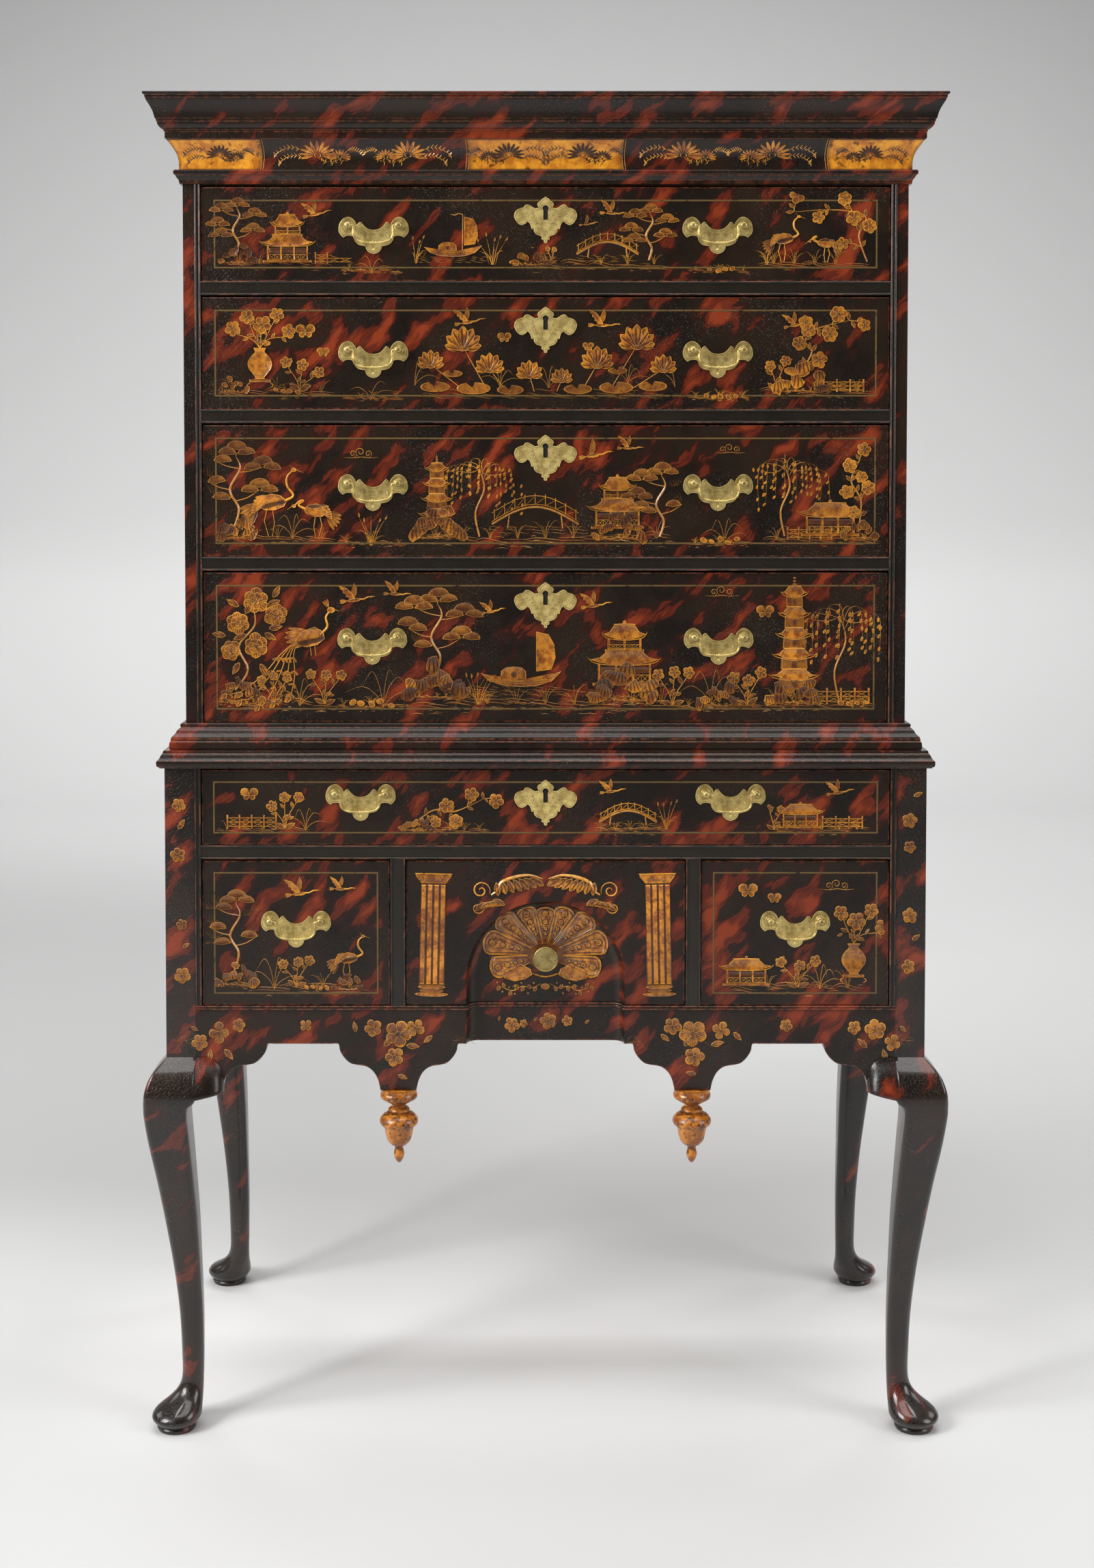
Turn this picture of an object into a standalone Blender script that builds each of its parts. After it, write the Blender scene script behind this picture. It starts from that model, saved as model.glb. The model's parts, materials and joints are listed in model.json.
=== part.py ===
"""A tall chest: four long drawers over a lower case of four drawers on cabriole legs.

Metres. X runs to the right as seen from the front, Y to the back and Z up.
The origin is on the floor, under the middle of the chest.
"""

import math

import bmesh
import bpy
from mathutils import Matrix, Vector

# Clearances
SEAT_GAP = 0.0003  # between two pieces that touch
DRAWER_SIDE_GAP = 0.0010
DRAWER_BOTTOM_GAP = 0.0004
DRAWER_TOP_GAP = 0.0025
CUT_OVERRUN = 0.0020  # how far a cutter passes the face it cuts

# Both cases
OPENING_WIDTH = 0.9356  # between the sides, so also the long drawers' room
BOARD_THICKNESS = 0.0190
RAIL_HEIGHT = 0.0190
RAIL_DEPTH = 0.0600
RUNNER_WIDTH = 0.0200
BEAD_WIDTH = 0.0028
BEAD_BASE = 0.0010  # the thin strip that carries the two beads
BEAD_PROUD = 0.0024
JOINT_BITE = 0.0010  # how far a joined piece enters the one it is glued to
MERGE_DISTANCE = 0.00001
SMOOTH_ANGLE = 35  # degrees

# Upper case, its openings counted from the top drawer down
UPPER_SETBACK = 0.0255  # its front behind the lower case's front
SIDE_THICKNESS = 0.0238
BACK_THICKNESS = 0.0120
BASE_RAIL_HEIGHT = 0.0350
DRAWER_1_OPENING = 0.1294
DRAWER_2_OPENING = 0.1544
DRAWER_3_OPENING = 0.1818
DRAWER_4_OPENING = 0.2076
FRIEZE_HEIGHT = 0.1185

# Lower case
LOWER_DEPTH = 0.5030
POST_SIZE = 0.0406
FILLER_WIDTH = 0.0088  # strip between a post and the drawers
FILLER_DEPTH = 0.0120
DIVIDER_WIDTH = 0.0205
CENTRE_OPENING = 0.3812
TOP_RAIL_HEIGHT = 0.0240
LONG_OPENING = 0.1050
SMALL_OPENING = 0.2009
SKIRT_HEIGHT = 0.0531  # at its flat lower edge
SKIRT_THICKNESS = 0.0216
GUIDE_HEIGHT = 0.0220

# Shaped lower edge of the skirts
LEG_HEIGHT = 0.5170
SKIRT_RISE = 0.0185  # of the flat edge above the legs' top
LOBE_DROP = 0.0642
CORNER_LOBE_WIDTH = 0.0717
CORNER_LOBE_INSET = 0.0344  # from a post to the lobe's foot
PENDANT_LOBE_WIDTH = 0.0652
PENDANT_SPACING = 0.4014
PENDANT_BLOCK_WIDTH = 0.0490

# Arched recess of the middle drawer, which the skirt below follows
RECESS_WIDTH = 0.2150
RECESS_DEPTH = 0.0170
RECESS_COVE = 0.0160
RECESS_CROWN = 0.1420  # its top above the drawer's opening floor
RECESS_BACKING = 0.0230  # wood left behind the recess
COVE_STEPS = 3
ARCH_STEPS = 12

# Cabriole legs
LEG_SIDES = 12
KNEE_BLOCK_LENGTH = 0.0377
KNEE_BLOCK_HEIGHT = 0.0537
KNEE_TENON = 0.0040

# Turned pendants
PENDANT_RADIUS = 0.0256
PENDANT_HEIGHT = 0.1030
PENDANT_TENON_RADIUS = 0.0060
PENDANT_TENON_LENGTH = 0.0200
PENDANT_SIDES = 14

# Drawers
FRONT_THICKNESS = 0.0220
BOX_SIDE_THICKNESS = 0.0115
BOX_BOTTOM_THICKNESS = 0.0080
BOX_BOTTOM_LIFT = 0.0040
BOX_DROP = 0.0080  # of the box sides below the front's top edge
BOX_BACK_ROOM = 0.0200  # behind a closed drawer

# Pulls: a cut plate, two posts and a bail
PLATE_WIDTH = 0.0948
PLATE_HEIGHT = 0.0499
PLATE_THICKNESS = 0.0012
POST_SPACING = 0.0685
POST_STEM_RADIUS = 0.0029
POST_HEAD_RADIUS = 0.0044
POST_REACH = 0.0168
POST_SIDES = 6
BAIL_RADIUS = 0.0014
BAIL_WIDTH = 0.0530  # between the middles of its arms
BAIL_DROP = 0.0240
BAIL_BEAD_SCALE = 1.8
BAIL_BEAD_WIDTH = 0.0050
PINTLE_BITE = 0.0032  # how far a bail's end enters its post

# Place of each pull: from the middle of its drawer, and its posts above its opening's floor
PULL_1_OFFSET, PULL_1_HEIGHT = 0.2330, 0.0742
PULL_2_OFFSET, PULL_2_HEIGHT = 0.2340, 0.0799
PULL_3_OFFSET, PULL_3_HEIGHT = 0.2350, 0.1001
PULL_4_OFFSET, PULL_4_HEIGHT = 0.2365, 0.1167
PULL_LONG_OFFSET, PULL_LONG_HEIGHT = 0.2510, 0.0709
PULL_SMALL_HEIGHT = 0.1174

# Escutcheons
ESCUTCHEON_WIDTH = 0.0854
ESCUTCHEON_HEIGHT = 0.0630
ESCUTCHEON_THICKNESS = 0.0012
ESCUTCHEON_DROP = 0.0408  # of its middle below the opening's top
KEYHOLE_RADIUS = 0.0041
KEYHOLE_SLOT_WIDTH = 0.0062
KEYHOLE_HEIGHT = 0.0196
KEYHOLE_RISE = 0.0096  # of its round end above the escutcheon's middle
KEYHOLE_DEPTH = 0.0038  # a blind cut behind the escutcheon
KEYHOLE_STEPS = 6

# Knob of the middle drawer
KNOB_RADIUS = 0.0170
KNOB_REACH = 0.0270
KNOB_SHANK_RADIUS = 0.0030
KNOB_SHANK_LENGTH = 0.0180
KNOB_HEIGHT = 0.0652  # above the opening's floor
KNOB_SIDES = 14

# Mouldings: height of each and how far it stands out
CROWN_HEIGHT, CROWN_PROUD = 0.0588, 0.0453
COVE_HEIGHT, COVE_PROUD = 0.0400, 0.0190
NECK_HEIGHT, NECK_PROUD = 0.0185, 0.0108
BASE_MOULDING_HEIGHT, BASE_MOULDING_PROUD = 0.0345, 0.0199
WAIST_HEIGHT, WAIST_PROUD = 0.0234, 0.0095

# Moulding profiles: shares of how far it stands out and of its height, from the top down
crown_shares = (
    (1.00, 1.00), (1.00, 0.93), (0.94, 0.885), (0.93, 0.83), (0.88, 0.79),
    (0.76, 0.65), (0.67, 0.42), (0.60, 0.33), (0.47, 0.20), (0.45, 0.18), (0.45, 0.00),
)
cove_shares = ((0.97, 1.00), (0.68, 0.80), (0.42, 0.62), (0.27, 0.46), (0.21, 0.25), (0.21, 0.00))
neck_shares = ((0.90, 1.00), (1.00, 0.82), (0.92, 0.60), (0.58, 0.34), (0.40, 0.22), (0.36, 0.00))
base_shares = (
    (0.28, 1.00), (0.34, 0.84), (0.55, 0.66), (0.88, 0.46), (0.92, 0.32), (1.00, 0.24), (1.00, 0.00),
)
waist_shares = (
    (0.12, 1.00), (0.28, 0.82), (0.55, 0.58), (0.90, 0.44), (1.00, 0.29), (0.88, 0.10), (0.60, 0.00),
)

# Round of a bead: shares of its width and of its height over the strip
bead_shares = ((0.0, 0.0), (0.25, 1.0), (0.75, 1.0), (1.0, 0.0))
# One lobe of a skirt: shares of its width from the flat edge and of its drop
lobe_shares = ((0.12, 0.245), (0.34, 0.41), (0.70, 0.503), (0.92, 0.72), (1.00, 1.00))

# Cabriole leg from its floor ring up: share of the leg's height, then the inner and outer faces
# as shares of the post from its inner face, then how round the section is
leg_shares = (
    (0.000, 0.143, 1.403, 1.00),
    (0.0055, 0.120, 1.426, 1.00),
    (0.011, 0.133, 1.413, 1.00),
    (0.020, 0.045, 1.501, 1.00),
    (0.034, -0.054, 1.601, 1.00),
    (0.050, -0.065, 1.490, 1.00),
    (0.070, -0.065, 1.180, 1.00),
    (0.092, -0.065, 0.880, 1.00),
    (0.122, -0.070, 0.655, 1.00),
    (0.180, -0.085, 0.590, 0.90),
    (0.300, -0.085, 0.630, 0.70),
    (0.430, -0.020, 0.830, 0.52),
    (0.560, 0.085, 1.138, 0.40),
    (0.669, 0.180, 1.448, 0.30),
    (0.775, 0.270, 1.734, 0.22),
    (0.851, 0.340, 1.862, 0.17),
    (0.876, 0.270, 1.868, 0.15),
    (0.8925, 0.000, 1.850, 0.12),
    (0.920, 0.000, 1.760, 0.10),
    (0.957, 0.000, 1.520, 0.09),
    (0.985, 0.000, 1.180, 0.06),
    (1.000, 0.000, 1.000, 0.03),
)

# Knee block: share of its length from the post, then its shares of height and of stand-out
knee_block_shares = (
    (0.00, 1.00, 1.00), (0.40, 0.94, 0.96), (0.72, 0.78, 0.82), (0.92, 0.52, 0.56), (1.00, 0.28, 0.28),
)
# Its section at the post: shares of stand-out and height, from its foot up
knee_section_shares = ((0.98, 0.00), (0.88, 0.23), (0.60, 0.586), (0.21, 0.856))

# Turned pendant from its top plate down: shares of its radius and of its height
pendant_shares = (
    (0.935, 0.000), (0.935, 0.045), (1.000, 0.075), (0.980, 0.115), (0.760, 0.165),
    (0.400, 0.195), (0.370, 0.235), (0.560, 0.265), (0.560, 0.300), (0.840, 0.345),
    (1.030, 0.440), (0.830, 0.510), (0.690, 0.600), (0.600, 0.680), (0.440, 0.745),
    (0.240, 0.785), (0.275, 0.880), (0.170, 0.970),
)

# Half outline of a pull's plate, from its middle top round to its middle bottom:
# shares of half its width and of its height, counted from the posts
plate_shares = (
    (0.00, -0.096), (0.17, -0.060), (0.38, 0.116), (0.478, 0.022), (0.56, 0.190),
    (0.73, 0.250), (0.92, 0.150), (1.00, -0.060), (0.87, -0.311),
    (0.70, -0.258), (0.56, -0.340), (0.43, -0.510), (0.245, -0.545), (0.17, -0.700), (0.00, -0.757),
)
# Half outline of an escutcheon, in the same way, counted from its middle
escutcheon_shares = (
    (0.00, 0.402), (0.14, 0.330), (0.24, 0.282), (0.21, 0.170), (0.33, 0.155),
    (0.58, 0.235), (0.70, 0.170), (0.90, 0.140), (1.00, 0.000),
    (0.90, -0.165), (0.74, -0.205), (0.61, -0.160), (0.50, -0.200), (0.445, -0.289),
    (0.36, -0.320), (0.15, -0.445), (0.12, -0.510), (0.00, -0.598),
)
# Bail from its left pintle to its middle: shares of half its width and of its drop
bail_shares = ((1.00, 0.00), (1.02, 0.45), (0.82, 0.82), (0.52, 0.97))
# Post of a pull: shares of its head's radius, or of its stem's, and of its reach
stem_shares = ((1.00, 0.00), (0.95, 0.56))
head_shares = ((1.00, 0.74), (0.60, 1.00))
# Knob, from its base to its face: shares of its radius and of its reach
knob_shares = (
    (0.62, 0.00), (0.62, 0.09), (0.34, 0.22), (0.30, 0.52),
    (0.62, 0.74), (1.00, 0.84), (1.00, 0.95), (0.90, 1.00),
)

HALF_OPENING = OPENING_WIDTH / 2
UPPER_WIDTH = OPENING_WIDTH + 2 * SIDE_THICKNESS
LOWER_WIDTH = OPENING_WIDTH + 2 * (FILLER_WIDTH + POST_SIZE)
POST_INNER_X = LOWER_WIDTH / 2 - POST_SIZE
POST_INNER_Y = LOWER_DEPTH / 2 - POST_SIZE

LOWER_FRONT = -LOWER_DEPTH / 2
UPPER_FRONT = LOWER_FRONT + UPPER_SETBACK
BACK = LOWER_DEPTH / 2

SKIRT_FLAT = LEG_HEIGHT + SKIRT_RISE
SMALL_FLOOR = SKIRT_FLAT + SKIRT_HEIGHT
SMALL_TOP = SMALL_FLOOR + SMALL_OPENING
LONG_FLOOR = SMALL_TOP + RAIL_HEIGHT
LONG_TOP = LONG_FLOOR + LONG_OPENING
LOWER_TOP = LONG_TOP + TOP_RAIL_HEIGHT
UPPER_BOTTOM = LOWER_TOP + SEAT_GAP
FLOOR_4 = UPPER_BOTTOM + BASE_RAIL_HEIGHT
FLOOR_3 = FLOOR_4 + DRAWER_4_OPENING + RAIL_HEIGHT
FLOOR_2 = FLOOR_3 + DRAWER_3_OPENING + RAIL_HEIGHT
FLOOR_1 = FLOOR_2 + DRAWER_2_OPENING + RAIL_HEIGHT
FRIEZE_BOTTOM = FLOOR_1 + DRAWER_1_OPENING
TOP = FRIEZE_BOTTOM + FRIEZE_HEIGHT

UPPER_BACK_FACE = BACK - BACK_THICKNESS - SEAT_GAP  # in front of the back boards
LOWER_BACK_FACE = BACK - BOARD_THICKNESS - SEAT_GAP
BLOCK_FRONT_THICKNESS = RECESS_DEPTH + RECESS_BACKING
SMALL_WIDTH = (OPENING_WIDTH - CENTRE_OPENING) / 2 - DIVIDER_WIDTH
SMALL_CENTRE = (CENTRE_OPENING + SMALL_WIDTH) / 2 + DIVIDER_WIDTH

chest = bpy.data.collections.new("tall_chest")
cutters = bpy.data.collections.new("cutters")


def material(name, colour, roughness, metallic=0.0):
    made = bpy.data.materials.new(name)
    made.use_nodes = True
    shader = made.node_tree.nodes["Principled BSDF"]
    shader.inputs["Base Color"].default_value = (*colour, 1.0)
    shader.inputs["Roughness"].default_value = roughness
    shader.inputs["Metallic"].default_value = metallic
    return made


def clear_scene():
    for thing in list(bpy.data.objects):
        bpy.data.objects.remove(thing)
    bpy.context.scene.collection.children.link(chest)
    bpy.context.scene.collection.children.link(cutters)


# Shapes


def box(low, high):
    bm = bmesh.new()
    size = [b - a for a, b in zip(low, high)]
    middle = [(a + b) / 2 for a, b in zip(low, high)]
    matrix = Matrix.Translation(middle) @ Matrix.Diagonal((*size, 1.0))
    bmesh.ops.create_cube(bm, size=1.0, matrix=matrix)
    return bm


def prism(outline, depth):
    """A closed outline of 3-D points, extruded along the vector depth."""
    bm = bmesh.new()
    face = bm.faces.new([bm.verts.new(point) for point in outline])
    made = bmesh.ops.extrude_face_region(bm, geom=[face])
    moved = [item for item in made["geom"] if isinstance(item, bmesh.types.BMVert)]
    bmesh.ops.translate(bm, vec=depth, verts=moved)
    return bm


def loft(rings):
    """A skin over closed rings of points, alike in number, with both ends capped."""
    bm = bmesh.new()
    rows = [[bm.verts.new(point) for point in ring] for ring in rings]
    for row, following in zip(rows, rows[1:]):
        for index in range(len(row)):
            after = (index + 1) % len(row)
            bm.faces.new((row[index], row[after], following[after], following[index]))
    bm.faces.new(rows[0])
    bm.faces.new(rows[-1])
    return bm


def cylinder(radius, sides, low, depth, axis="Z"):
    """A round bar from the point low along an axis, with its flats no nearer than radius."""
    bm = bmesh.new()
    turn = Matrix.Rotation(math.radians(-90), 4, "X") if axis == "Y" else Matrix.Identity(4)
    matrix = Matrix.Translation(low) @ turn @ Matrix.Translation((0, 0, depth / 2))
    corner = radius / math.cos(math.pi / sides)
    size = {"radius1": corner, "radius2": corner, "depth": depth}
    bmesh.ops.create_cone(bm, cap_ends=True, segments=sides, matrix=matrix, **size)
    return bm


def turned(points, sides):
    """The mesh that (radius, height) points make, turned round Z, listed from the top down."""
    profile = bpy.data.meshes.new("profile")
    corners = [(radius, 0, height) for radius, height in points]
    profile.from_pydata(corners, [(index, index + 1) for index in range(len(points) - 1)], [])
    thing = bpy.data.objects.new("profile", profile)
    chest.objects.link(thing)
    screw = thing.modifiers.new("turning", "SCREW")
    screw.steps = sides
    screw.render_steps = sides
    screw.use_merge_vertices = True
    screw.merge_threshold = MERGE_DISTANCE
    graph = bpy.context.evaluated_depsgraph_get()
    mesh = bpy.data.meshes.new_from_object(thing.evaluated_get(graph))
    bpy.data.objects.remove(thing)
    return mesh


def mesh_of(name, bm, *kinds):
    bmesh.ops.recalc_face_normals(bm, faces=bm.faces)
    mesh = bpy.data.meshes.new(name)
    bm.to_mesh(mesh)
    bm.free()
    for kind in kinds:
        mesh.materials.append(MATERIALS[kind])
    return mesh


def piece(name, mesh, location=(0, 0, 0), smooth=False):
    """The object of one node."""
    if smooth:
        mesh.shade_smooth()
        mesh.set_sharp_from_angle(angle=math.radians(SMOOTH_ANGLE))
    thing = bpy.data.objects.new(name, mesh)
    thing.location = location
    chest.objects.link(thing)
    return thing


def combine(thing, name, operand, operation, kind="japanned"):
    """Joins another solid to a piece, cuts it away, or keeps only what they share."""
    mesh = operand if isinstance(operand, bpy.types.Mesh) else mesh_of(name, operand, kind)
    other = bpy.data.objects.new(name, mesh)
    other.hide_render = True
    other.display_type = "WIRE"
    cutters.objects.link(other)
    boolean = thing.modifiers.new(name, "BOOLEAN")
    boolean.operation = operation
    boolean.object = other
    boolean.material_mode = "TRANSFER"


def join(thing, name, operand, kind="japanned"):
    combine(thing, name, operand, "UNION", kind)


def cut(thing, name, operand, kind="japanned"):
    combine(thing, name, operand, "DIFFERENCE", kind)


def arc(centre, radius, start, end, steps):
    """Points on an arc, angles in degrees."""
    angles = [math.radians(start + (end - start) * step / steps) for step in range(steps + 1)]
    return [(centre[0] + radius * math.cos(a), centre[1] + radius * math.sin(a)) for a in angles]


def mirrored(half):
    """A closed outline from its right half, which starts and ends on the middle line."""
    return half + [(-x, z) for x, z in reversed(half[1:-1])]


# Mouldings


def moulding(stages, bottom):
    """Profile of mouldings stacked from the bottom up, each (shares, stand-out, height)."""
    face = []
    for shares, proud, height in stages:
        face += [(proud * out, bottom + height * up) for out, up in reversed(shares)]
        bottom += height
    return [(SEAT_GAP, face[0][1])] + face + [(SEAT_GAP, face[-1][1])]


def mitred_run(profile, half_width, front):
    """A moulding across the front and back along both sides, mitred at the front corners."""
    corners = ((-1, BACK, 0), (-1, front, -1), (1, front, -1), (1, BACK, 0))
    rings = []
    for side, y, turn in corners:
        rings.append([(side * (half_width + out), y + turn * out, z) for out, z in profile])
    return loft(rings)


def cornice():
    stages = (
        (neck_shares, NECK_PROUD, NECK_HEIGHT),
        (cove_shares, COVE_PROUD, COVE_HEIGHT),
        (crown_shares, CROWN_PROUD, CROWN_HEIGHT),
    )
    profile = moulding(stages, TOP - CROWN_HEIGHT - COVE_HEIGHT - NECK_HEIGHT)
    piece("cornice", mesh_of("cornice", mitred_run(profile, UPPER_WIDTH / 2, UPPER_FRONT), "japanned"))


def base_moulding():
    profile = moulding(((base_shares, BASE_MOULDING_PROUD, BASE_MOULDING_HEIGHT),), UPPER_BOTTOM)
    run = mitred_run(profile, UPPER_WIDTH / 2, UPPER_FRONT)
    piece("base_moulding", mesh_of("base_moulding", run, "japanned"))


def waist_rail():
    """The lower case's top rail, with the waist moulding nailed round it and the sides."""
    profile = moulding(((waist_shares, WAIST_PROUD, WAIST_HEIGHT),), LOWER_TOP - WAIST_HEIGHT)
    run = mitred_run(profile, LOWER_WIDTH / 2, LOWER_FRONT)
    waist = piece("waist_rail", mesh_of("waist_rail", run, "japanned"))
    reach = POST_INNER_X - SEAT_GAP
    low = (-reach, LOWER_FRONT - SEAT_GAP - JOINT_BITE, LONG_TOP)
    join(waist, "top_rail", box(low, (reach, LOWER_FRONT + BOARD_THICKNESS, LOWER_TOP)))


def bead_profile(width):
    """(across, stand-out) points of a flat strip with a half-round bead along each edge."""
    points = [(0, -JOINT_BITE)]
    for start in (0, width - BEAD_WIDTH):
        for across, up in bead_shares:
            points.append((start + BEAD_WIDTH * across, BEAD_BASE + (BEAD_PROUD - BEAD_BASE) * up))
    return points + [(width, -JOINT_BITE)]


def rail_beads(low_z, high_z, front, half_length):
    profile = bead_profile(high_z - low_z)
    return loft([[(x, front - out, low_z + z) for z, out in profile] for x in (-half_length, half_length)])


def stile_beads(inner_x, outer_x, low_z, high_z, front):
    profile = bead_profile(abs(outer_x - inner_x))
    side = 1 if outer_x > inner_x else -1
    return loft([[(inner_x + side * x, front - out, z) for x, out in profile] for z in (low_z, high_z)])


# Upper case


def upper_sides():
    outer = UPPER_WIDTH / 2
    bead_low = UPPER_BOTTOM + BASE_MOULDING_HEIGHT + SEAT_GAP
    bead_high = TOP - CROWN_HEIGHT - COVE_HEIGHT - NECK_HEIGHT - SEAT_GAP
    bead_width = 2 * BEAD_WIDTH + BEAD_PROUD
    for name, side in (("left", -1), ("right", 1)):
        near, far = sorted((side * HALF_OPENING, side * outer))
        board = box((near, UPPER_FRONT, UPPER_BOTTOM), (far, BACK, TOP))
        made = piece(f"upper_side_{name}", mesh_of(f"upper_side_{name}", board, "japanned"))
        inner = side * HALF_OPENING
        beads = stile_beads(inner, inner + side * bead_width, bead_low, bead_high, UPPER_FRONT)
        join(made, f"upper_stile_beads_{name}", beads)


def upper_ends():
    """The top and bottom boards, each in one piece with the rail along its front edge."""
    inner = HALF_OPENING - SEAT_GAP
    ends = (
        ("upper_top_board", TOP, FRIEZE_BOTTOM, TOP - BOARD_THICKNESS),
        ("upper_bottom_board", FLOOR_4, UPPER_BOTTOM, FLOOR_4 - BOARD_THICKNESS),
    )
    for name, top, rail_foot, underside in ends:
        rail_back = UPPER_FRONT + BOARD_THICKNESS
        section = (
            (UPPER_FRONT, rail_foot), (rail_back, rail_foot), (rail_back, underside),
            (BACK, underside), (BACK, top), (UPPER_FRONT, top),
        )
        board = prism([(-inner, y, z) for y, z in section], Vector((2 * inner, 0, 0)))
        piece(name, mesh_of(name, board, "japanned"))


def upper_rails():
    """The rails between the drawers, each with the runners that are fixed behind its ends."""
    inner = HALF_OPENING - SEAT_GAP
    runner = HALF_OPENING - RUNNER_WIDTH
    rail_back = UPPER_FRONT + RAIL_DEPTH
    half = [(0, UPPER_FRONT), (inner, UPPER_FRONT), (inner, UPPER_BACK_FACE), (runner, UPPER_BACK_FACE)]
    half += [(runner, rail_back), (0, rail_back)]
    for name, floor in (("upper_rail_1", FLOOR_1), ("upper_rail_2", FLOOR_2), ("upper_rail_3", FLOOR_3)):
        low = floor - RAIL_HEIGHT
        frame = prism([(x, y, low) for x, y in mirrored(half)], Vector((0, 0, RAIL_HEIGHT)))
        made = piece(name, mesh_of(name, frame, "japanned"))
        join(made, f"{name}_beads", rail_beads(low, floor, UPPER_FRONT, inner))


def back_boards():
    inner = HALF_OPENING - SEAT_GAP
    low = FLOOR_4 + SEAT_GAP
    high = TOP - BOARD_THICKNESS - SEAT_GAP
    upper = box((-inner, BACK - BACK_THICKNESS, low), (inner, BACK, high))
    piece("upper_back_board", mesh_of("upper_back_board", upper, "bare"))
    reach = POST_INNER_X - SEAT_GAP
    lower = box((-reach, BACK - BOARD_THICKNESS, SKIRT_FLAT), (reach, BACK, LOWER_TOP))
    piece("lower_back_board", mesh_of("lower_back_board", lower, "bare"))


# Lower case


def leg_ring(share, inner, outer, roundness, side_x, side_y):
    """One level section of a leg: a square with rounded corners, the same seen from front and side."""
    middle = POST_SIZE * (inner + outer) / 2
    half = POST_SIZE * (outer - inner) / 2
    radius = half * roundness
    flat = half - radius
    per_corner = LEG_SIDES // 4
    ring = []
    for corner, (corner_x, corner_y) in enumerate(((1, 1), (-1, 1), (-1, -1), (1, -1))):
        for step in range(per_corner):
            angle = math.radians(90 * (corner + (step + 0.5) / per_corner))
            out_x = middle + flat * corner_x + radius * math.cos(angle)
            out_y = middle + flat * corner_y + radius * math.sin(angle)
            x = side_x * (POST_INNER_X + out_x)
            y = side_y * (POST_INNER_Y + out_y)
            ring.append((x, y, LEG_HEIGHT * share))
    return ring


def knee_rings():
    """(along the skirt from the post, out of the skirt, height) rings of a knee block."""
    proud = POST_SIZE * (max(row[2] for row in leg_shares) - 1)
    bottom = LEG_HEIGHT - KNEE_BLOCK_HEIGHT
    tip = SKIRT_FLAT - LOBE_DROP
    stations = [(-KNEE_TENON, 0.0, 1.0, 1.0)]
    stations += [(KNEE_BLOCK_LENGTH * along, along, tall, out) for along, tall, out in knee_block_shares]
    rings = []
    for distance, along, tall, out in stations:
        foot = bottom + (tip - bottom) * along
        section = [(SEAT_GAP, 0.0)]
        section += [(SEAT_GAP + proud * out * share, up) for share, up in knee_section_shares]
        section += [(SEAT_GAP, 1.0)]
        rings.append([(distance, stand, foot + KNEE_BLOCK_HEIGHT * tall * up) for stand, up in section])
    return rings


def legs():
    """Each leg in one piece with its post, and with the knee blocks glued beside it."""
    knee = knee_rings()
    for name, side_x, side_y in (
        ("front_left", -1, -1), ("front_right", 1, -1), ("back_left", -1, 1), ("back_right", 1, 1),
    ):
        rings = [leg_ring(*row, side_x, side_y) for row in leg_shares]
        rings.append([(x, y, LOWER_TOP) for x, y, z in rings[-1]])
        leg = piece(f"leg_{name}", mesh_of(f"leg_{name}", loft(rings), "japanned"), smooth=True)
        beside = [
            [(side_x * (LOWER_WIDTH / 2 + out), side_y * (POST_INNER_Y - along), z) for along, out, z in ring]
            for ring in knee
        ]
        join(leg, f"side_knee_block_{name}", loft(beside))
        if side_y > 0:
            continue
        ahead = [
            [(side_x * (POST_INNER_X - along), LOWER_FRONT - out, z) for along, out, z in ring]
            for ring in knee
        ]
        join(leg, f"front_knee_block_{name}", loft(ahead))
        for level, floor, top in (("small", SMALL_FLOOR, SMALL_TOP), ("long", LONG_FLOOR, LONG_TOP)):
            ends = sorted((side_x * HALF_OPENING, side_x * (POST_INNER_X + JOINT_BITE)))
            low = (ends[0], LOWER_FRONT, floor + SEAT_GAP)
            filler = box(low, (ends[1], LOWER_FRONT + FILLER_DEPTH, top - SEAT_GAP))
            join(leg, f"{level}_filler_{name}", filler)
        inner = side_x * HALF_OPENING
        beads = stile_beads(inner, side_x * (HALF_OPENING + FILLER_WIDTH), SMALL_FLOOR + SEAT_GAP,
                            LONG_TOP - SEAT_GAP, LOWER_FRONT)
        join(leg, f"lower_stile_beads_{name}", beads)


def lobe(flat_end, toward, width):
    """Points of a lobe that leaves the flat edge at flat_end and falls toward a post or a pendant."""
    return [
        (flat_end + toward * width * across, SKIRT_FLAT - LOBE_DROP * down)
        for across, down in lobe_shares
    ]


def corner_lobe(reach):
    """Right end of a skirt's lower edge, from its flat part to the post at reach."""
    flat_end = reach - CORNER_LOBE_INSET - CORNER_LOBE_WIDTH
    return [(flat_end, SKIRT_FLAT)] + lobe(flat_end, 1, CORNER_LOBE_WIDTH) + [(reach, SKIRT_FLAT - LOBE_DROP)]


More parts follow.
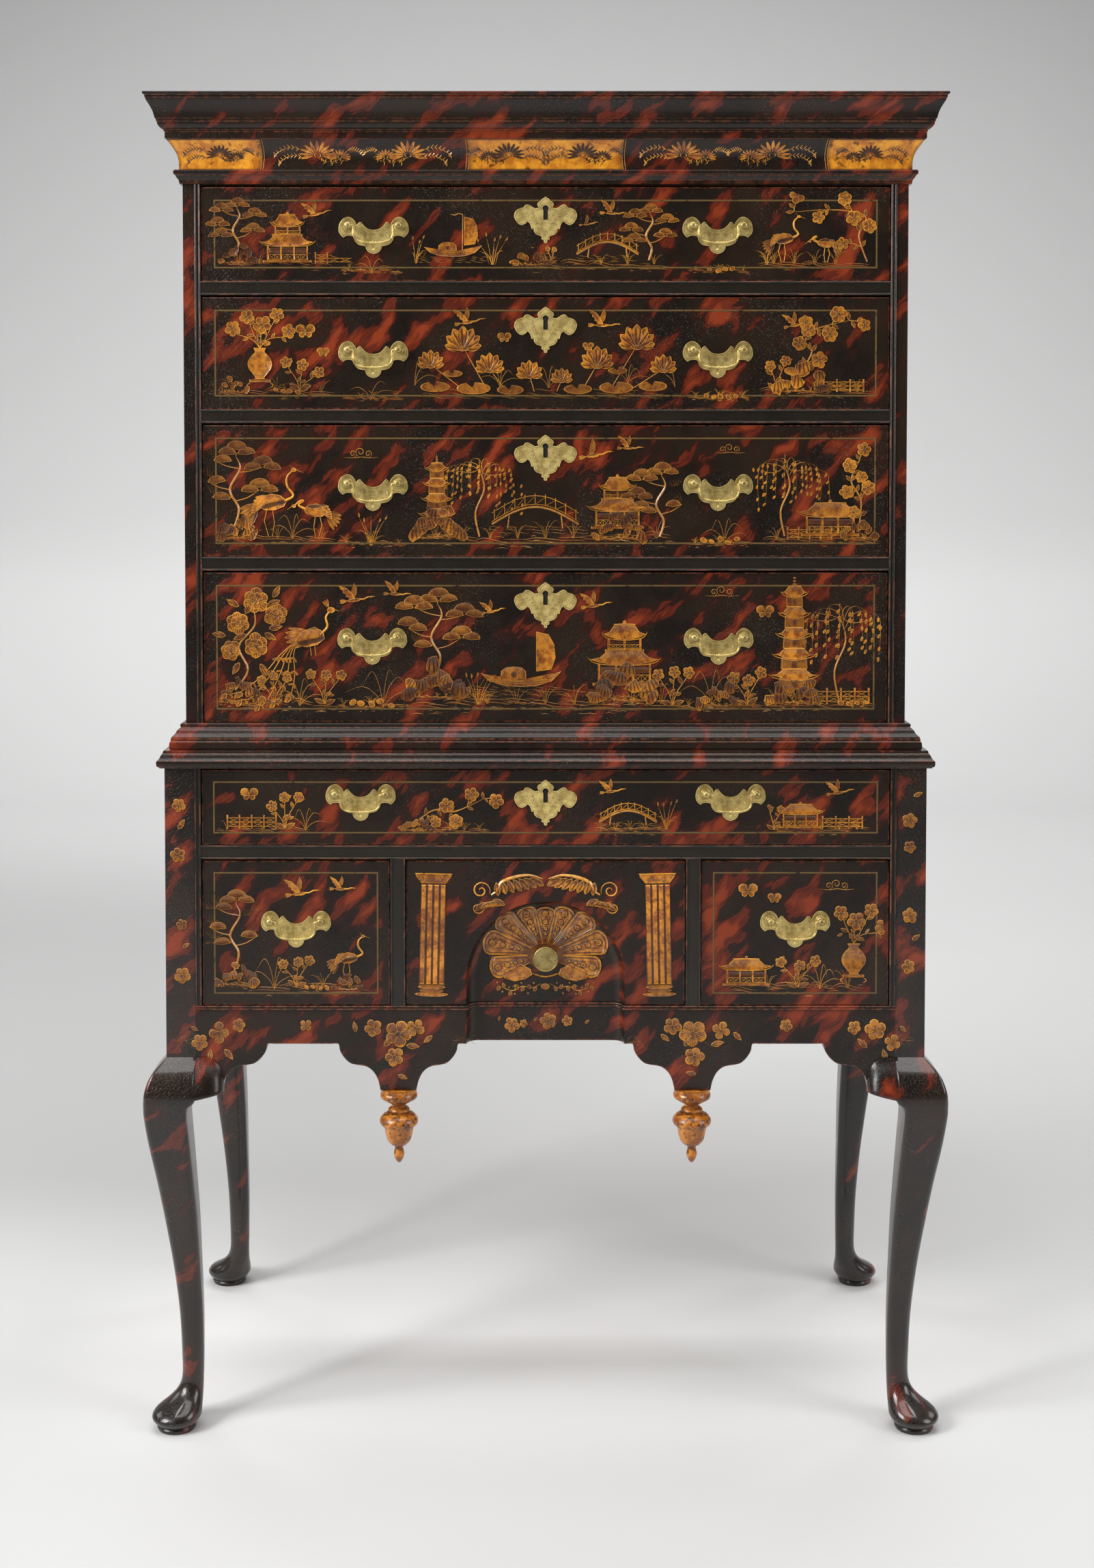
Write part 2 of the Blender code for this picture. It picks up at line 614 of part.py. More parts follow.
def lower_sides():
    """Side boards with shaped lower edges, and the drawers' runners and guides on their inner faces."""
    reach = POST_INNER_Y - SEAT_GAP
    outline = mirrored([(0, SKIRT_FLAT)] + corner_lobe(reach) + [(reach, LOWER_TOP), (0, LOWER_TOP)])
    inner_face = LOWER_WIDTH / 2 - BOARD_THICKNESS
    start = LOWER_FRONT + max(RAIL_DEPTH, POST_SIZE) + SEAT_GAP
    for name, side in (("left", -1), ("right", 1)):
        outer = side * LOWER_WIDTH / 2
        board = prism([(outer, y, z) for y, z in outline], Vector((-side * BOARD_THICKNESS, 0, 0)))
        made = piece(f"lower_side_{name}", mesh_of(f"lower_side_{name}", board, "japanned"))
        for level, floor in (("small", SMALL_FLOOR), ("long", LONG_FLOOR)):
            section = (
                (inner_face + JOINT_BITE, floor - RAIL_HEIGHT),
                (inner_face + JOINT_BITE, floor + GUIDE_HEIGHT),
                (HALF_OPENING, floor + GUIDE_HEIGHT), (HALF_OPENING, floor),
                (HALF_OPENING - RUNNER_WIDTH, floor), (HALF_OPENING - RUNNER_WIDTH, floor - RAIL_HEIGHT),
            )
            outline_3d = [(side * x, start, z) for x, z in section]
            join(made, f"{level}_runner_{name}", prism(outline_3d, Vector((0, reach - start, 0))), "bare")


def recess_plan():
    """Plan of the recess: its left edge, a cove, its back and the other cove."""
    half = RECESS_WIDTH / 2
    cove = arc((0, 0), 1.0, 0, 90, COVE_STEPS)
    left = [(-half + RECESS_COVE * (1 - x), LOWER_FRONT + RECESS_DEPTH * y) for x, y in cove]
    return left + [(-x, y) for x, y in reversed(left)]


def front_skirt():
    reach = POST_INNER_X - SEAT_GAP
    block_half = PENDANT_BLOCK_WIDTH / 2
    pendant = PENDANT_SPACING / 2
    inner_flat = pendant - block_half - PENDANT_LOBE_WIDTH
    outer_flat = pendant + block_half + PENDANT_LOBE_WIDTH
    half = [(0, SKIRT_FLAT), (inner_flat, SKIRT_FLAT)] + lobe(inner_flat, 1, PENDANT_LOBE_WIDTH)
    half += list(reversed(lobe(outer_flat, -1, PENDANT_LOBE_WIDTH))) + [(outer_flat, SKIRT_FLAT)]
    half += corner_lobe(reach) + [(reach, SMALL_FLOOR), (0, SMALL_FLOOR)]
    thick = RECESS_DEPTH + RECESS_BACKING + 2 * CUT_OVERRUN
    blank = prism([(x, LOWER_FRONT - CUT_OVERRUN, z) for x, z in mirrored(half)], Vector((0, thick, 0)))
    skirt = piece("front_skirt", mesh_of("front_skirt", blank, "japanned"))

    wing_back = LOWER_FRONT + SKIRT_THICKNESS
    block_back = LOWER_FRONT + RECESS_DEPTH + RECESS_BACKING
    half_recess = RECESS_WIDTH / 2
    wide = reach + CUT_OVERRUN
    plan = [(-wide, LOWER_FRONT)] + recess_plan() + [(wide, LOWER_FRONT), (wide, wing_back)]
    plan += [(half_recess + RECESS_COVE, wing_back), (half_recess, block_back)]
    plan += [(-half_recess, block_back), (-half_recess - RECESS_COVE, wing_back), (-wide, wing_back)]
    low = SKIRT_FLAT - LOBE_DROP - CUT_OVERRUN
    kept = prism([(x, y, low) for x, y in plan], Vector((0, 0, SMALL_FLOOR + CUT_OVERRUN - low)))
    combine(skirt, "skirt_plan", kept, "INTERSECT")

    for name, side in (("left", -1), ("right", 1)):
        foot = (side * pendant, LOWER_FRONT + SKIRT_THICKNESS / 2, low)
        depth = CUT_OVERRUN + PENDANT_TENON_LENGTH + SEAT_GAP
        socket = cylinder(PENDANT_TENON_RADIUS + SEAT_GAP, PENDANT_SIDES, foot, depth)
        cut(skirt, f"pendant_socket_{name}", socket)
    join(skirt, "skirt_beads", skirt_beads(reach))


def skirt_beads(reach):
    """The double bead along the skirt's top, which follows the recess."""
    plan = recess_plan()
    stations = [(-reach, LOWER_FRONT, 0, -1)]
    for index, (x, y) in enumerate(plan):
        before = plan[index - 1] if index else stations[0][:2]
        after = plan[index + 1] if index + 1 < len(plan) else (reach, LOWER_FRONT)
        first = Vector((x - before[0], y - before[1])).normalized()
        second = Vector((after[0] - x, after[1] - y)).normalized()
        along = (first + second).normalized()
        spread = 1 / max(along.dot(first), 0.5)
        stations.append((x, y, along.y * spread, -along.x * spread))
    stations.append((reach, LOWER_FRONT, 0, -1))
    profile = bead_profile(2 * BEAD_WIDTH)
    low = SMALL_FLOOR - 2 * BEAD_WIDTH
    rings = []
    for x, y, out_x, out_y in stations:
        rings.append([(x + out_x * out, y + out_y * out, low + z) for z, out in profile])
    return loft(rings)


def pendants():
    points = [(0, PENDANT_TENON_LENGTH), (PENDANT_TENON_RADIUS, PENDANT_TENON_LENGTH)]
    points += [(PENDANT_TENON_RADIUS, 0)]
    points += [(PENDANT_RADIUS * radius, -PENDANT_HEIGHT * down) for radius, down in pendant_shares]
    drop = turned(points + [(0, -PENDANT_HEIGHT)], PENDANT_SIDES)
    drop.materials.append(MATERIALS["gilt"])
    top = SKIRT_FLAT - LOBE_DROP - SEAT_GAP
    for name, side in (("left", -1), ("right", 1)):
        spot = (side * PENDANT_SPACING / 2, LOWER_FRONT + SKIRT_THICKNESS / 2, top)
        piece(f"pendant_{name}", drop, spot, smooth=True)


def lower_rail():
    """The rail under the long drawer, with the dividers and the runners behind them."""
    reach = POST_INNER_X - SEAT_GAP
    front = LOWER_FRONT
    shoulder = HALF_OPENING - SEAT_GAP
    behind_beads = LOWER_FRONT + JOINT_BITE + SEAT_GAP
    half = [(0, front), (shoulder, front), (shoulder, behind_beads), (reach, behind_beads)]
    half += [(reach, LOWER_FRONT + RAIL_DEPTH), (0, LOWER_FRONT + RAIL_DEPTH)]
    board = prism([(x, y, SMALL_TOP) for x, y in mirrored(half)], Vector((0, 0, RAIL_HEIGHT)))
    rail = piece("lower_rail", mesh_of("lower_rail", board, "japanned"))
    rib_start = LOWER_FRONT + RAIL_DEPTH - JOINT_BITE
    half_rib = DIVIDER_WIDTH / 2
    half_foot = half_rib + RUNNER_WIDTH
    rib_low = SMALL_FLOOR - RAIL_HEIGHT
    rib_top = SMALL_FLOOR + GUIDE_HEIGHT
    section = mirrored([
        (0, rib_low), (half_foot, rib_low), (half_foot, SMALL_FLOOR), (half_rib, SMALL_FLOOR),
        (half_rib, rib_top), (0, rib_top),
    ])
    for name, side in (("left", -1), ("right", 1)):
        near, far = sorted((side * CENTRE_OPENING / 2, side * (CENTRE_OPENING / 2 + DIVIDER_WIDTH)))
        low = (near, front, SMALL_FLOOR + SEAT_GAP)
        join(rail, f"divider_{name}", box(low, (far, LOWER_FRONT + RAIL_DEPTH, SMALL_TOP + JOINT_BITE)))
        middle = (near + far) / 2
        rib_outline = [(middle + x, rib_start, z) for x, z in section]
        rib = prism(rib_outline, Vector((0, LOWER_BACK_FACE - rib_start, 0)))
        join(rail, f"centre_runner_{name}", rib, "bare")
        beads = stile_beads(near, far, SMALL_FLOOR + SEAT_GAP, SMALL_TOP - SEAT_GAP, front)
        join(rail, f"divider_beads_{name}", beads)
    join(rail, "rail_beads", rail_beads(SMALL_TOP, LONG_FLOOR, front, HALF_OPENING - SEAT_GAP))


# Brass


def plate_outline(shares, width, height):
    return mirrored([(width / 2 * across, height * up) for across, up in shares])


def keyhole_outline():
    """A round hole with a slot under it, counted from the escutcheon's middle."""
    half_slot = KEYHOLE_SLOT_WIDTH / 2
    meeting = math.degrees(math.asin(min(half_slot / KEYHOLE_RADIUS, 1.0)))
    ring = arc((0, KEYHOLE_RISE), KEYHOLE_RADIUS, meeting - 90, 270 - meeting, KEYHOLE_STEPS)
    foot = KEYHOLE_RISE + KEYHOLE_RADIUS - KEYHOLE_HEIGHT
    return ring + [(-half_slot, foot), (half_slot, foot)]


def keyhole(front, depth):
    return prism([(x, front, z) for x, z in keyhole_outline()], Vector((0, depth, 0)))


def pull_mesh():
    """A pull's plate with its two posts. Its back is at Y zero and the bail's axis at Z zero."""
    face = -PLATE_THICKNESS
    outline = plate_outline(plate_shares, PLATE_WIDTH, PLATE_HEIGHT)
    plate = prism([(x, 0, z) for x, z in outline], Vector((0, face, 0)))
    made = piece("pull", mesh_of("pull", plate, "brass"))
    points = [(0, POST_REACH)]
    points += [(POST_HEAD_RADIUS * radius, POST_REACH * up) for radius, up in reversed(head_shares)]
    points += [(POST_STEM_RADIUS * radius, POST_REACH * up) for radius, up in reversed(stem_shares)]
    post = turned(points + [(0, 0)], POST_SIDES)
    post.transform(Matrix.Rotation(math.radians(90), 4, "X"))
    bore = BAIL_RADIUS + SEAT_GAP
    for name, side in (("left", -1), ("right", 1)):
        stood = post.copy()
        stood.transform(Matrix.Translation((side * POST_SPACING / 2, face / 2, 0)))
        join(made, f"post_{name}", stood)
        mouth = side * (POST_SPACING / 2 - POST_HEAD_RADIUS - CUT_OVERRUN)
        end = side * (PINTLE_TIP + SEAT_GAP)
        low = (min(mouth, end), -BAIL_AXIS_REACH - bore, -bore)
        cut(made, f"pintle_bore_{name}", box(low, (max(mouth, end), -BAIL_AXIS_REACH + bore, bore)), "brass")
    graph = bpy.context.evaluated_depsgraph_get()
    mesh = bpy.data.meshes.new_from_object(made.evaluated_get(graph))
    bpy.data.objects.remove(made)
    return mesh


def bail_curve():
    """A bail hanging from its pintles, which lie on the X axis."""
    half = BAIL_WIDTH / 2
    bead = BAIL_BEAD_WIDTH / 2
    right = [(0, -BAIL_DROP, BAIL_BEAD_SCALE), (bead, -BAIL_DROP, 1.0)]
    right += [(half * across, -BAIL_DROP * down, 1.0) for across, down in reversed(bail_shares)]
    right.append((PINTLE_TIP, 0, 1.0))
    stations = [(-x, z, scale) for x, z, scale in reversed(right[1:])] + right
    curve = bpy.data.curves.new("bail", "CURVE")
    curve.dimensions = "3D"
    curve.bevel_depth = BAIL_RADIUS
    curve.bevel_resolution = 1
    curve.use_fill_caps = True
    spline = curve.splines.new("POLY")
    spline.points.add(len(stations) - 1)
    for point, (x, z, scale) in zip(spline.points, stations):
        point.co = (x, 0, z, 1.0)
        point.radius = scale
    curve.materials.append(MATERIALS["brass"])
    return curve


def add_pull(name, x, face, z):
    plate_back = face - SEAT_GAP
    piece(name.replace("bail", "pull"), PULL_MESH, (x, plate_back, z), smooth=True)
    bail = bpy.data.objects.new(name, BAIL_CURVE)
    bail.location = (x, plate_back - BAIL_AXIS_REACH, z)
    chest.objects.link(bail)


def escutcheon(name, face, z):
    outline = plate_outline(escutcheon_shares, ESCUTCHEON_WIDTH, ESCUTCHEON_HEIGHT)
    plate = prism([(x, 0, up) for x, up in outline], Vector((0, -ESCUTCHEON_THICKNESS, 0)))
    made = piece(name, mesh_of(name, plate, "brass"), (0, face - SEAT_GAP, z))
    hole = keyhole(-ESCUTCHEON_THICKNESS - CUT_OVERRUN, ESCUTCHEON_THICKNESS + 2 * CUT_OVERRUN)
    hole.transform(Matrix.Translation(made.location))
    cut(made, f"{name}_keyhole", hole, "brass")


# Drawers


def drawer_body(name, middle, width, floor, opening, face, front_thickness, case_back):
    """A drawer's front, sides, back and bottom, glued up in one."""
    low = floor + DRAWER_BOTTOM_GAP
    high = floor + opening - DRAWER_TOP_GAP
    rim = high - BOX_DROP
    half = width / 2 - DRAWER_SIDE_GAP
    board_back = face + front_thickness
    box_back = case_back - BOX_BACK_ROOM
    section = (
        (face, low), (box_back, low), (box_back, rim),
        (board_back, rim), (board_back, high), (face, high),
    )
    solid = prism([(middle - half, y, z) for y, z in section], Vector((2 * half, 0, 0)))
    mesh = mesh_of(name, solid, "bare", "japanned")
    for polygon in mesh.polygons:
        if polygon.normal.y < 0 and polygon.center.y < board_back - front_thickness / 2:
            polygon.material_index = 1
    made = piece(name, mesh)
    inner = half - BOX_SIDE_THICKNESS
    bottom = low + BOX_BOTTOM_LIFT
    room = box((middle - inner, board_back, bottom + BOX_BOTTOM_THICKNESS),
               (middle + inner, box_back - BOX_SIDE_THICKNESS, high + CUT_OVERRUN))
    cut(made, f"{name}_room", room, "bare")
    under_low = (middle - inner, board_back, low - CUT_OVERRUN)
    under = box(under_low, (middle + inner, box_back + CUT_OVERRUN, bottom))
    cut(made, f"{name}_underside", under, "bare")
    return made


def locked_drawer(name, floor, opening, case_front, case_back, offset, pull_height):
    """A full-width drawer with two pulls and a keyhole."""
    face = case_front + SEAT_GAP
    made = drawer_body(name, 0, OPENING_WIDTH, floor, opening, face, FRONT_THICKNESS, case_back)
    lock_z = floor + opening - ESCUTCHEON_DROP
    hole = keyhole(face - CUT_OVERRUN, KEYHOLE_DEPTH + CUT_OVERRUN)
    hole.transform(Matrix.Translation((0, 0, lock_z)))
    cut(made, f"{name}_keyhole", hole)
    escutcheon(f"{name}_escutcheon", face, lock_z)
    for side_name, side in (("left", -1), ("right", 1)):
        add_pull(f"{name}_bail_{side_name}", side * offset, face, floor + pull_height)


def small_drawers():
    face = LOWER_FRONT + SEAT_GAP
    for side_name, side in (("left", -1), ("right", 1)):
        name = f"small_drawer_{side_name}"
        middle = side * SMALL_CENTRE
        drawer_body(name, middle, SMALL_WIDTH, SMALL_FLOOR, SMALL_OPENING, face,
                    FRONT_THICKNESS, LOWER_BACK_FACE)
        add_pull(f"{name}_bail", middle, face, SMALL_FLOOR + PULL_SMALL_HEIGHT)


def middle_drawer():
    """The blocked drawer, with an arched recess in its front and a knob in the recess."""
    face = LOWER_FRONT + SEAT_GAP
    made = drawer_body("middle_drawer", 0, CENTRE_OPENING, SMALL_FLOOR, SMALL_OPENING, face,
                       BLOCK_FRONT_THICKNESS, LOWER_BACK_FACE)
    half = RECESS_WIDTH / 2
    spring = SMALL_FLOOR + RECESS_CROWN - half
    foot = SMALL_FLOOR - CUT_OVERRUN
    levels = [(half, face - CUT_OVERRUN)]
    cove = arc((0, 0), 1.0, 0, 90, COVE_STEPS)
    levels += [(half - RECESS_COVE * (1 - x), face + RECESS_DEPTH * y) for x, y in cove]
    rings = []
    for radius, y in levels:
        arch = arc((0, spring), radius, 0, 180, ARCH_STEPS)
        rings.append([(radius, y, foot)] + [(x, y, z) for x, z in arch] + [(-radius, y, foot)])
    cut(made, "arched_recess", loft(rings))

    knob_z = SMALL_FLOOR + KNOB_HEIGHT
    seat = face + RECESS_DEPTH
    mouth = (0, seat - CUT_OVERRUN, knob_z)
    depth = CUT_OVERRUN + KNOB_SHANK_LENGTH + SEAT_GAP
    cut(made, "knob_hole", cylinder(KNOB_SHANK_RADIUS + SEAT_GAP, KNOB_SIDES, mouth, depth, "Y"))
    points = [(0, KNOB_REACH)]
    points += [(KNOB_RADIUS * radius, KNOB_REACH * out) for radius, out in reversed(knob_shares)]
    points += [(KNOB_SHANK_RADIUS, 0), (KNOB_SHANK_RADIUS, -KNOB_SHANK_LENGTH), (0, -KNOB_SHANK_LENGTH)]
    knob = turned(points, KNOB_SIDES)
    knob.transform(Matrix.Rotation(math.radians(90), 4, "X"))
    knob.materials.append(MATERIALS["brass"])
    piece("middle_drawer_knob", knob, (0, seat - SEAT_GAP, knob_z), smooth=True)


def locked_drawers():
    upper = (
        ("drawer_1", FLOOR_1, DRAWER_1_OPENING, PULL_1_OFFSET, PULL_1_HEIGHT),
        ("drawer_2", FLOOR_2, DRAWER_2_OPENING, PULL_2_OFFSET, PULL_2_HEIGHT),
        ("drawer_3", FLOOR_3, DRAWER_3_OPENING, PULL_3_OFFSET, PULL_3_HEIGHT),
        ("drawer_4", FLOOR_4, DRAWER_4_OPENING, PULL_4_OFFSET, PULL_4_HEIGHT),
    )
    for name, floor, opening, offset, height in upper:
        locked_drawer(name, floor, opening, UPPER_FRONT, UPPER_BACK_FACE, offset, height)
    locked_drawer("long_drawer", LONG_FLOOR, LONG_OPENING, LOWER_FRONT, LOWER_BACK_FACE,
                  PULL_LONG_OFFSET, PULL_LONG_HEIGHT)


clear_scene()
MATERIALS = {
    "japanned": material("japanned_wood", (0.045, 0.018, 0.012), 0.28),
    "bare": material("bare_pine", (0.42, 0.27, 0.14), 0.75),
    "gilt": material("gilt_wood", (0.42, 0.17, 0.03), 0.35),
    "brass": material("brass", (0.62, 0.50, 0.22), 0.32, 1.0),
}
BAIL_AXIS_REACH = PLATE_THICKNESS / 2 + POST_REACH * head_shares[0][1]
PINTLE_TIP = POST_SPACING / 2 - POST_HEAD_RADIUS + PINTLE_BITE
PULL_MESH = pull_mesh()
BAIL_CURVE = bail_curve()
upper_sides()
upper_ends()
upper_rails()
back_boards()
cornice()
base_moulding()
waist_rail()
legs()
lower_sides()
front_skirt()
pendants()
lower_rail()
locked_drawers()
small_drawers()
middle_drawer()
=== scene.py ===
"""Looks of the tall chest: japanned cases, raised gold ornament, brasses and a pale studio."""

import json
import random
from math import asin, atan2, cos, degrees, dist, hypot, pi, radians, sin, sqrt

import bmesh
import bpy
from mathutils import Matrix, Vector

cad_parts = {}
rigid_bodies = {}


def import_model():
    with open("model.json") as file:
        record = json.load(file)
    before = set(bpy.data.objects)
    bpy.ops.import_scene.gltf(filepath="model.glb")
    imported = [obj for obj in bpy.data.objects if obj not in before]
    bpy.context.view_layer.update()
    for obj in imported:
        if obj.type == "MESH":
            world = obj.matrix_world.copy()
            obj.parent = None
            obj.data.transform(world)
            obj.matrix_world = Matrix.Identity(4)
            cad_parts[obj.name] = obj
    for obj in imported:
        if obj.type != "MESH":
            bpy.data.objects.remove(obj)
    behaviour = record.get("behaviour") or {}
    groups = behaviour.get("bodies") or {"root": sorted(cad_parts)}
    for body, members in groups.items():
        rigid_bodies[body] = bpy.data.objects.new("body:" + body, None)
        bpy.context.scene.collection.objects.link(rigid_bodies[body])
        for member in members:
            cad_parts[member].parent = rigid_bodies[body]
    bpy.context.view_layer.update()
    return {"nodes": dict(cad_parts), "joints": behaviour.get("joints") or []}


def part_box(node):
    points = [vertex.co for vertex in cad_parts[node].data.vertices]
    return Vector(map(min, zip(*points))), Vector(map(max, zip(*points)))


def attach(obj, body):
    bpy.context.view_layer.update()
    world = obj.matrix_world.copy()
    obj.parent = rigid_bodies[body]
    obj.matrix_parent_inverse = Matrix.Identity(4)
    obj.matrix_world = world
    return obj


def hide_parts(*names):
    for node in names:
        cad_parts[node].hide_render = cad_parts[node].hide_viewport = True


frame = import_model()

nodes = frame["nodes"]

# Places read from the frame
upper_low, upper_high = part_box("upper_side_right")
top_low, top_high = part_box("upper_top_board")
skirt_low, skirt_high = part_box("front_skirt")
side_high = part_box("lower_side_right")[1]
board_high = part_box("lower_back_board")[1]
pendant_low, pendant_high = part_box("pendant_right")
HALF_OPENING, UPPER_HALF = upper_low.x, upper_high.x
UPPER_FRONT, TOP = top_low.y, top_high.z
UPPER_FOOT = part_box("upper_bottom_board")[0].z
LOWER_HALF, POST_Y = side_high.x, side_high.y
LOWER_TOP, LOWER_BACK = board_high.z, board_high.y
LOWER_FRONT = -LOWER_BACK
SKIRT_FOOT, SKIRT_TOP, POST_X = skirt_low.z, skirt_high.z, skirt_high.x
POST_SIZE = LOWER_HALF - POST_X
PENDANT_X = (pendant_low.x + pendant_high.x) / 2
PENDANT_Y = (pendant_low.y + pendant_high.y) / 2

# Sizes shared with the solids, in metres
LEG_HEIGHT = 0.5170
SKIRT_RISE = 0.0185
SKIRT_FLAT = LEG_HEIGHT + SKIRT_RISE
LOBE_DROP = SKIRT_FLAT - SKIRT_FOOT
CORNER_LOBE_WIDTH, CORNER_LOBE_INSET = 0.0717, 0.0344
PENDANT_LOBE_WIDTH, PENDANT_BLOCK_HALF = 0.0652, 0.0245
RECESS_HALF, RECESS_DEPTH, RECESS_COVE, RECESS_CROWN = 0.1075, 0.0170, 0.0160, 0.1420
RECESS_SPRING = SKIRT_TOP + RECESS_CROWN - RECESS_HALF
FRONT_THICKNESS, SKIRT_THICKNESS, BLOCK_THICKNESS = 0.0220, 0.0216, 0.0400
SIDE_BOARD, BOTTOM_BOARD, BOTTOM_LIFT, BOX_DROP = 0.0115, 0.0080, 0.0040, 0.0080
KNEE_BLOCK_HEIGHT, KNEE_BLOCK_LENGTH = 0.0537, 0.0377
CASE_BOARD = 0.019
DRAWER_FOOT_GAP, DRAWER_HEAD_GAP = 0.0004, 0.0025

# Sizes of the looks: how deep trim sinks, engraved lines, beads, the japanned skin and worn arrises
SINK = 0.0001
HAIR = 0.0007
BEAD_WIDTH, BEAD_PROUD, STRIP = 0.0031, 0.0029, 0.0013
SKIRT_BEADS = 0.0060
JAPAN_DEPTH = 0.0033
ARRIS, ARRIS_UP, ARRIS_BACK = 0.0007, 0.0022, 0.0030
ARRIS_WEAR = (0.0, 0.9, 0.6, 0.0, 0.0, 0.0, 0.0)
PEG_HIGH, PEG_LOW, PEG_INSET, PEG_RADIUS = 0.5562, 0.5258, 0.0074, 0.0036
LINE_MARK = (0.0, 0.0, -1.0)

FLAT_DRAWERS = ("drawer_1", "drawer_2", "drawer_3", "drawer_4", "long_drawer", "small_drawer_left",
                "small_drawer_right")

# Shared with the solids: shares of stand-out and of height, grouped into runs with sharp arrises
CROWN_HEIGHT, CROWN_PROUD = 0.0588, 0.0453
COVE_HEIGHT, COVE_PROUD = 0.0400, 0.0190
NECK_HEIGHT, NECK_PROUD = 0.0185, 0.0108
BASE_HEIGHT, BASE_PROUD = 0.0345, 0.0199
WAIST_HEIGHT, WAIST_PROUD = 0.0234, 0.0095
COVE_FOOT = TOP - CROWN_HEIGHT - COVE_HEIGHT
CROWN_SHARES = (
    ((0.975, 1.00), (0.998, 0.985), (1.00, 0.95), (0.965, 0.925)),
    ((0.945, 0.915), (0.94, 0.87)),
    ((0.925, 0.85), (0.90, 0.80), (0.82, 0.70), (0.745, 0.58), (0.705, 0.47), (0.695, 0.43)),
    ((0.665, 0.415), (0.66, 0.37)),
    ((0.64, 0.355), (0.62, 0.29), (0.55, 0.225), (0.485, 0.205)),
    ((0.465, 0.19), (0.465, 0.155)),
    ((0.445, 0.145), (0.445, 0.00)),
)
COVE_SHARES = (((0.97, 1.00), (0.68, 0.80), (0.42, 0.61), (0.27, 0.43), (0.21, 0.22), (0.21, 0.00)),)
NECK_SHARES = (
    ((0.86, 1.00), (0.97, 0.94), (1.00, 0.82), (0.97, 0.70), (0.86, 0.63)),
    ((0.78, 0.60), (0.66, 0.46), (0.50, 0.34), (0.44, 0.28)),
    ((0.40, 0.26), (0.40, 0.14)),
    ((0.34, 0.12), (0.34, 0.00)),
)
BASE_SHARES = (
    ((0.26, 1.00), (0.33, 0.965), (0.35, 0.90), (0.31, 0.85)),
    ((0.36, 0.82), (0.52, 0.74), (0.66, 0.60), (0.84, 0.50), (0.90, 0.43)),
    ((0.91, 0.41), (0.91, 0.33)),
    ((0.97, 0.30), (1.00, 0.22), (1.00, 0.06), (0.96, 0.00)),
)
WAIST_SHARES = (
    ((0.10, 1.00), (0.16, 0.94), (0.20, 0.85)),
    ((0.26, 0.83), (0.42, 0.74), (0.60, 0.58), (0.84, 0.47)),
    ((0.90, 0.45), (0.99, 0.40), (1.00, 0.27), (0.94, 0.14), (0.80, 0.08)),
    ((0.66, 0.06), (0.60, 0.00)),
)
LOBE_SHARES = (
    ((0.00, 0.00), (0.115, 0.00), (0.14, 0.06), (0.15, 0.13), (0.19, 0.22), (0.27, 0.33), (0.38, 0.42),
     (0.52, 0.455), (0.66, 0.475), (0.78, 0.53), (0.88, 0.635), (0.95, 0.78), (0.985, 0.92), (1.00, 1.00)),
)
LEG_SHARES = (
    (0.000, 0.143, 1.403, 1.00), (0.0045, 0.120, 1.426, 1.00), (0.009, 0.116, 1.430, 1.00),
    (0.0125, 0.150, 1.396, 1.00), (0.016, 0.120, 1.440, 1.00), (0.022, 0.030, 1.520, 1.00),
    (0.034, -0.054, 1.601, 1.00), (0.050, -0.068, 1.460, 1.00), (0.070, -0.068, 1.080, 1.00),
    (0.092, -0.067, 0.800, 1.00), (0.122, -0.072, 0.665, 1.00), (0.180, -0.085, 0.655, 0.92),
    (0.300, -0.085, 0.710, 0.76), (0.430, -0.035, 0.870, 0.60), (0.560, 0.020, 1.100, 0.48),
    (0.669, 0.100, 1.315, 0.40), (0.775, 0.185, 1.550, 0.34), (0.851, 0.250, 1.675, 0.28),
    (0.876, 0.200, 1.690, 0.26), (0.8925, 0.000, 1.690, 0.22), (0.920, 0.000, 1.650, 0.18),
    (0.957, 0.000, 1.480, 0.14), (0.985, 0.000, 1.180, 0.09), (1.000, 0.000, 1.000, 0.04),
)
PENDANT_SHARES = (
    ((0.93, 0.000), (0.94, 0.040)),
    ((0.96, 0.048), (1.00, 0.075), (0.98, 0.110), (0.90, 0.130)),
    ((0.82, 0.140), (0.62, 0.172), (0.42, 0.195), (0.37, 0.235)),
    ((0.50, 0.250), (0.57, 0.270), (0.57, 0.295), (0.50, 0.312)),
    ((0.62, 0.318), (0.84, 0.345), (1.00, 0.395), (1.03, 0.440), (0.97, 0.475)),
    ((0.85, 0.490), (0.78, 0.530), (0.74, 0.580), (0.69, 0.640), (0.60, 0.700), (0.44, 0.745)),
    ((0.30, 0.765), (0.22, 0.785), (0.27, 0.850), (0.28, 0.890), (0.20, 0.950), (0.08, 0.992)),
)
KNOB_SHARES = (
    ((0.62, 0.00), (0.62, 0.08)),
    ((0.52, 0.12), (0.36, 0.24), (0.31, 0.42), (0.40, 0.60), (0.68, 0.75), (0.90, 0.80)),
    ((0.97, 0.82), (1.00, 0.87), (1.00, 0.93), (0.97, 0.97), (0.92, 0.985)),
    ((0.90, 0.965), (0.60, 0.955), (0.00, 0.95)),
)
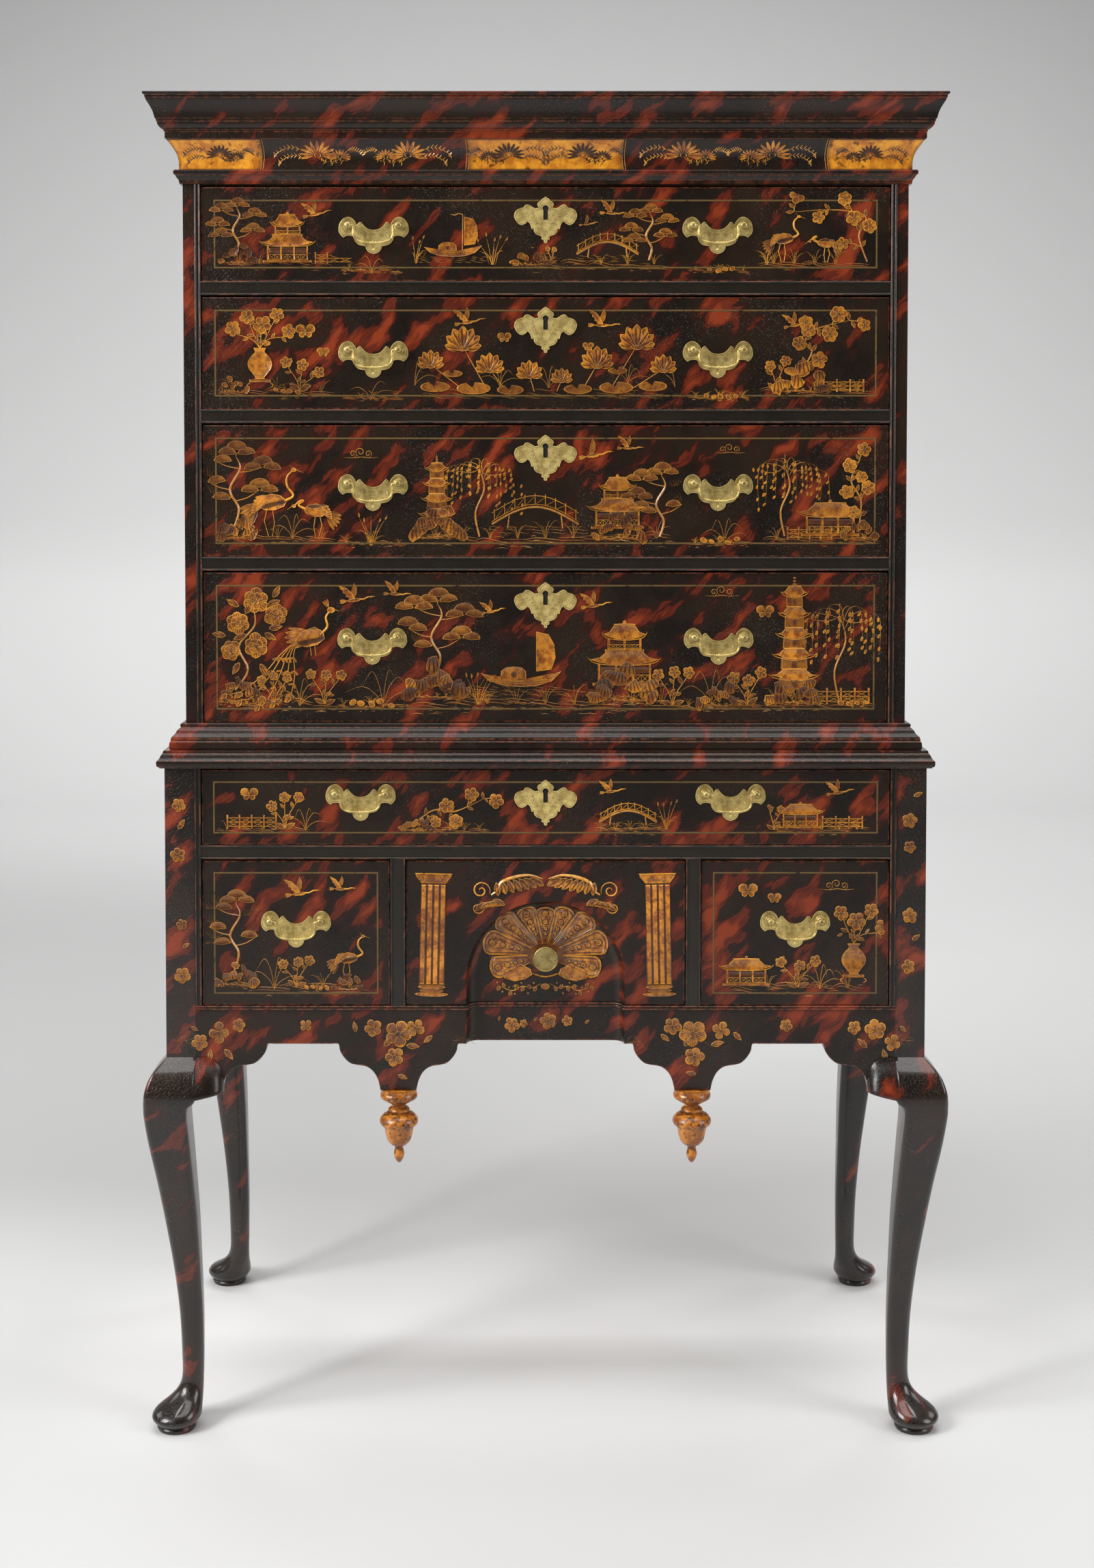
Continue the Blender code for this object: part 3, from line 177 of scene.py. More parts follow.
PLATE_SHARES = (
    (0.00, -0.100), (0.16, -0.070), (0.27, 0.010), (0.335, 0.084), (0.375, 0.116), (0.44, 0.084),
    (0.475, 0.020), (0.52, 0.120), (0.63, 0.226), (0.755, 0.250), (0.88, 0.196), (0.965, 0.090),
    (1.00, -0.030), (0.995, -0.160), (0.92, -0.270), (0.86, -0.310), (0.80, -0.272), (0.69, -0.258),
    (0.60, -0.275), (0.565, -0.310), (0.54, -0.400), (0.44, -0.500), (0.262, -0.540), (0.235, -0.550),
    (0.205, -0.640), (0.12, -0.720), (0.00, -0.757),
)
PLATE_CORNERS = (6, 15, 19, 22)
ESCUTCHEON_SHARES = (
    (0.00, 0.402), (0.135, 0.340), (0.145, 0.311), (0.235, 0.282), (0.262, 0.225), (0.21, 0.170),
    (0.33, 0.152), (0.412, 0.181), (0.545, 0.232), (0.645, 0.225), (0.70, 0.170), (0.81, 0.155),
    (0.945, 0.102), (1.00, 0.000), (0.945, -0.113), (0.845, -0.187), (0.745, -0.206), (0.63, -0.170),
    (0.58, -0.130), (0.513, -0.163), (0.47, -0.225), (0.445, -0.289), (0.37, -0.282), (0.37, -0.340),
    (0.295, -0.406), (0.16, -0.441), (0.112, -0.452), (0.129, -0.508), (0.055, -0.532), (0.055, -0.576),
    (0.00, -0.598),
)
ESCUTCHEON_CORNERS = (2, 5, 10, 18, 22, 26)
ESCUTCHEON_WIDTH, ESCUTCHEON_HEIGHT = 0.0854, 0.0630
BAIL_SHARES = (
    (1.00, 0.00), (1.00, 0.16), (1.01, 0.36), (1.00, 0.56), (0.93, 0.74), (0.80, 0.86), (0.62, 0.93),
    (0.42, 0.975), (0.22, 0.995), (0.00, 1.00),
)
KNEE_BLOCK_SHARES = (
    (0.00, 1.00, 1.00), (0.30, 0.97, 0.97), (0.60, 0.86, 0.88), (0.80, 0.70, 0.74),
    (0.92, 0.52, 0.56), (1.00, 0.28, 0.28),
)
KNEE_SECTION_SHARES = ((0.60, 0.00), (0.92, 0.03), (0.99, 0.10), (0.90, 0.25), (0.60, 0.586), (0.21, 0.856),
                       (0.05, 1.0))

FACING_FRONT = Matrix.Rotation(pi / 2, 4, "X")

rng = random.Random(7)
vary = rng.uniform


# Shader nodes


def node(tree, kind, values=None, **settings):
    """Adds a node; values go to its inputs by name or number, as links where they are sockets."""
    made = tree.nodes.new(kind)
    for key, value in settings.items():
        setattr(made, key, value)
    for key, value in (values or {}).items():
        socket = made.inputs[key]
        if isinstance(value, bpy.types.NodeSocket):
            tree.links.new(value, socket)
        else:
            socket.default_value = value
    return made


def maths(tree, operation, *values):
    """The socket of a sum of sockets or numbers."""
    made = node(tree, "ShaderNodeMath", dict(enumerate(values)), operation=operation)
    return made.outputs[0]


def plus(tree, *values):
    return maths(tree, "ADD", *values)


def minus(tree, *values):
    return maths(tree, "SUBTRACT", *values)


def times(tree, *values):
    return maths(tree, "MULTIPLY", *values)


def mix(tree, factor, first, second):
    """The second colour over the first by a factor."""
    made = node(tree, "ShaderNodeMix", {0: factor, 6: first, 7: second}, data_type="RGBA")
    return made.outputs[2]


def ramp(tree, value, low, high):
    """Zero below low, one above high, smooth between."""
    made = node(tree, "ShaderNodeMapRange", {0: value, 1: low, 2: high}, interpolation_type="SMOOTHSTEP")
    return made.outputs[0]


def graded(tree, value, first, second, low=0.0, high=1.0):
    """Goes evenly from the first value at low to the second at high."""
    return node(tree, "ShaderNodeMapRange", {0: value, 1: low, 2: high, 3: first, 4: second}).outputs[0]


def noise(tree, vector, scale, detail=3.0, rough=0.55):
    values = {"Vector": vector, "Scale": scale, "Detail": detail, "Roughness": rough}
    return node(tree, "ShaderNodeTexNoise", values).outputs[0]


def combine(tree, x, y, z):
    return node(tree, "ShaderNodeCombineXYZ", {0: x, 1: y, 2: z}).outputs[0]


def split(tree, vector):
    return node(tree, "ShaderNodeSeparateXYZ", {0: vector}).outputs


def vector_maths(tree, operation, values):
    return node(tree, "ShaderNodeVectorMath", values, operation=operation).outputs[0]


def stretch(tree, place, scale):
    return node(tree, "ShaderNodeMapping", {0: place, 3: scale}).outputs[0]


def attribute(tree, name, output="Fac"):
    return node(tree, "ShaderNodeAttribute", attribute_name=name).outputs[output]


def bump(tree, height, distance, strength=1.0, normal=None):
    values = {"Height": height, "Distance": distance, "Strength": strength}
    if normal is not None:
        values["Normal"] = normal
    return node(tree, "ShaderNodeBump", values).outputs[0]


def colour(red, green, blue):
    return (red, green, blue, 1.0)


def principled(name, **constants):
    """A material with its tree, its shader and the place in object coordinates."""
    made = bpy.data.materials.new(name)
    made.use_nodes = True
    tree = made.node_tree
    shader = tree.nodes["Principled BSDF"]
    for key, value in constants.items():
        shader.inputs[key.replace("_", " ").title().replace("Ior", "IOR")].default_value = value
    place = node(tree, "ShaderNodeTexCoord").outputs["Object"]
    return made, tree, shader, place


def set_inputs(tree, shader, **values):
    """Links sockets to the shader's inputs, which are named as in base_color."""
    for key, value in values.items():
        tree.links.new(value, shader.inputs[key.replace("_", " ").title()])


# Materials


def japan_colour(tree, place, wear, cover, bare_below=0.0):
    """Near-black varnish under slanting red dabs, sparser below a height; cover shifts their share."""
    bends = node(tree, "ShaderNodeTexNoise", {"Vector": place, "Scale": 30.0, "Detail": 3.0}).outputs[1]
    centred = vector_maths(tree, "SUBTRACT", {0: bends, 1: (0.5, 0.5, 0.5)})
    shift = vector_maths(tree, "SCALE", {0: centred, 3: 0.019})
    x, y, z = split(tree, vector_maths(tree, "ADD", {0: place, 1: shift}))
    flat = plus(tree, x, y)
    slope = radians(46)
    along = plus(tree, times(tree, flat, cos(slope)), times(tree, z, sin(slope)))
    across = minus(tree, times(tree, z, cos(slope)), times(tree, flat, sin(slope)))
    depth = times(tree, minus(tree, x, y), 9.0)
    broad = combine(tree, times(tree, along, 14.0), times(tree, across, 36.0), depth)
    fine = combine(tree, times(tree, along, 40.0), times(tree, across, 420.0), depth)
    dabs = noise(tree, broad, 1.0, 2.0, 0.45)
    hairs = noise(tree, fine, 1.0, 2.0)
    drift = noise(tree, place, 5.0, 2.0)
    value = plus(tree, dabs, times(tree, drift, 0.30))
    value = plus(tree, value, times(tree, hairs, 0.07))
    value = plus(tree, value, cover - 0.176)
    if bare_below:
        value = minus(tree, value, times(tree, ramp(tree, z, bare_below + 0.03, bare_below - 0.03), 0.080))
    black = mix(tree, ramp(tree, noise(tree, place, 9.0, 4.0), 0.38, 0.62),
                colour(0.0086, 0.0052, 0.0034), colour(0.0185, 0.0100, 0.0052))
    stained = mix(tree, ramp(tree, value, 0.47, 0.62), black, colour(0.028, 0.0062, 0.0036))
    red = mix(tree, ramp(tree, hairs, 0.3, 0.7), colour(0.064, 0.0098, 0.0042),
              colour(0.126, 0.0175, 0.0060))
    hot = mix(tree, ramp(tree, value, 0.625, 0.73), red, colour(0.225, 0.0330, 0.0090))
    painted = mix(tree, ramp(tree, value, 0.568, 0.600), stained, hot)
    # Pale grey specks, scattered in patches.
    pale_specks = ramp(tree, noise(tree, place, 760.0, 1.0), 0.665, 0.72)
    where = ramp(tree, noise(tree, place, 8.0, 2.0), 0.42, 0.66)
    speckled = mix(tree, times(tree, pale_specks, where), painted, colour(0.135, 0.115, 0.100))
    scuff = ramp(tree, noise(tree, place, 150.0, 5.0), 0.40, 0.60)
    edge = mix(tree, noise(tree, place, 90.0, 4.0), colour(0.130, 0.024, 0.009), colour(0.34, 0.105, 0.040))
    return mix(tree, times(tree, wear, scuff), speckled, edge)


def japan_surface(tree, shader, place, base, crazed=0.3):
    """Uneven varnish gloss over brush grain and a net of fine cracks."""
    rough = graded(tree, noise(tree, place, 45.0, 5.0), 0.20, 0.40)
    set_inputs(tree, shader, base_color=base, roughness=rough)
    grain = bump(tree, noise(tree, place, 420.0, 4.0, 0.65), 0.0004, 0.5)
    values = {"Vector": place, "Scale": 210.0}
    cracks = node(tree, "ShaderNodeTexVoronoi", values, feature="DISTANCE_TO_EDGE").outputs[0]
    set_inputs(tree, shader, normal=bump(tree, ramp(tree, cracks, 0.0, 0.06), 0.00025, crazed, grain))


def japanned(name, cover=0.0, bare_behind=None, bare_below=0.0, gloss=0.16, crazed=0.3):
    """Japanning; where bare_behind is given, the wood behind that depth is bare pine."""
    constants = {"coat_weight": gloss, "coat_roughness": 0.12, "specular_ior_level": 0.34}
    made, tree, shader, place = principled(name, **constants)
    wear = attribute(tree, "wear")
    base = japan_colour(tree, place, wear, cover, bare_below)
    if bare_behind is not None:
        y = split(tree, place)[1]
        base = mix(tree, ramp(tree, y, bare_behind, bare_behind + 0.0006), base,
                   pine_colour(tree, place, "X"))
    japan_surface(tree, shader, place, base, crazed)
    return made


def dark_japan(name):
    """The olive-black of the rails between the drawers, rubbed to red and orange on their beads."""
    made, tree, shader, place = principled(name, coat_weight=0.3, coat_roughness=0.12,
                                           specular_ior_level=0.4)
    wear = attribute(tree, "wear")
    ground = mix(tree, noise(tree, place, 14.0, 4.0), colour(0.0062, 0.0044, 0.0030),
                 colour(0.0200, 0.0145, 0.0085))
    streak = ramp(tree, noise(tree, place, 26.0, 5.0, 0.7), 0.44, 0.62)
    edge = mix(tree, noise(tree, place, 120.0, 4.0), colour(0.085, 0.020, 0.009), colour(0.29, 0.100, 0.045))
    base = mix(tree, times(tree, wear, streak), ground, edge)
    japan_surface(tree, shader, place, base)
    return made


def pine_colour(tree, place, axis):
    """Aged pine with its grain along one axis."""
    grain_place = stretch(tree, place, {"X": (1.6, 26.0, 26.0), "Y": (26.0, 1.6, 26.0)}[axis])
    values = {"Vector": grain_place, "Scale": 2.2, "Distortion": 2.4, "Detail": 3.0, "Detail Scale": 1.2}
    rings = node(tree, "ShaderNodeTexWave", values, wave_type="RINGS").outputs[1]
    fibre = noise(tree, grain_place, 9.0, 6.0, 0.7)
    wood = mix(tree, rings, colour(0.33, 0.185, 0.085), colour(0.21, 0.105, 0.045))
    fine = mix(tree, ramp(tree, fibre, 0.35, 0.75), wood, colour(0.42, 0.27, 0.14))
    grime = ramp(tree, noise(tree, place, 5.0, 5.0), 0.45, 0.75)
    return mix(tree, times(tree, grime, 0.55), fine, colour(0.10, 0.055, 0.028))


def pine(name, axis):
    """Bare pine, matt and finely grooved along its grain."""
    made, tree, shader, place = principled(name, specular_ior_level=0.25)
    base = pine_colour(tree, place, axis)
    rough = graded(tree, noise(tree, place, 60.0, 4.0), 0.62, 0.88)
    set_inputs(tree, shader, base_color=base, roughness=rough)
    fibres = stretch(tree, place, {"X": (6.0, 260.0, 260.0), "Y": (260.0, 6.0, 260.0)}[axis])
    set_inputs(tree, shader, normal=bump(tree, noise(tree, fibres, 1.0, 5.0, 0.7), 0.0005, 0.4))
    return made


def gilding(name):
    """Raised gesso under gold size: a painted highlight on each raised rim, a dark line at each foot that is
    partly drawn outline and partly painted shadow, an amber field and fine brown hatching.
    """
    made, tree, shader, place = principled(name, metallic=0.1, coat_weight=0.6, coat_roughness=0.1)
    tone = attribute(tree, "tone")
    gilt = attribute(tree, "gilt")
    local = split(tree, attribute(tree, "local", "Vector"))
    worn = graded(tree, noise(tree, place, 13.0, 4.0), 0.50, 1.10, 0.35, 0.65)
    bright = times(tree, gilt, worn)
    # Crest: the bright gold of the lines, and a painted highlight on each dab's rim.
    crest = mix(tree, bright, colour(0.120, 0.026, 0.006), colour(0.92, 0.420, 0.040))
    patchy = ramp(tree, noise(tree, place, 85.0, 4.0, 0.65), 0.38, 0.60)
    amber = mix(tree, patchy, colour(0.300, 0.080, 0.008), colour(0.74, 0.275, 0.019))
    field = mix(tree, bright, colour(0.045, 0.010, 0.004), amber)
    brown = mix(tree, bright, colour(0.014, 0.004, 0.0025), colour(0.095, 0.021, 0.005))
    # Dark: drawn ink for lines and hatching, and painted shadow round the foot of each raised dab.
    dark = mix(tree, bright, colour(0.006, 0.003, 0.0024), colour(0.026, 0.0075, 0.0032))
    hatched = ramp(tree, local[2], 0.5, 1.0)
    from_root = maths(tree, "MAXIMUM", ramp(tree, local[0], 0.02, 0.62), minus(tree, 1.0, hatched))
    inside = mix(tree, from_root, brown, field)
    # A dab's rim band takes the crest colour as a painted highlight; lines take it all over.
    filled = times(tree, ramp(tree, tone, 0.48, 0.82), ramp(tree, local[2], -0.9, -0.1))
    surface = mix(tree, filled, crest, inside)
    # Near tone 0, at the foot of dabs and lines, dark goes in: partly drawn outline, partly painted shadow.
    shaded = mix(tree, ramp(tree, tone, 0.0, 0.34), dark, surface)
    fan = maths(tree, "DIVIDE", local[1], plus(tree, local[0], 0.35))
    wave = maths(tree, "SINE", times(tree, fan, local[2]))
    fading = minus(tree, 1.0, ramp(tree, local[0], 0.70, 1.0))
    lines = times(tree, times(tree, ramp(tree, wave, 0.20, 0.75), fading), hatched)
    drawn = times(tree, lines, ramp(tree, tone, 0.38, 0.60))
    lined = mix(tree, times(tree, drawn, 0.88), shaded, dark)
    rubbed = ramp(tree, noise(tree, place, 190.0, 4.0), 0.55, 0.70)
    base = mix(tree, times(tree, rubbed, 0.65), lined, brown)
    rough = graded(tree, noise(tree, place, 260.0, 3.0), 0.26, 0.50)
    set_inputs(tree, shader, base_color=base, roughness=rough)
    set_inputs(tree, shader, normal=bump(tree, noise(tree, place, 700.0, 3.0), 0.0003, 0.4))
    return made


def flat_paint(name, first, second, scale, broken, rough, **constants):
    """Thin paint that lets the dark ground through where it is rubbed; broken is how much of it is."""
    made, tree, shader, place = principled(name, roughness=rough, **constants)
    shade = mix(tree, noise(tree, place, scale, 4.0), colour(*first), colour(*second))
    rubbed = ramp(tree, noise(tree, place, scale * 2.3, 5.0), 0.66 - broken * 0.35, 0.80 - broken * 0.35)
    set_inputs(tree, shader, base_color=mix(tree, rubbed, shade, colour(0.014, 0.0085, 0.0055)))
    set_inputs(tree, shader, normal=bump(tree, noise(tree, place, 640.0, 3.0), 0.0003, 0.3))
    return made


def gold_leaf(name, deep, light, blotched):
    """Amber gilding, mottled and rubbed to brown; blotched is how much of it is."""
    made, tree, shader, place = principled(name, metallic=0.12, coat_weight=0.28, coat_roughness=0.12)
    mottle = noise(tree, place, 48.0, 6.0, 0.65)
    amber = mix(tree, ramp(tree, mottle, 0.36, 0.64), colour(*deep), colour(*light))
    blotch = ramp(tree, noise(tree, place, 105.0, 5.0, 0.65), 0.66 - blotched * 0.22, 0.76 - blotched * 0.22)
    spotted = mix(tree, times(tree, blotch, 0.85), amber, colour(0.060, 0.014, 0.005))
    wear = attribute(tree, "wear")
    base = mix(tree, times(tree, wear, 0.8), spotted, colour(0.045, 0.012, 0.005))
    rough = graded(tree, mottle, 0.22, 0.46)
    set_inputs(tree, shader, base_color=base, roughness=rough)
    set_inputs(tree, shader, normal=bump(tree, noise(tree, place, 300.0, 4.0), 0.0005, 0.4))
    return made


def brass(name, dark=0.0, smooth=0.0, light=1.0):
    """Old brass, unevenly tarnished; dark deepens it, smooth polishes it and light brightens it."""
    made, tree, shader, place = principled(name, metallic=0.8)
    tarnish = ramp(tree, noise(tree, place, 75.0, 5.0, 0.6), 0.36, 0.66)
    clean = mix(tree, tarnish, colour(0.82 * light, 0.636 * light, 0.240 * light),
                colour(0.48 * light, 0.345 * light, 0.112 * light))
    spots = ramp(tree, noise(tree, place, 330.0, 3.0), 0.62, 0.74)
    spotted = mix(tree, times(tree, spots, 0.6), clean, colour(0.16, 0.105, 0.040))
    base = mix(tree, dark, spotted, colour(0.060, 0.040, 0.016))
    rough = graded(tree, noise(tree, place, 190.0, 4.0), 0.34 - smooth, 0.52 - smooth)
    set_inputs(tree, shader, base_color=base, roughness=rough)
    scratches = stretch(tree, place, (1.0, 1.0, 5.0))
    set_inputs(tree, shader, normal=bump(tree, noise(tree, scratches, 380.0, 5.0, 0.7), 0.00025, 0.35))
    return made


def plain(name, low, high, rough):
    """A matt surface clouded between two greys."""
    made, tree, shader, place = principled(name, roughness=rough)
    cloud = noise(tree, place, 60.0, 2.0)
    set_inputs(tree, shader, base_color=mix(tree, cloud, colour(low, low, low), colour(high, high, high)))
    return made


def studio_paper():
    """Matt paper with painted light and shade: a painted pool of light under the chest that lightens its
    cast shadow, painted shade behind it to the left and at the front left, and painted shade growing up the
    wall.
    """
    made, tree, shader, place = principled("studio_paper", roughness=0.9)
    x, y, z = split(tree, place)
    # Painted shade: darker up the wall, and the floor a little darker than the foot of the wall.
    tone = graded(tree, z, 0.0, -0.375, 0.8, 3.4)
    tone = plus(tree, tone, times(tree, ramp(tree, z, 0.0, 0.8), 0.060))
    # Painted shade on the floor behind the chest, deeper to the left.
    left = graded(tree, x, 0.200, 0.060, -0.4, 0.9)
    behind = times(tree, ramp(tree, y, 0.05, 0.75), ramp(tree, y, 4.6, 2.4))
    tone = minus(tree, tone, times(tree, behind, left))
    # A painted pool of light under the chest, lightening its cast shadow.
    under = times(tree, ramp(tree, maths(tree, "ABSOLUTE", y), 0.42, 0.05),
                  ramp(tree, maths(tree, "ABSOLUTE", x), 0.80, 0.45))
    tone = plus(tree, tone, times(tree, under, 0.130))
    # Painted shade on the floor at the front left.
    near = times(tree, ramp(tree, x, -0.2, -1.0), ramp(tree, y, 0.5, 0.0))
    tone = minus(tree, tone, times(tree, near, 0.080))
    tone = plus(tree, tone, times(tree, noise(tree, place, 1.5, 2.0), -0.012))
    tone = plus(tree, tone, 0.592)
    set_inputs(tree, shader, base_color=combine(tree, tone, tone, tone))
    return made


JAPAN = japanned("japanned_wood")
MOULDED = japanned("japanned_moulding", -0.008)
LEGS = japanned("japanned_leg", 0.040, None, LEG_HEIGHT, 0.6, 0.55)
RAILS = dark_japan("japanned_rail")
GOLD = gilding("raised_gold")
LEAF_GOLD = gold_leaf("gold_leaf", (0.50, 0.155, 0.010), (0.88, 0.370, 0.024), 0.45)
PENDANT_GOLD = gold_leaf("pendant_gold", (0.26, 0.070, 0.010), (0.72, 0.270, 0.030), 0.8)
OLIVE = flat_paint("gold_line", (0.085, 0.052, 0.016), (0.165, 0.098, 0.026), 40.0, 0.25, 0.42)
INK = flat_paint("brown_line", (0.020, 0.007, 0.004), (0.050, 0.016, 0.006), 90.0, 0.0, 0.45)
IRON = flat_paint("iron", (0.045, 0.035, 0.028), (0.09, 0.055, 0.035), 300.0, 0.2, 0.6, metallic=0.7)
BRASS = brass("brass")
BRASS_WIRE = brass("bail_brass", 0.0, 0.10)
BRASS_POST = brass("post_brass", 0.40)
BRASS_KEY = brass("escutcheon_brass", 0.0, 0.0, 1.25)
BRASS_KNOB = brass("knob_brass", 0.45, 0.04)
BRASS_LINE = brass("engraved_brass", 0.85)
PINE_X = pine("pine_across", "X")
PINE_Y = pine("pine_deep", "Y")
# Near-black matt stand-in for the keyhole's hollow: painted shade.
KEYHOLE_SHADE = plain("keyhole_painted_shade", 0.003, 0.004, 0.9)
JAPAN_FRONT = japanned("japanned_front", 0.004, LOWER_FRONT + JAPAN_DEPTH)
JAPAN_UPPER = japanned("japanned_upper_front", -0.004, UPPER_FRONT + JAPAN_DEPTH)
RAIL_FRONT = japanned("japanned_rail_front", -0.3, LOWER_FRONT + JAPAN_DEPTH)
RAIL_UPPER = japanned("japanned_rail_upper", -0.3, UPPER_FRONT + JAPAN_DEPTH)
JAPAN_SIDE = japanned("japanned_side", -0.02)


# Shapes


def spline(points, steps, corners=()):
    """A smooth curve through the points; it turns sharply at the listed ones."""
    runs, start = [], 0
    for corner in list(corners) + [len(points) - 1]:
        runs.append(points[start:corner + 1])
        start = corner
    curve = [tuple(points[0])]
    for run in runs:
        for index in range(len(run) - 1):
            a = run[max(index - 1, 0)]
            b, c = run[index], run[index + 1]
            d = run[min(index + 2, len(run) - 1)]
            for step in range(1, steps + 1):
                t = step / steps
                curve.append(tuple(
                    q + t * ((r - p) / 2 + t *
                             (p - 2.5 * q + 2 * r - s / 2 + t * (1.5 * (q - r) + (s - p) / 2)))
                    for p, q, r, s in zip(a, b, c, d)
                ))
    return curve


def mirrored(half):
    """A closed outline from its right half."""
    return list(half) + [(-x, z) for x, z in reversed(half[1:-1])]


def arc(centre, radius, start, end, steps):
    """Points along an arc, in degrees."""
    angles = [radians(start + (end - start) * step / steps) for step in range(steps + 1)]
    return [(centre[0] + radius * cos(a), centre[1] + radius * sin(a)) for a in angles]


def turns(count):
    """The angles of points spread evenly round a circle."""
    return [2 * pi * step / count for step in range(count)]


def steps_between(start, end, count):
    return [start + (end - start) * step / count for step in range(count + 1)]


def bridge_rows(bm, rows):
    """Faces between closed rows of vertices."""
    for row, following in zip(rows, rows[1:]):
        for index in range(len(row)):
            after = (index + 1) % len(row)
            bm.faces.new((row[index], row[after], following[after], following[index]))


def add_loft(bm, rings, wear=None):
    """A closed skin over rings of points; wear gives each point of a ring its share of wear."""
    layer = bm.verts.layers.float.get("wear")
    rows = []
    for ring in rings:
        row = [bm.verts.new(point) for point in ring]
        rows.append(row)
        if wear and layer:
            for vertex, share in zip(row, wear):
                vertex[layer] = share
    bridge_rows(bm, rows)
    for row in (rows[0], rows[-1]):
        cap = bm.faces.new(row)
        cap.smooth = False


def add_box(bm, low, high):
    """A box between two corners."""
    size = [b - a for a, b in zip(low, high)]
    middle = [(a + b) / 2 for a, b in zip(low, high)]
    bmesh.ops.create_cube(bm, size=1.0, matrix=Matrix.Translation(middle) @ Matrix.Diagonal((*size, 1.0)))


def add_ball(bm, radius, place, squash, around=14, along=8):
    """A ball, squashed along each axis."""
    matrix = Matrix.Translation(place) @ Matrix.Diagonal((*squash, 1.0))
    bmesh.ops.create_uvsphere(bm, u_segments=around, v_segments=along, radius=radius, matrix=matrix)


def new_bm():
    """An empty mesh whose vertices hold how worn the japanning is."""
    bm = bmesh.new()
    bm.verts.layers.float.new("wear")
    return bm


def mesh_of(name, bm, angle=35, materials=()):
    """A mesh from the drawing, smooth but for edges that turn more than the angle."""
    bmesh.ops.recalc_face_normals(bm, faces=bm.faces)
    big = [face for face in bm.faces if len(face.verts) > 4]
    bmesh.ops.triangulate(bm, faces=big)
    mesh = bpy.data.meshes.new(name)
    bm.to_mesh(mesh)
    bm.free()
    mesh.shade_smooth()
    mesh.set_sharp_from_angle(angle=radians(angle))
    for material in materials:
        mesh.materials.append(material)
    return mesh


def show(name, mesh, body, slot, replaced=(), bevel=0.0, place=None):
    """Puts a piece of the looks on its body."""
    thing = bpy.data.objects.new(name, mesh)
    bpy.context.scene.collection.objects.link(thing)
    if place is not None:
        thing.location = place
    if bevel:
        rounding = thing.modifiers.new("rounding", "BEVEL")
        rounding.width = bevel
        rounding.segments = 2
        rounding.limit_method = "ANGLE"
        rounding.harden_normals = False
    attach(thing, body)
    if replaced:
        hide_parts(*replaced)
    return thing


def piece(name, bm, angle, material, slot="japanned_wood", replaced=(), body="case", **looks):
    """Makes the mesh and shows it."""
    return show(name, mesh_of(name, bm, angle, [material]), body, slot, replaced, **looks)


def cut_out(board, hole, angle):
    """The mesh that is left of a board when a closed hole is cut out of it."""
    things = []
    for mesh in (board, hole):
        thing = bpy.data.objects.new(mesh.name, mesh)
        bpy.context.scene.collection.objects.link(thing)
        things.append(thing)
    cut = things[0].modifiers.new("hole", "BOOLEAN")
    cut.operation = "DIFFERENCE"
    cut.object = things[1]
    graph = bpy.context.evaluated_depsgraph_get()
    left = bpy.data.meshes.new_from_object(things[0].evaluated_get(graph))
    left.set_sharp_from_angle(angle=radians(angle))
    for thing in things:
        bpy.data.objects.remove(thing)
    return left


def turned(name, runs, radius, height, sides, material, steps=4):
    """A turned mesh round Z from runs of shares, from its foot or top at zero."""
    bm = new_bm()
    points = []
    for run in runs:
        points += spline(run, steps)
    rings = []
    for share, along in points:
        r = max(radius * share, 0.00002)
        rings.append([(r * cos(a), r * sin(a), height * along) for a in turns(sides)])
    add_loft(bm, rings)
    return mesh_of(name, bm, 32, [material])


# Mouldings


def profile(stages, bottom):
    """Outline of stacked mouldings from the bottom up, with the wear of each point."""
    arris_wear, inner = 0.85, 0.0003
    points, wear = [], []
    for runs, proud, height in stages:
        stage = []
        for run in runs:
            fine = spline(run, 4) if len(run) > 2 else list(run)
            ends = (0, len(fine) - 1)
            stage += [(out, up, arris_wear if place in ends else 0.0)
                      for place, (out, up) in enumerate(fine)]
        for out, up, worn in reversed(stage):
            points.append((proud * out, bottom + height * up))
            wear.append(worn if out > 0.3 else worn * 0.5)
        bottom += height
    return thin_wear([(inner, points[0][1])] + points + [(inner, points[-1][1])], [0.0] + wear + [0.0])


def thin_wear(points, wear):
    """Adds points beside the worn arrises, so that the wear stays a thin line along each."""
    reach = 0.0005
    made, shares = [points[0]], [wear[0]]
    for (a, worn_a), (b, worn_b) in zip(zip(points, wear), zip(points[1:], wear[1:])):
        length = dist(a, b)
        if length > 2.4 * reach and (worn_a or worn_b):
            for share in (reach / length, 1 - reach / length):
                made.append(tuple(p + (q - p) * share for p, q in zip(a, b)))
                shares.append(0.0)
        made.append(b)
        shares.append(worn_b)
    return made, shares


def moulding(name, stages, bottom, half_width, front, replaced):
    """A moulding round three sides, mitred at the front corners."""
    points, wear = profile(stages, bottom)
    bm = new_bm()
    rings = []
    steps = 24
    back = LOWER_BACK
    for side in (-1, 0, 1):
        for share in steps_between(0.0, 1.0, steps):
            if side:
                run = share if side > 0 else 1 - share
                rings.append([(side * (half_width + out), front - out + (back - front + out) * run, z)
                              for out, z in points])
            elif 0 < share < 1:
                rings.append([((2 * share - 1) * (half_width + out), front - out, z) for out, z in points])
    add_loft(bm, rings, wear)
    piece(name, bm, 24, MOULDED, replaced=replaced)


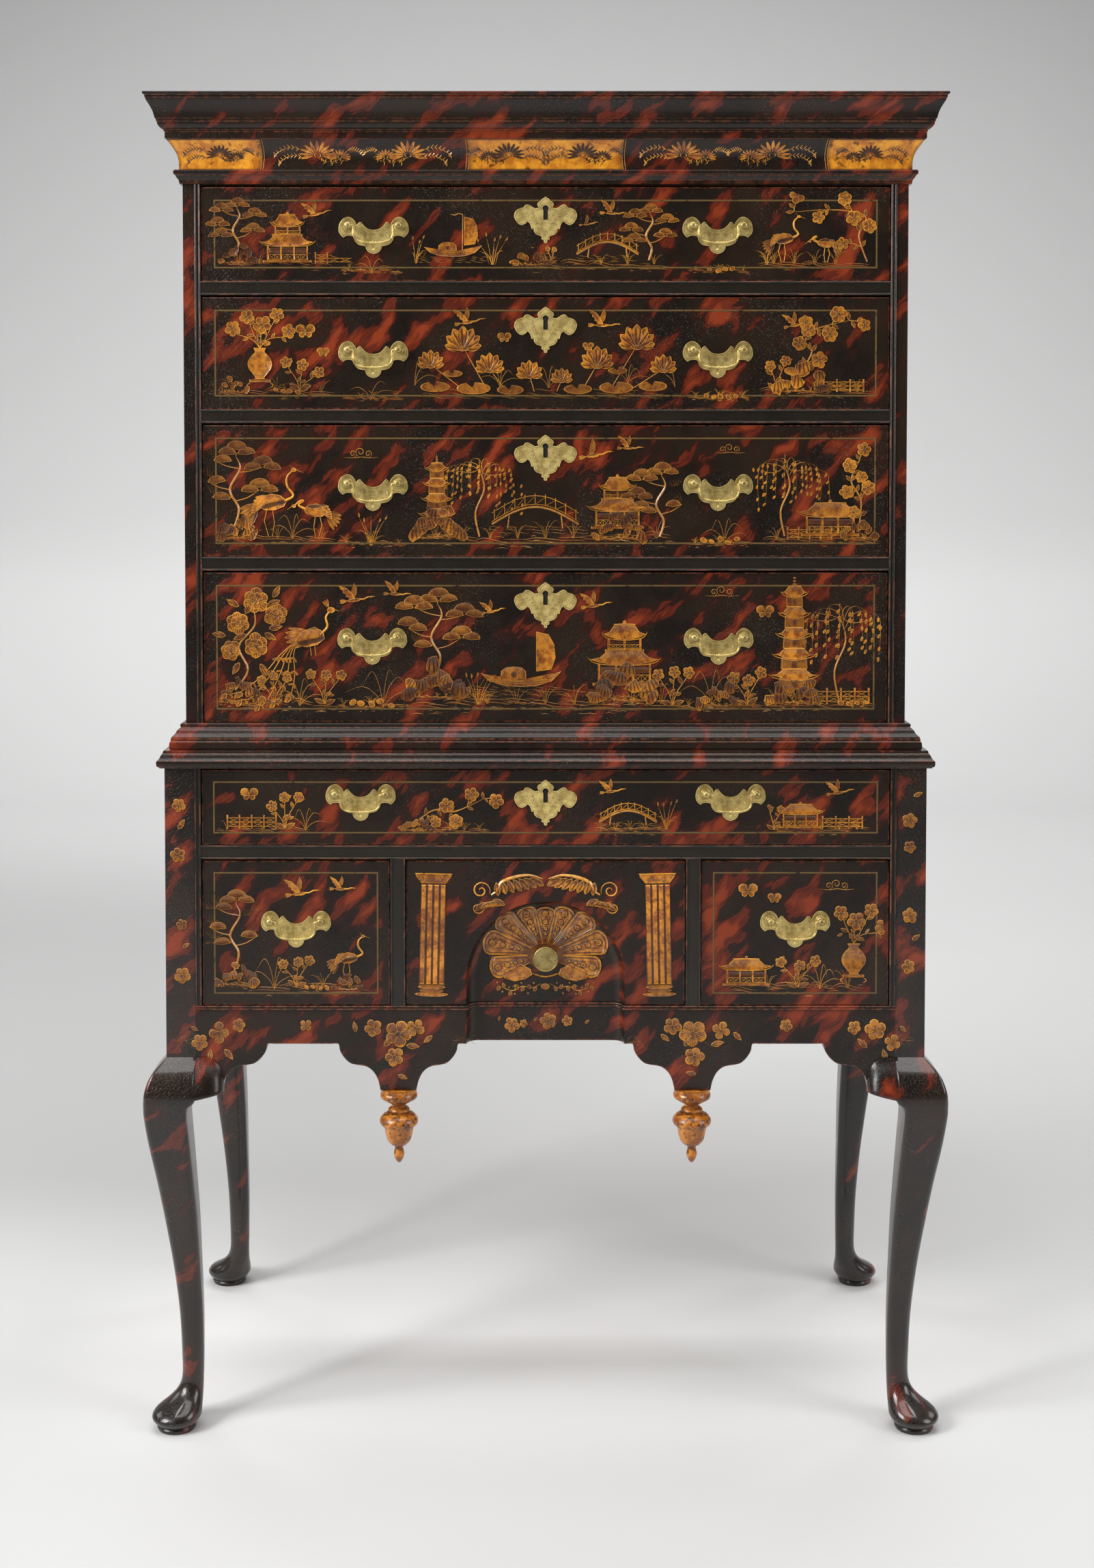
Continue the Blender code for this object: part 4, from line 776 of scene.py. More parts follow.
def mouldings():
    """The cornice, the base and waist mouldings, and the rail behind the waist moulding."""
    stages = (
        (NECK_SHARES, NECK_PROUD, NECK_HEIGHT),
        (COVE_SHARES, COVE_PROUD, COVE_HEIGHT),
        (CROWN_SHARES, CROWN_PROUD, CROWN_HEIGHT),
    )
    moulding("cornice_moulding", stages, COVE_FOOT - NECK_HEIGHT, UPPER_HALF, UPPER_FRONT, ["cornice"])
    base = ((BASE_SHARES, BASE_PROUD, BASE_HEIGHT),)
    moulding("base_moulding_run", base, UPPER_FOOT, UPPER_HALF, UPPER_FRONT, ["base_moulding"])
    waist = ((WAIST_SHARES, WAIST_PROUD, WAIST_HEIGHT),)
    moulding("waist_moulding", waist, LOWER_TOP - WAIST_HEIGHT, LOWER_HALF, LOWER_FRONT, ["waist_rail"])
    bm = new_bm()
    rail_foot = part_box("long_drawer")[1].z + DRAWER_HEAD_GAP
    add_box(bm, (-POST_X, LOWER_FRONT - 0.0004, rail_foot), (POST_X, LOWER_FRONT + CASE_BOARD, LOWER_TOP))
    piece("top_rail", bm, 35, JAPAN, bevel=0.0006)


def bead_section(width):
    """A strip with a half-round bead on each edge: across, stand-out and wear."""
    points = [(0.0, -0.0004, 0.0)]
    for start in (0.0, width - BEAD_WIDTH):
        for step in range(9):
            angle = pi * step / 8
            across = start + BEAD_WIDTH * (1 - cos(angle)) / 2
            out = STRIP + (BEAD_PROUD - STRIP) * sin(angle)
            outward = -cos(angle) if start else cos(angle)
            points.append((across, out, 0.95 if 0.0 < outward < 0.8 else 0.0))
    return points + [(width, -0.0004, 0.0)]


def lay_beads(bm, inner, outer, start, end, count, place):
    """Double beads between two edges along a run; place turns (across, out, along) into a point."""
    section = bead_section(abs(outer - inner))
    turn = 1 if outer > inner else -1
    rings = [[place(inner + turn * across, out, along) for across, out, worn in section]
             for along in steps_between(start, end, count)]
    add_loft(bm, rings, [worn for across, out, worn in section])


def beads():
    """Double beads over the rails, the dividers and the edges of both cases."""
    bm = new_bm()
    small_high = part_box("small_drawer_left")[1].z + DRAWER_HEAD_GAP
    rails = []
    for name in ("upper_rail_1", "upper_rail_2", "upper_rail_3"):
        low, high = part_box(name)
        rails.append((low.z, high.z, UPPER_FRONT))
    rails.append((small_high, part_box("long_drawer")[0].z - DRAWER_FOOT_GAP, LOWER_FRONT))
    for low, high, front in rails:
        lay_beads(bm, low, high, -HALF_OPENING, HALF_OPENING, 20,
                  lambda across, out, along: (along, front - out, across))
    middle_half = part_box("middle_drawer")[1].x + 0.001
    small_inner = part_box("small_drawer_right")[0].x - 0.001
    long_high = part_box("long_drawer")[1].z + DRAWER_HEAD_GAP
    edge_outer = HALF_OPENING + 2 * BEAD_WIDTH + 0.002
    for side in (-1, 1):
        for inner, outer, foot, head, front in (
            (middle_half, small_inner, SKIRT_TOP, small_high + BEAD_WIDTH * 0.6, LOWER_FRONT),
            (HALF_OPENING, POST_X, SKIRT_TOP, long_high, LOWER_FRONT),
            (HALF_OPENING, edge_outer, UPPER_FOOT + BASE_HEIGHT, COVE_FOOT - NECK_HEIGHT, UPPER_FRONT),
        ):
            lay_beads(bm, side * inner, side * outer, foot, head, 16,
                      lambda across, out, along: (across, front - out, along))
    piece("double_beads", bm, 40, RAILS)


# Lower case


def leg_rings(side_x, side_y):
    """Rings of a leg and its post: squares whose corners are rounded more towards the foot."""
    rings = []
    per_corner = 8
    for share, inner, outer, roundness in spline(LEG_SHARES, 4):
        middle = POST_SIZE * (inner + outer) / 2
        half = POST_SIZE * (outer - inner) / 2
        radius = half * min(max(roundness, 0.03), 1.0)
        flat = half - radius
        ring = []
        for corner, (corner_x, corner_y) in enumerate(((1, 1), (-1, 1), (-1, -1), (1, -1))):
            for step in range(per_corner):
                angle = radians(90 * (corner + step / (per_corner - 1)))
                out_x = middle + flat * corner_x + radius * cos(angle) * 0.9999
                out_y = middle + flat * corner_y + radius * sin(angle) * 0.9999
                ring.append((side_x * (POST_X + out_x), side_y * (POST_Y + out_y), LEG_HEIGHT * share))
        rings.append(ring)
    for step in range(1, 9):
        height = LEG_HEIGHT + (LOWER_TOP - LEG_HEIGHT) * step / 8
        rings.append([(point[0], point[1], height) for point in rings[-1]])
    return rings


def legs():
    """Cabriole legs with their posts, knee blocks and filler strips."""
    proud = POST_SIZE * (max(row[2] for row in LEG_SHARES) - 1)
    for name, side_x, side_y in (
        ("front_left", -1, -1), ("front_right", 1, -1), ("back_left", -1, 1), ("back_right", 1, 1),
    ):
        bm = new_bm()
        add_loft(bm, leg_rings(side_x, side_y))
        piece(f"cabriole_{name}", bm, 38, LEGS, replaced=[f"leg_{name}"])
        bm = new_bm()
        block_foot = LEG_HEIGHT - KNEE_BLOCK_HEIGHT
        stations = [(-0.004, 0.0, 1.0, 1.0)]
        stations += [(KNEE_BLOCK_LENGTH * a, a, tall, out) for a, tall, out in spline(KNEE_BLOCK_SHARES, 4)]
        for facing in ("side",) if side_y > 0 else ("side", "front"):
            rings = []
            for distance, along, tall, out in stations:
                foot = block_foot + (SKIRT_FOOT - block_foot) * along
                ring = []
                for share, up in spline(KNEE_SECTION_SHARES, 3):
                    stand = 0.0003 + proud * max(out, 0.05) * share
                    ring.append((distance, stand, foot + KNEE_BLOCK_HEIGHT * tall * up))
                ring = [(distance, -0.001, ring[0][2])] + ring + [(distance, -0.001, ring[-1][2])]
                if facing == "side":
                    rings.append([(side_x * (LOWER_HALF + s), side_y * (POST_Y - d), z) for d, s, z in ring])
                else:
                    rings.append([(side_x * (POST_X - d), LOWER_FRONT - s, z) for d, s, z in ring])
            add_loft(bm, rings)
        if side_y < 0:
            ends = sorted((side_x * HALF_OPENING, side_x * (POST_X + 0.001)))
            add_box(bm, (ends[0], LOWER_FRONT, SKIRT_TOP + 0.0003),
                    (ends[1], LOWER_FRONT + 0.012, LOWER_TOP - 0.0243))
        piece(f"knee_blocks_{name}", bm, 38, JAPAN)


def lobe_edge(flat_end, toward, width):
    """The lower edge of a lobe, smooth, from where it leaves the flat edge."""
    return [(flat_end + toward * width * a, SKIRT_FLAT - LOBE_DROP * d)
            for a, d in spline(LOBE_SHARES[0], 3)]


def corner_edge(reach):
    """The lower edge out to a corner, which ends in a lobe."""
    flat_end = reach - CORNER_LOBE_INSET - CORNER_LOBE_WIDTH
    return lobe_edge(flat_end, 1, CORNER_LOBE_WIDTH) + [(reach, SKIRT_FLAT - LOBE_DROP)]


def recess_depth(room):
    """How far the recess lies back at a distance inside its edge."""
    share = 1 - min(max(room / RECESS_COVE, 0.0), 1.0)
    return RECESS_DEPTH * sqrt(1 - share * share)


def recess_y(x):
    """How far the skirt's face lies back at x, which follows the drawer's recess."""
    return recess_depth(RECESS_HALF - abs(x))


def front_skirt():
    """The skirt with its shaped edge, hollowed under the recess, and the bead along its top."""
    inner_flat = PENDANT_X - PENDANT_BLOCK_HALF - PENDANT_LOBE_WIDTH
    outer_flat = PENDANT_X + PENDANT_BLOCK_HALF + PENDANT_LOBE_WIDTH
    half = [(x, SKIRT_FLAT) for x in (0.0, 0.03, 0.06, 0.085)]
    half += [(RECESS_HALF - RECESS_COVE * (1 - sin(radians(a))), SKIRT_FLAT) for a in range(0, 91, 9)]
    half += lobe_edge(inner_flat, 1, PENDANT_LOBE_WIDTH)
    half += list(reversed(lobe_edge(outer_flat, -1, PENDANT_LOBE_WIDTH)))
    half += corner_edge(POST_X)
    edge = [(-x, z) for x, z in reversed(half[1:])] + half
    bm = new_bm()
    rings = []
    for x, z in edge:
        face = LOWER_FRONT + recess_y(x)
        back = LOWER_FRONT + (BLOCK_THICKNESS if abs(x) < RECESS_HALF + 0.004 else SKIRT_THICKNESS)
        ring = [(x, face + ARRIS_BACK, z), (x, face + ARRIS, z), (x, face, z + ARRIS),
                (x, face, z + ARRIS_UP)]
        rings.append(ring + [(x, face, SKIRT_TOP), (x, back, SKIRT_TOP), (x, back, z)])
    add_loft(bm, rings, ARRIS_WEAR)
    section = bead_section(SKIRT_BEADS)
    straight = steps_between(0.11, POST_X, 14)
    path = sorted({round(x, 5) for x, z in edge}
                  | {round(side * x, 5) for side in (-1, 1) for x in straight})
    rings = []
    step = 0.0004
    for x in path:
        y = LOWER_FRONT + recess_y(x)
        slope = (recess_y(x + step) - recess_y(x - step)) / (2 * step)
        length = hypot(1.0, slope)
        rings.append([(x + out * slope / length, y - out / length, SKIRT_TOP - SKIRT_BEADS + z)
                      for z, out, worn in section])
    add_loft(bm, rings, [worn for z, out, worn in section])
    piece("skirt_board", bm, 32, JAPAN, replaced=["front_skirt"])


def pegs():
    """Two wooden pegs through each front post, where the skirt's tenon enters it."""
    bm = new_bm()
    for side in (-1, 1):
        for z, sides in ((PEG_HIGH, 4), (PEG_LOW, 7)):
            centre = Vector((side * (POST_X + PEG_INSET), LOWER_FRONT, z))
            matrix = Matrix.Translation(centre) @ FACING_FRONT @ Matrix.Rotation(0.7, 4, "Z")
            bmesh.ops.create_cone(bm, cap_ends=True, segments=sides, radius1=PEG_RADIUS,
                                  radius2=PEG_RADIUS * 0.9, depth=0.0009, matrix=matrix)
    piece("skirt_pegs", bm, 35, RAILS)


def lower_sides():
    """Side boards with their shaped edges, over plain runners of pine."""
    half = [(0.0, SKIRT_FLAT), (0.05, SKIRT_FLAT)] + corner_edge(POST_Y)
    edge = [(-y, z) for y, z in reversed(half[1:])] + half
    for name, side in (("left", -1), ("right", 1)):
        bm = new_bm()
        outer, inner = side * LOWER_HALF, side * (LOWER_HALF - CASE_BOARD)
        rings = []
        for y, z in edge:
            ring = [(outer - side * ARRIS_BACK, y, z), (outer - side * ARRIS, y, z), (outer, y, z + ARRIS)]
            ring += [(outer, y, z + ARRIS_UP), (outer, y, LOWER_TOP), (inner, y, LOWER_TOP), (inner, y, z)]
            rings.append(ring)
        add_loft(bm, rings, ARRIS_WEAR)
        piece(f"side_board_{name}", bm, 32, JAPAN_SIDE, replaced=[f"lower_side_{name}"])
        bm = new_bm()
        for drawer in ("small_drawer_right", "long_drawer"):
            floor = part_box(drawer)[0].z - DRAWER_FOOT_GAP
            runner = (HALF_OPENING - 0.020, floor - CASE_BOARD, floor)
            guide = (HALF_OPENING, floor, floor + 0.022)
            for reach, foot, head in (runner, guide):
                ends = sorted((side * reach, side * (LOWER_HALF - 0.0188)))
                add_box(bm, (ends[0], LOWER_FRONT + 0.0605, foot), (ends[1], POST_Y, head))
        piece(f"side_runners_{name}", bm, 35, PINE_Y, "bare_pine", bevel=0.0006)


def pendants():
    """The two turned drops under the skirt."""
    radius, height = 0.0256, 0.1030
    hanging = [[(r, -d) for r, d in run] for run in PENDANT_SHARES]
    drop = turned("pendant_drop", hanging, radius, height, 40, PENDANT_GOLD, 3)
    for name, side in (("left", -1), ("right", 1)):
        place = (side * PENDANT_X, PENDANT_Y, SKIRT_FOOT - 0.0003)
        show(f"turned_drop_{name}", drop, "case", "gilt_wood", [f"pendant_{name}"], place=place)


def back_planks():
    """Back boards as separate planks with nails."""
    low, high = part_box("upper_back_board")
    bm, heads = new_bm(), new_bm()
    half_gap = 0.0008
    cuts = [low.z, low.z + 0.282, low.z + 0.571, high.z]
    for foot, head in zip(cuts, cuts[1:]):
        add_box(bm, (low.x, low.y, foot + half_gap), (high.x, high.y - 0.0005, head - half_gap))
        for x in (low.x + 0.010, high.x - 0.010):
            for share in (0.15, 0.5, 0.85):
                spot = Matrix.Translation((x, high.y - 0.0004, foot + (head - foot) * share))
                nail = {"segments": 10, "radius1": 0.0026, "radius2": 0.0030, "depth": 0.0008}
                bmesh.ops.create_cone(heads, cap_ends=True, matrix=spot @ FACING_FRONT, **nail)
    piece("back_planks", bm, 35, PINE_X, "bare_pine", ["upper_back_board"], bevel=0.0014)
    piece("back_nails", heads, 35, IRON, "bare_pine")


# Brasses


def inset(outline, distance):
    """The outline moved inwards; it runs anticlockwise or clockwise as given."""
    count = len(outline)
    area = sum(outline[i][0] * outline[(i + 1) % count][1] - outline[(i + 1) % count][0] * outline[i][1]
               for i in range(count))
    turn = 1 if area > 0 else -1
    moved = []
    for index, (x, z) in enumerate(outline):
        before, after = outline[index - 1], outline[(index + 1) % count]
        tx, tz = after[0] - before[0], after[1] - before[1]
        length = hypot(tx, tz) or 1.0
        moved.append((x - turn * tz / length * distance, z + turn * tx / length * distance))
    return moved


def slab(bm, outline, thickness, rim):
    """A flat plate with a rounded front edge. Its back is at Y zero and it stands towards -Y."""
    stages = ((0.0, 0.0), (0.0, 0.62), (0.35, 0.90), (1.0, 1.0), (1.5, 1.0))
    add_loft(bm,
             [[(x, -thickness * deep, z) for x, z in inset(outline, rim * inward)]
              for inward, deep in stages])


def half_outline(shares, width, height, corners, steps):
    """Closed outline from the shares of its right half, smooth but for the corners."""
    half = spline([(width / 2 * x, height * z) for x, z in shares], steps, corners)
    half[0] = (0.0, half[0][1])
    half[-1] = (0.0, half[-1][1])
    return mirrored(half)


def add_line(bm, points, width, rise, base, place):
    """A thin raised line over points (x, z): two edges and a ridge."""
    rings = []
    for index, (x, z) in enumerate(points):
        before = points[max(index - 1, 0)]
        after = points[min(index + 1, len(points) - 1)]
        tx, tz = after[0] - before[0], after[1] - before[1]
        length = hypot(tx, tz) or 1.0
        half = (width(index / max(len(points) - 1, 1)) if callable(width) else width) / 2
        nx, nz = -tz / length * half, tx / length * half
        rings.append([place(x + nx, z + nz, base), place(x, z, base + rise), place(x - nx, z - nz, base)])
    add_loft(bm, rings)


def engrave(bm, lines, thickness):
    """Fine dark lines on a plate's face."""
    for points in lines:
        add_line(bm, points, HAIR, 0.00006, thickness - 0.00003, lambda x, z, h: (x, -h, z))


def keyhole_shape():
    """A keyhole's outline: round at its top, over a straight slot."""
    rise, radius, slot, height = 0.0096, 0.0041, 0.0062, 0.0196
    meeting = degrees(asin(slot / 2 / radius))
    ring = arc((0, rise), radius, meeting - 90, 270 - meeting, 22)
    return ring + [(-slot / 2, rise + radius - height), (slot / 2, rise + radius - height)]


def scroll(x, z, radius, start, rounds, flip=1):
    """A tightening spiral, as engravers and gilders draw scrolls."""
    points = []
    steps = max(int(18 * rounds), 8)
    for step in range(steps + 1):
        share = step / steps
        angle = radians(start) + flip * 2 * pi * rounds * share
        r = radius * (1 - 0.85 * share)
        points.append((x + r * cos(angle), z + r * sin(angle)))
    return points


def escutcheon_meshes():
    """The plate with its keyhole, and the lines engraved on it."""
    thickness = 0.0013
    outline = half_outline(ESCUTCHEON_SHARES, ESCUTCHEON_WIDTH, ESCUTCHEON_HEIGHT, ESCUTCHEON_CORNERS, 3)
    bm = new_bm()
    slab(bm, outline, thickness, 0.0006)
    hole = new_bm()
    add_loft(hole, [[(x, y, z) for x, z in keyhole_shape()] for y in (-0.004, 0.002)])
    mesh = cut_out(mesh_of("escutcheon", bm, 35, [BRASS_KEY]), mesh_of("keyhole", hole, 35, [BRASS_KEY]), 30)
    lines = [inset(outline, 0.0019) + inset(outline, 0.0019)[:1]]
    for side in (-1, 1):
        lines.append(scroll(side * 0.0185, -0.0015, 0.0062, 200 if side > 0 else -20, 1.6, side))
        lines.append(scroll(side * 0.0285, 0.0015, 0.0040, 30 if side > 0 else 150, 1.4, -side))
        lines.append(scroll(side * 0.0085, -0.0175, 0.0038, 90, 1.5, side))
        lines.append([(side * 0.006, 0.0175), (side * 0.0085, 0.010), (side * 0.013, 0.0045),
                      (side * 0.0225, 0.0085), (side * 0.0275, 0.0105)])
        lines.append([(side * x, z) for x, z in ((0.0060, -0.012), (0.0115, -0.0105), (0.0165, -0.0130))])
    lines.append(arc((0.0, -0.0240), 0.0026, 0, 360, 14))
    lines.append(arc((0.0, 0.0096), 0.0062, -30, 210, 18))
    engraving = new_bm()
    engrave(engraving, lines, thickness)
    return mesh, mesh_of("escutcheon_engraving", engraving, 60, [BRASS_LINE])


def pull_meshes():
    """A pull's plate with its two posts, the lines engraved on it, and its bail."""
    thickness, spacing = 0.0013, 0.0685
    width, height = 0.0948, 0.0499
    outline = half_outline(PLATE_SHARES, width, height, PLATE_CORNERS, 3)
    bm = new_bm()
    slab(bm, outline, thickness, 0.0007)
    reach = 0.0174
    post = (
        (0.0064, 0.0000), (0.0064, 0.0008), (0.0058, 0.0015), (0.0046, 0.0019), (0.0042, 0.0030),
        (0.0030, 0.0042), (0.0028, 0.0085), (0.0034, 0.0100), (0.0046, 0.0116), (0.0050, 0.0134),
        (0.0046, 0.0152), (0.0034, 0.0165), (0.0016, 0.01725), (0.00002, reach),
    )
    fine = spline(post, 3, (1,))
    for side in (-1, 1):
        add_loft(bm, [[(side * spacing / 2 + r * cos(a), -thickness * 0.5 - y * 0.98, r * sin(a))
                       for a in turns(24)] for r, y in fine])
    for face in bm.faces:
        if face.calc_center_median().y < -thickness - 0.0002:
            face.material_index = 1
    add_ball(bm, 0.0014, (0.0, -thickness, -0.0315), (1.0, 0.6, 1.0))
    plate = mesh_of("pull_plate", bm, 35, [BRASS, BRASS_POST])
    groove = inset(outline, 0.0021)
    lines = [groove + groove[:1], [(-0.0045, -0.0225), (0.0, -0.0275), (0.0045, -0.0225)]]
    lines.append([(-0.0042, -0.0165), (-0.0030, -0.0115), (0.0, -0.0095), (0.0030, -0.0115),
                  (0.0042, -0.0165), (-0.0042, -0.0165)])
    for lean in (-0.0020, 0.0, 0.0020):
        lines.append([(lean * 0.4, -0.0105), (lean, -0.0160)])
    for side in (-1, 1):
        x, z, half = side * 0.0112, -0.0125, 0.0020
        lines.append([(x - half, z), (x, z + half), (x + half, z), (x, z - half), (x - half, z)])
        lines.append(spline([(side * u, v)
                             for u, v in ((0.0165, -0.0085), (0.0205, -0.0100), (0.0215, -0.0150),
                                          (0.0180, -0.0165))], 4))
        lines.append(spline([(side * u, v)
                             for u, v in ((0.0165, -0.0085), (0.0168, -0.0125), (0.0180, -0.0165))], 4))
        lines.append(arc((side * spacing / 2, 0.0), 0.0086, 0, 360, 26))
        lines.append(arc((side * spacing / 2, 0.0), 0.0074, 0, 360, 26))
    engraving = new_bm()
    engrave(engraving, lines, thickness)
    return plate, mesh_of("pull_engraving", engraving, 60, [BRASS_LINE]), bail_mesh(spacing)


def bail_mesh(spacing):
    """A bail that hangs from its pintles, thicker at its middle, with a bead between two fillets."""
    half, drop = 0.0265, 0.0240
    tip = spacing / 2 - 0.0012
    side = spline([(half * x, -drop * z) for x, z in BAIL_SHARES], 4)
    right = [(tip, 0.0), (half + 0.0030, 0.0)] + side[1:]
    path = [(-x, z) for x, z in right] + list(reversed(right[:-1]))
    bm = new_bm()
    rings = []
    for index, (x, z) in enumerate(path):
        before, after = path[max(index - 1, 0)], path[min(index + 1, len(path) - 1)]
        tangent = Vector((after[0] - before[0], 0.0, after[1] - before[1])).normalized()
        out = Vector((0.0, 1.0, 0.0))
        up = tangent.cross(out)
        middle = 1 - min(abs(x) / half, 1.0)
        radius = 0.00135 + 0.00035 * middle * (z < -drop * 0.5)
        rings.append([Vector((x, 0.0, z)) + (out * cos(a) + up * sin(a)) * radius for a in turns(12)])
    add_loft(bm, rings)
    for centre, radius, length in ((0.0, 0.0026, 0.0026), (-0.0034, 0.0021, 0.0008),
                                   (0.0034, 0.0021, 0.0008)):
        add_ball(bm, radius, (centre, 0.0, -drop + 0.0004), (length / radius, 1.0, 1.0), 16, 10)
    return mesh_of("pull_bail", bm, 50, [BRASS_WIRE])


def brasses():
    """Pulls, bails, escutcheons, keyholes and the knob, at the places of the solids."""
    plate, plate_lines, bail = pull_meshes()
    escutcheon, escutcheon_lines = escutcheon_meshes()
    for joint in frame["joints"]:
        if joint["type"] != "hinge":
            continue
        bail_node, drawer = joint["child"], joint["parent"]
        pull_node = bail_node.replace("bail", "pull")
        x, y, z = joint["pos_m"]
        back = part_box(pull_node)[1].y
        show(f"{pull_node}_plate", plate, drawer, "brass", [pull_node], place=(x, back, z))
        show(f"{pull_node}_engraving", plate_lines, drawer, "brass", place=(x, back, z))
        show(f"{bail_node}_wire", bail, bail_node, "brass", [bail_node], place=(x, y, z))
    for name in FLAT_DRAWERS[:5]:
        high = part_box(f"{name}_escutcheon")[1]
        z = high.z - ESCUTCHEON_SHARES[0][1] * ESCUTCHEON_HEIGHT
        show(f"{name}_escutcheon_plate", escutcheon, name, "brass", [f"{name}_escutcheon"],
             place=(0, high.y, z))
        show(f"{name}_escutcheon_engraving", escutcheon_lines, name, "brass", place=(0, high.y, z))
        # A near-black block behind each keyhole: painted shade in place of its dark hollow.
        bm = new_bm()
        add_loft(bm, [[(px * 1.05, y, pz) for px, pz in keyhole_shape()] for y in (-0.0002, 0.0030)])
        piece(f"{name}_keyhole_painted_shade", bm, 35, KEYHOLE_SHADE, body=name, place=(0, high.y + 0.0002, z))
    low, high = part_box("middle_drawer_knob")
    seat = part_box("middle_drawer")[0].y + RECESS_DEPTH - 0.0003
    knob = turned("knob_turning", [list(run) for run in KNOB_SHARES], (high.x - low.x) / 2, 0.0270, 40,
                  BRASS_KNOB)
    knob.transform(FACING_FRONT)
    show("recess_knob", knob, "middle_drawer", "brass", ["middle_drawer_knob"],
         place=(0, seat, (low.z + high.z) / 2))


# Drawers


def board_slab(bm, low, high):
    """A board whose front edges are rounded and worn; its face looks towards -Y."""
    rim = 0.0009
    layer = bm.verts.layers.float.get("wear")
    rows = []
    for y, inward, worn in ((high.y, 0.0, 0.0), (low.y + rim, 0.0, 0.15),
                            (low.y + rim * 0.3, rim * 0.25, 0.9),
                            (low.y, rim, 0.7), (low.y, rim * 2.0, 0.0)):
        row = [bm.verts.new(point) for point in frame_ring(low.x, high.x, low.z, high.z, y, -inward)]
        for vertex in row:
            vertex[layer] = worn
        rows.append(row)
    bridge_rows(bm, rows)
    bm.faces.new(rows[0])
    bm.faces.new(rows[-1])


def frame_ring(x0, x1, z0, z1, y, grow):
    """The corners of an upright rectangle that is grown on all sides."""
    return [(x0 - grow, y, z0 - grow), (x1 + grow, y, z0 - grow), (x1 + grow, y, z1 + grow),
            (x0 - grow, y, z1 + grow)]


def drawer_box(name, front_back):
    """Sides, back and bottom of a drawer behind its front, as separate boards of pine."""
    low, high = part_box(name)
    rim = high.z - BOX_DROP
    bm = new_bm()
    for near, far in ((low.x, low.x + SIDE_BOARD), (high.x - SIDE_BOARD, high.x)):
        add_box(bm, (near, front_back - 0.0120, low.z), (far, high.y, rim))
    inner_low, inner_high = low.x + SIDE_BOARD - 0.0003, high.x - SIDE_BOARD + 0.0003
    add_box(bm, (inner_low, high.y - SIDE_BOARD, low.z), (inner_high, high.y - 0.0004, rim - 0.0006))
    bottom = low.z + BOTTOM_LIFT
    add_box(bm, (inner_low, front_back - 0.0010, bottom),
            (inner_high, high.y - SIDE_BOARD + 0.001, bottom + BOTTOM_BOARD))
    piece(f"{name}_box", bm, 35, PINE_Y, "bare_pine", body=name, bevel=0.0007)


def drawer_fronts():
    """The flat fronts, with their boxes and gold borders."""
    for name in FLAT_DRAWERS:
        low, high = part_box(name)
        back = low.y + FRONT_THICKNESS
        bm = new_bm()
        board_slab(bm, low, Vector((high.x, back, high.z)))
        japan = JAPAN_FRONT if low.y < UPPER_FRONT - 0.01 else JAPAN_UPPER
        piece(f"{name}_front", bm, 40, japan, replaced=[name], body=name)
        drawer_box(name, back)
        border(name, low, high)


def border(name, low, high):
    """The dull gold line that frames a drawer's face, from four mitred strips."""
    inset_by = 0.0180 if low.y > LOWER_FRONT + 0.01 else 0.0165
    x0, x1, z0, z1 = low.x + inset_by, high.x - inset_by, low.z + inset_by, high.z - inset_by
    half, rise = 0.0012, 0.00030
    bm = new_bm()
    levels = ((half, -0.0003), (half * 0.75, rise), (-half * 0.75, rise), (-half, -0.0003))
    rows = [[bm.verts.new(point) for point in frame_ring(x0, x1, z0, z1, low.y - h, grow)]
            for grow, h in levels]
    bridge_rows(bm, rows + rows[:1])
    piece(f"{name}_border", bm, 40, OLIVE, "gilt_wood", body=name)


def middle_drawer():
    """The blocked front with its arched recess, cut finer than the solid's."""
    low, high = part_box("middle_drawer")
    face = low.y
    back = face + BLOCK_THICKNESS
    bm = new_bm()
    board_slab(bm, low, Vector((high.x, back, high.z)))
    levels = [(RECESS_HALF + 0.0012, face - 0.002), (RECESS_HALF + 0.0010, face - 0.0002),
              (RECESS_HALF, face + 0.0008)]
    for step in range(1, 13):
        angle = radians(90 * step / 12)
        levels.append((RECESS_HALF - RECESS_COVE * (1 - cos(angle)), face + RECESS_DEPTH * sin(angle)))
    rings = []
    foot = low.z - 0.002
    for radius, y in levels:
        rings.append([(radius, y, foot)] +
                     [(x, y, z) for x, z in arc((0, RECESS_SPRING), radius, 0, 180, 64)] +
                     [(-radius, y, foot)])
    hole = new_bm()
    add_loft(hole, rings)
    board = mesh_of("blocked_front", bm, 40, [JAPAN, PINE_X])
    mesh = cut_out(board, mesh_of("recess_cutter", hole, 40, [JAPAN]), 40)
    for polygon in mesh.polygons:
        normal, middle = polygon.normal, polygon.center
        sideways = abs(normal.x) > 0.9 and abs(middle.x) > high.x - 0.001
        on_top = normal.z > 0.9 and middle.z > high.z - 0.001
        if normal.y > 0.9 or (middle.y > face + 0.003 and (sideways or on_top)):
            polygon.material_index = 1
    show("middle_drawer_front", mesh, "middle_drawer", "japanned_wood", ["middle_drawer"])
    drawer_box("middle_drawer", back)


# Relief


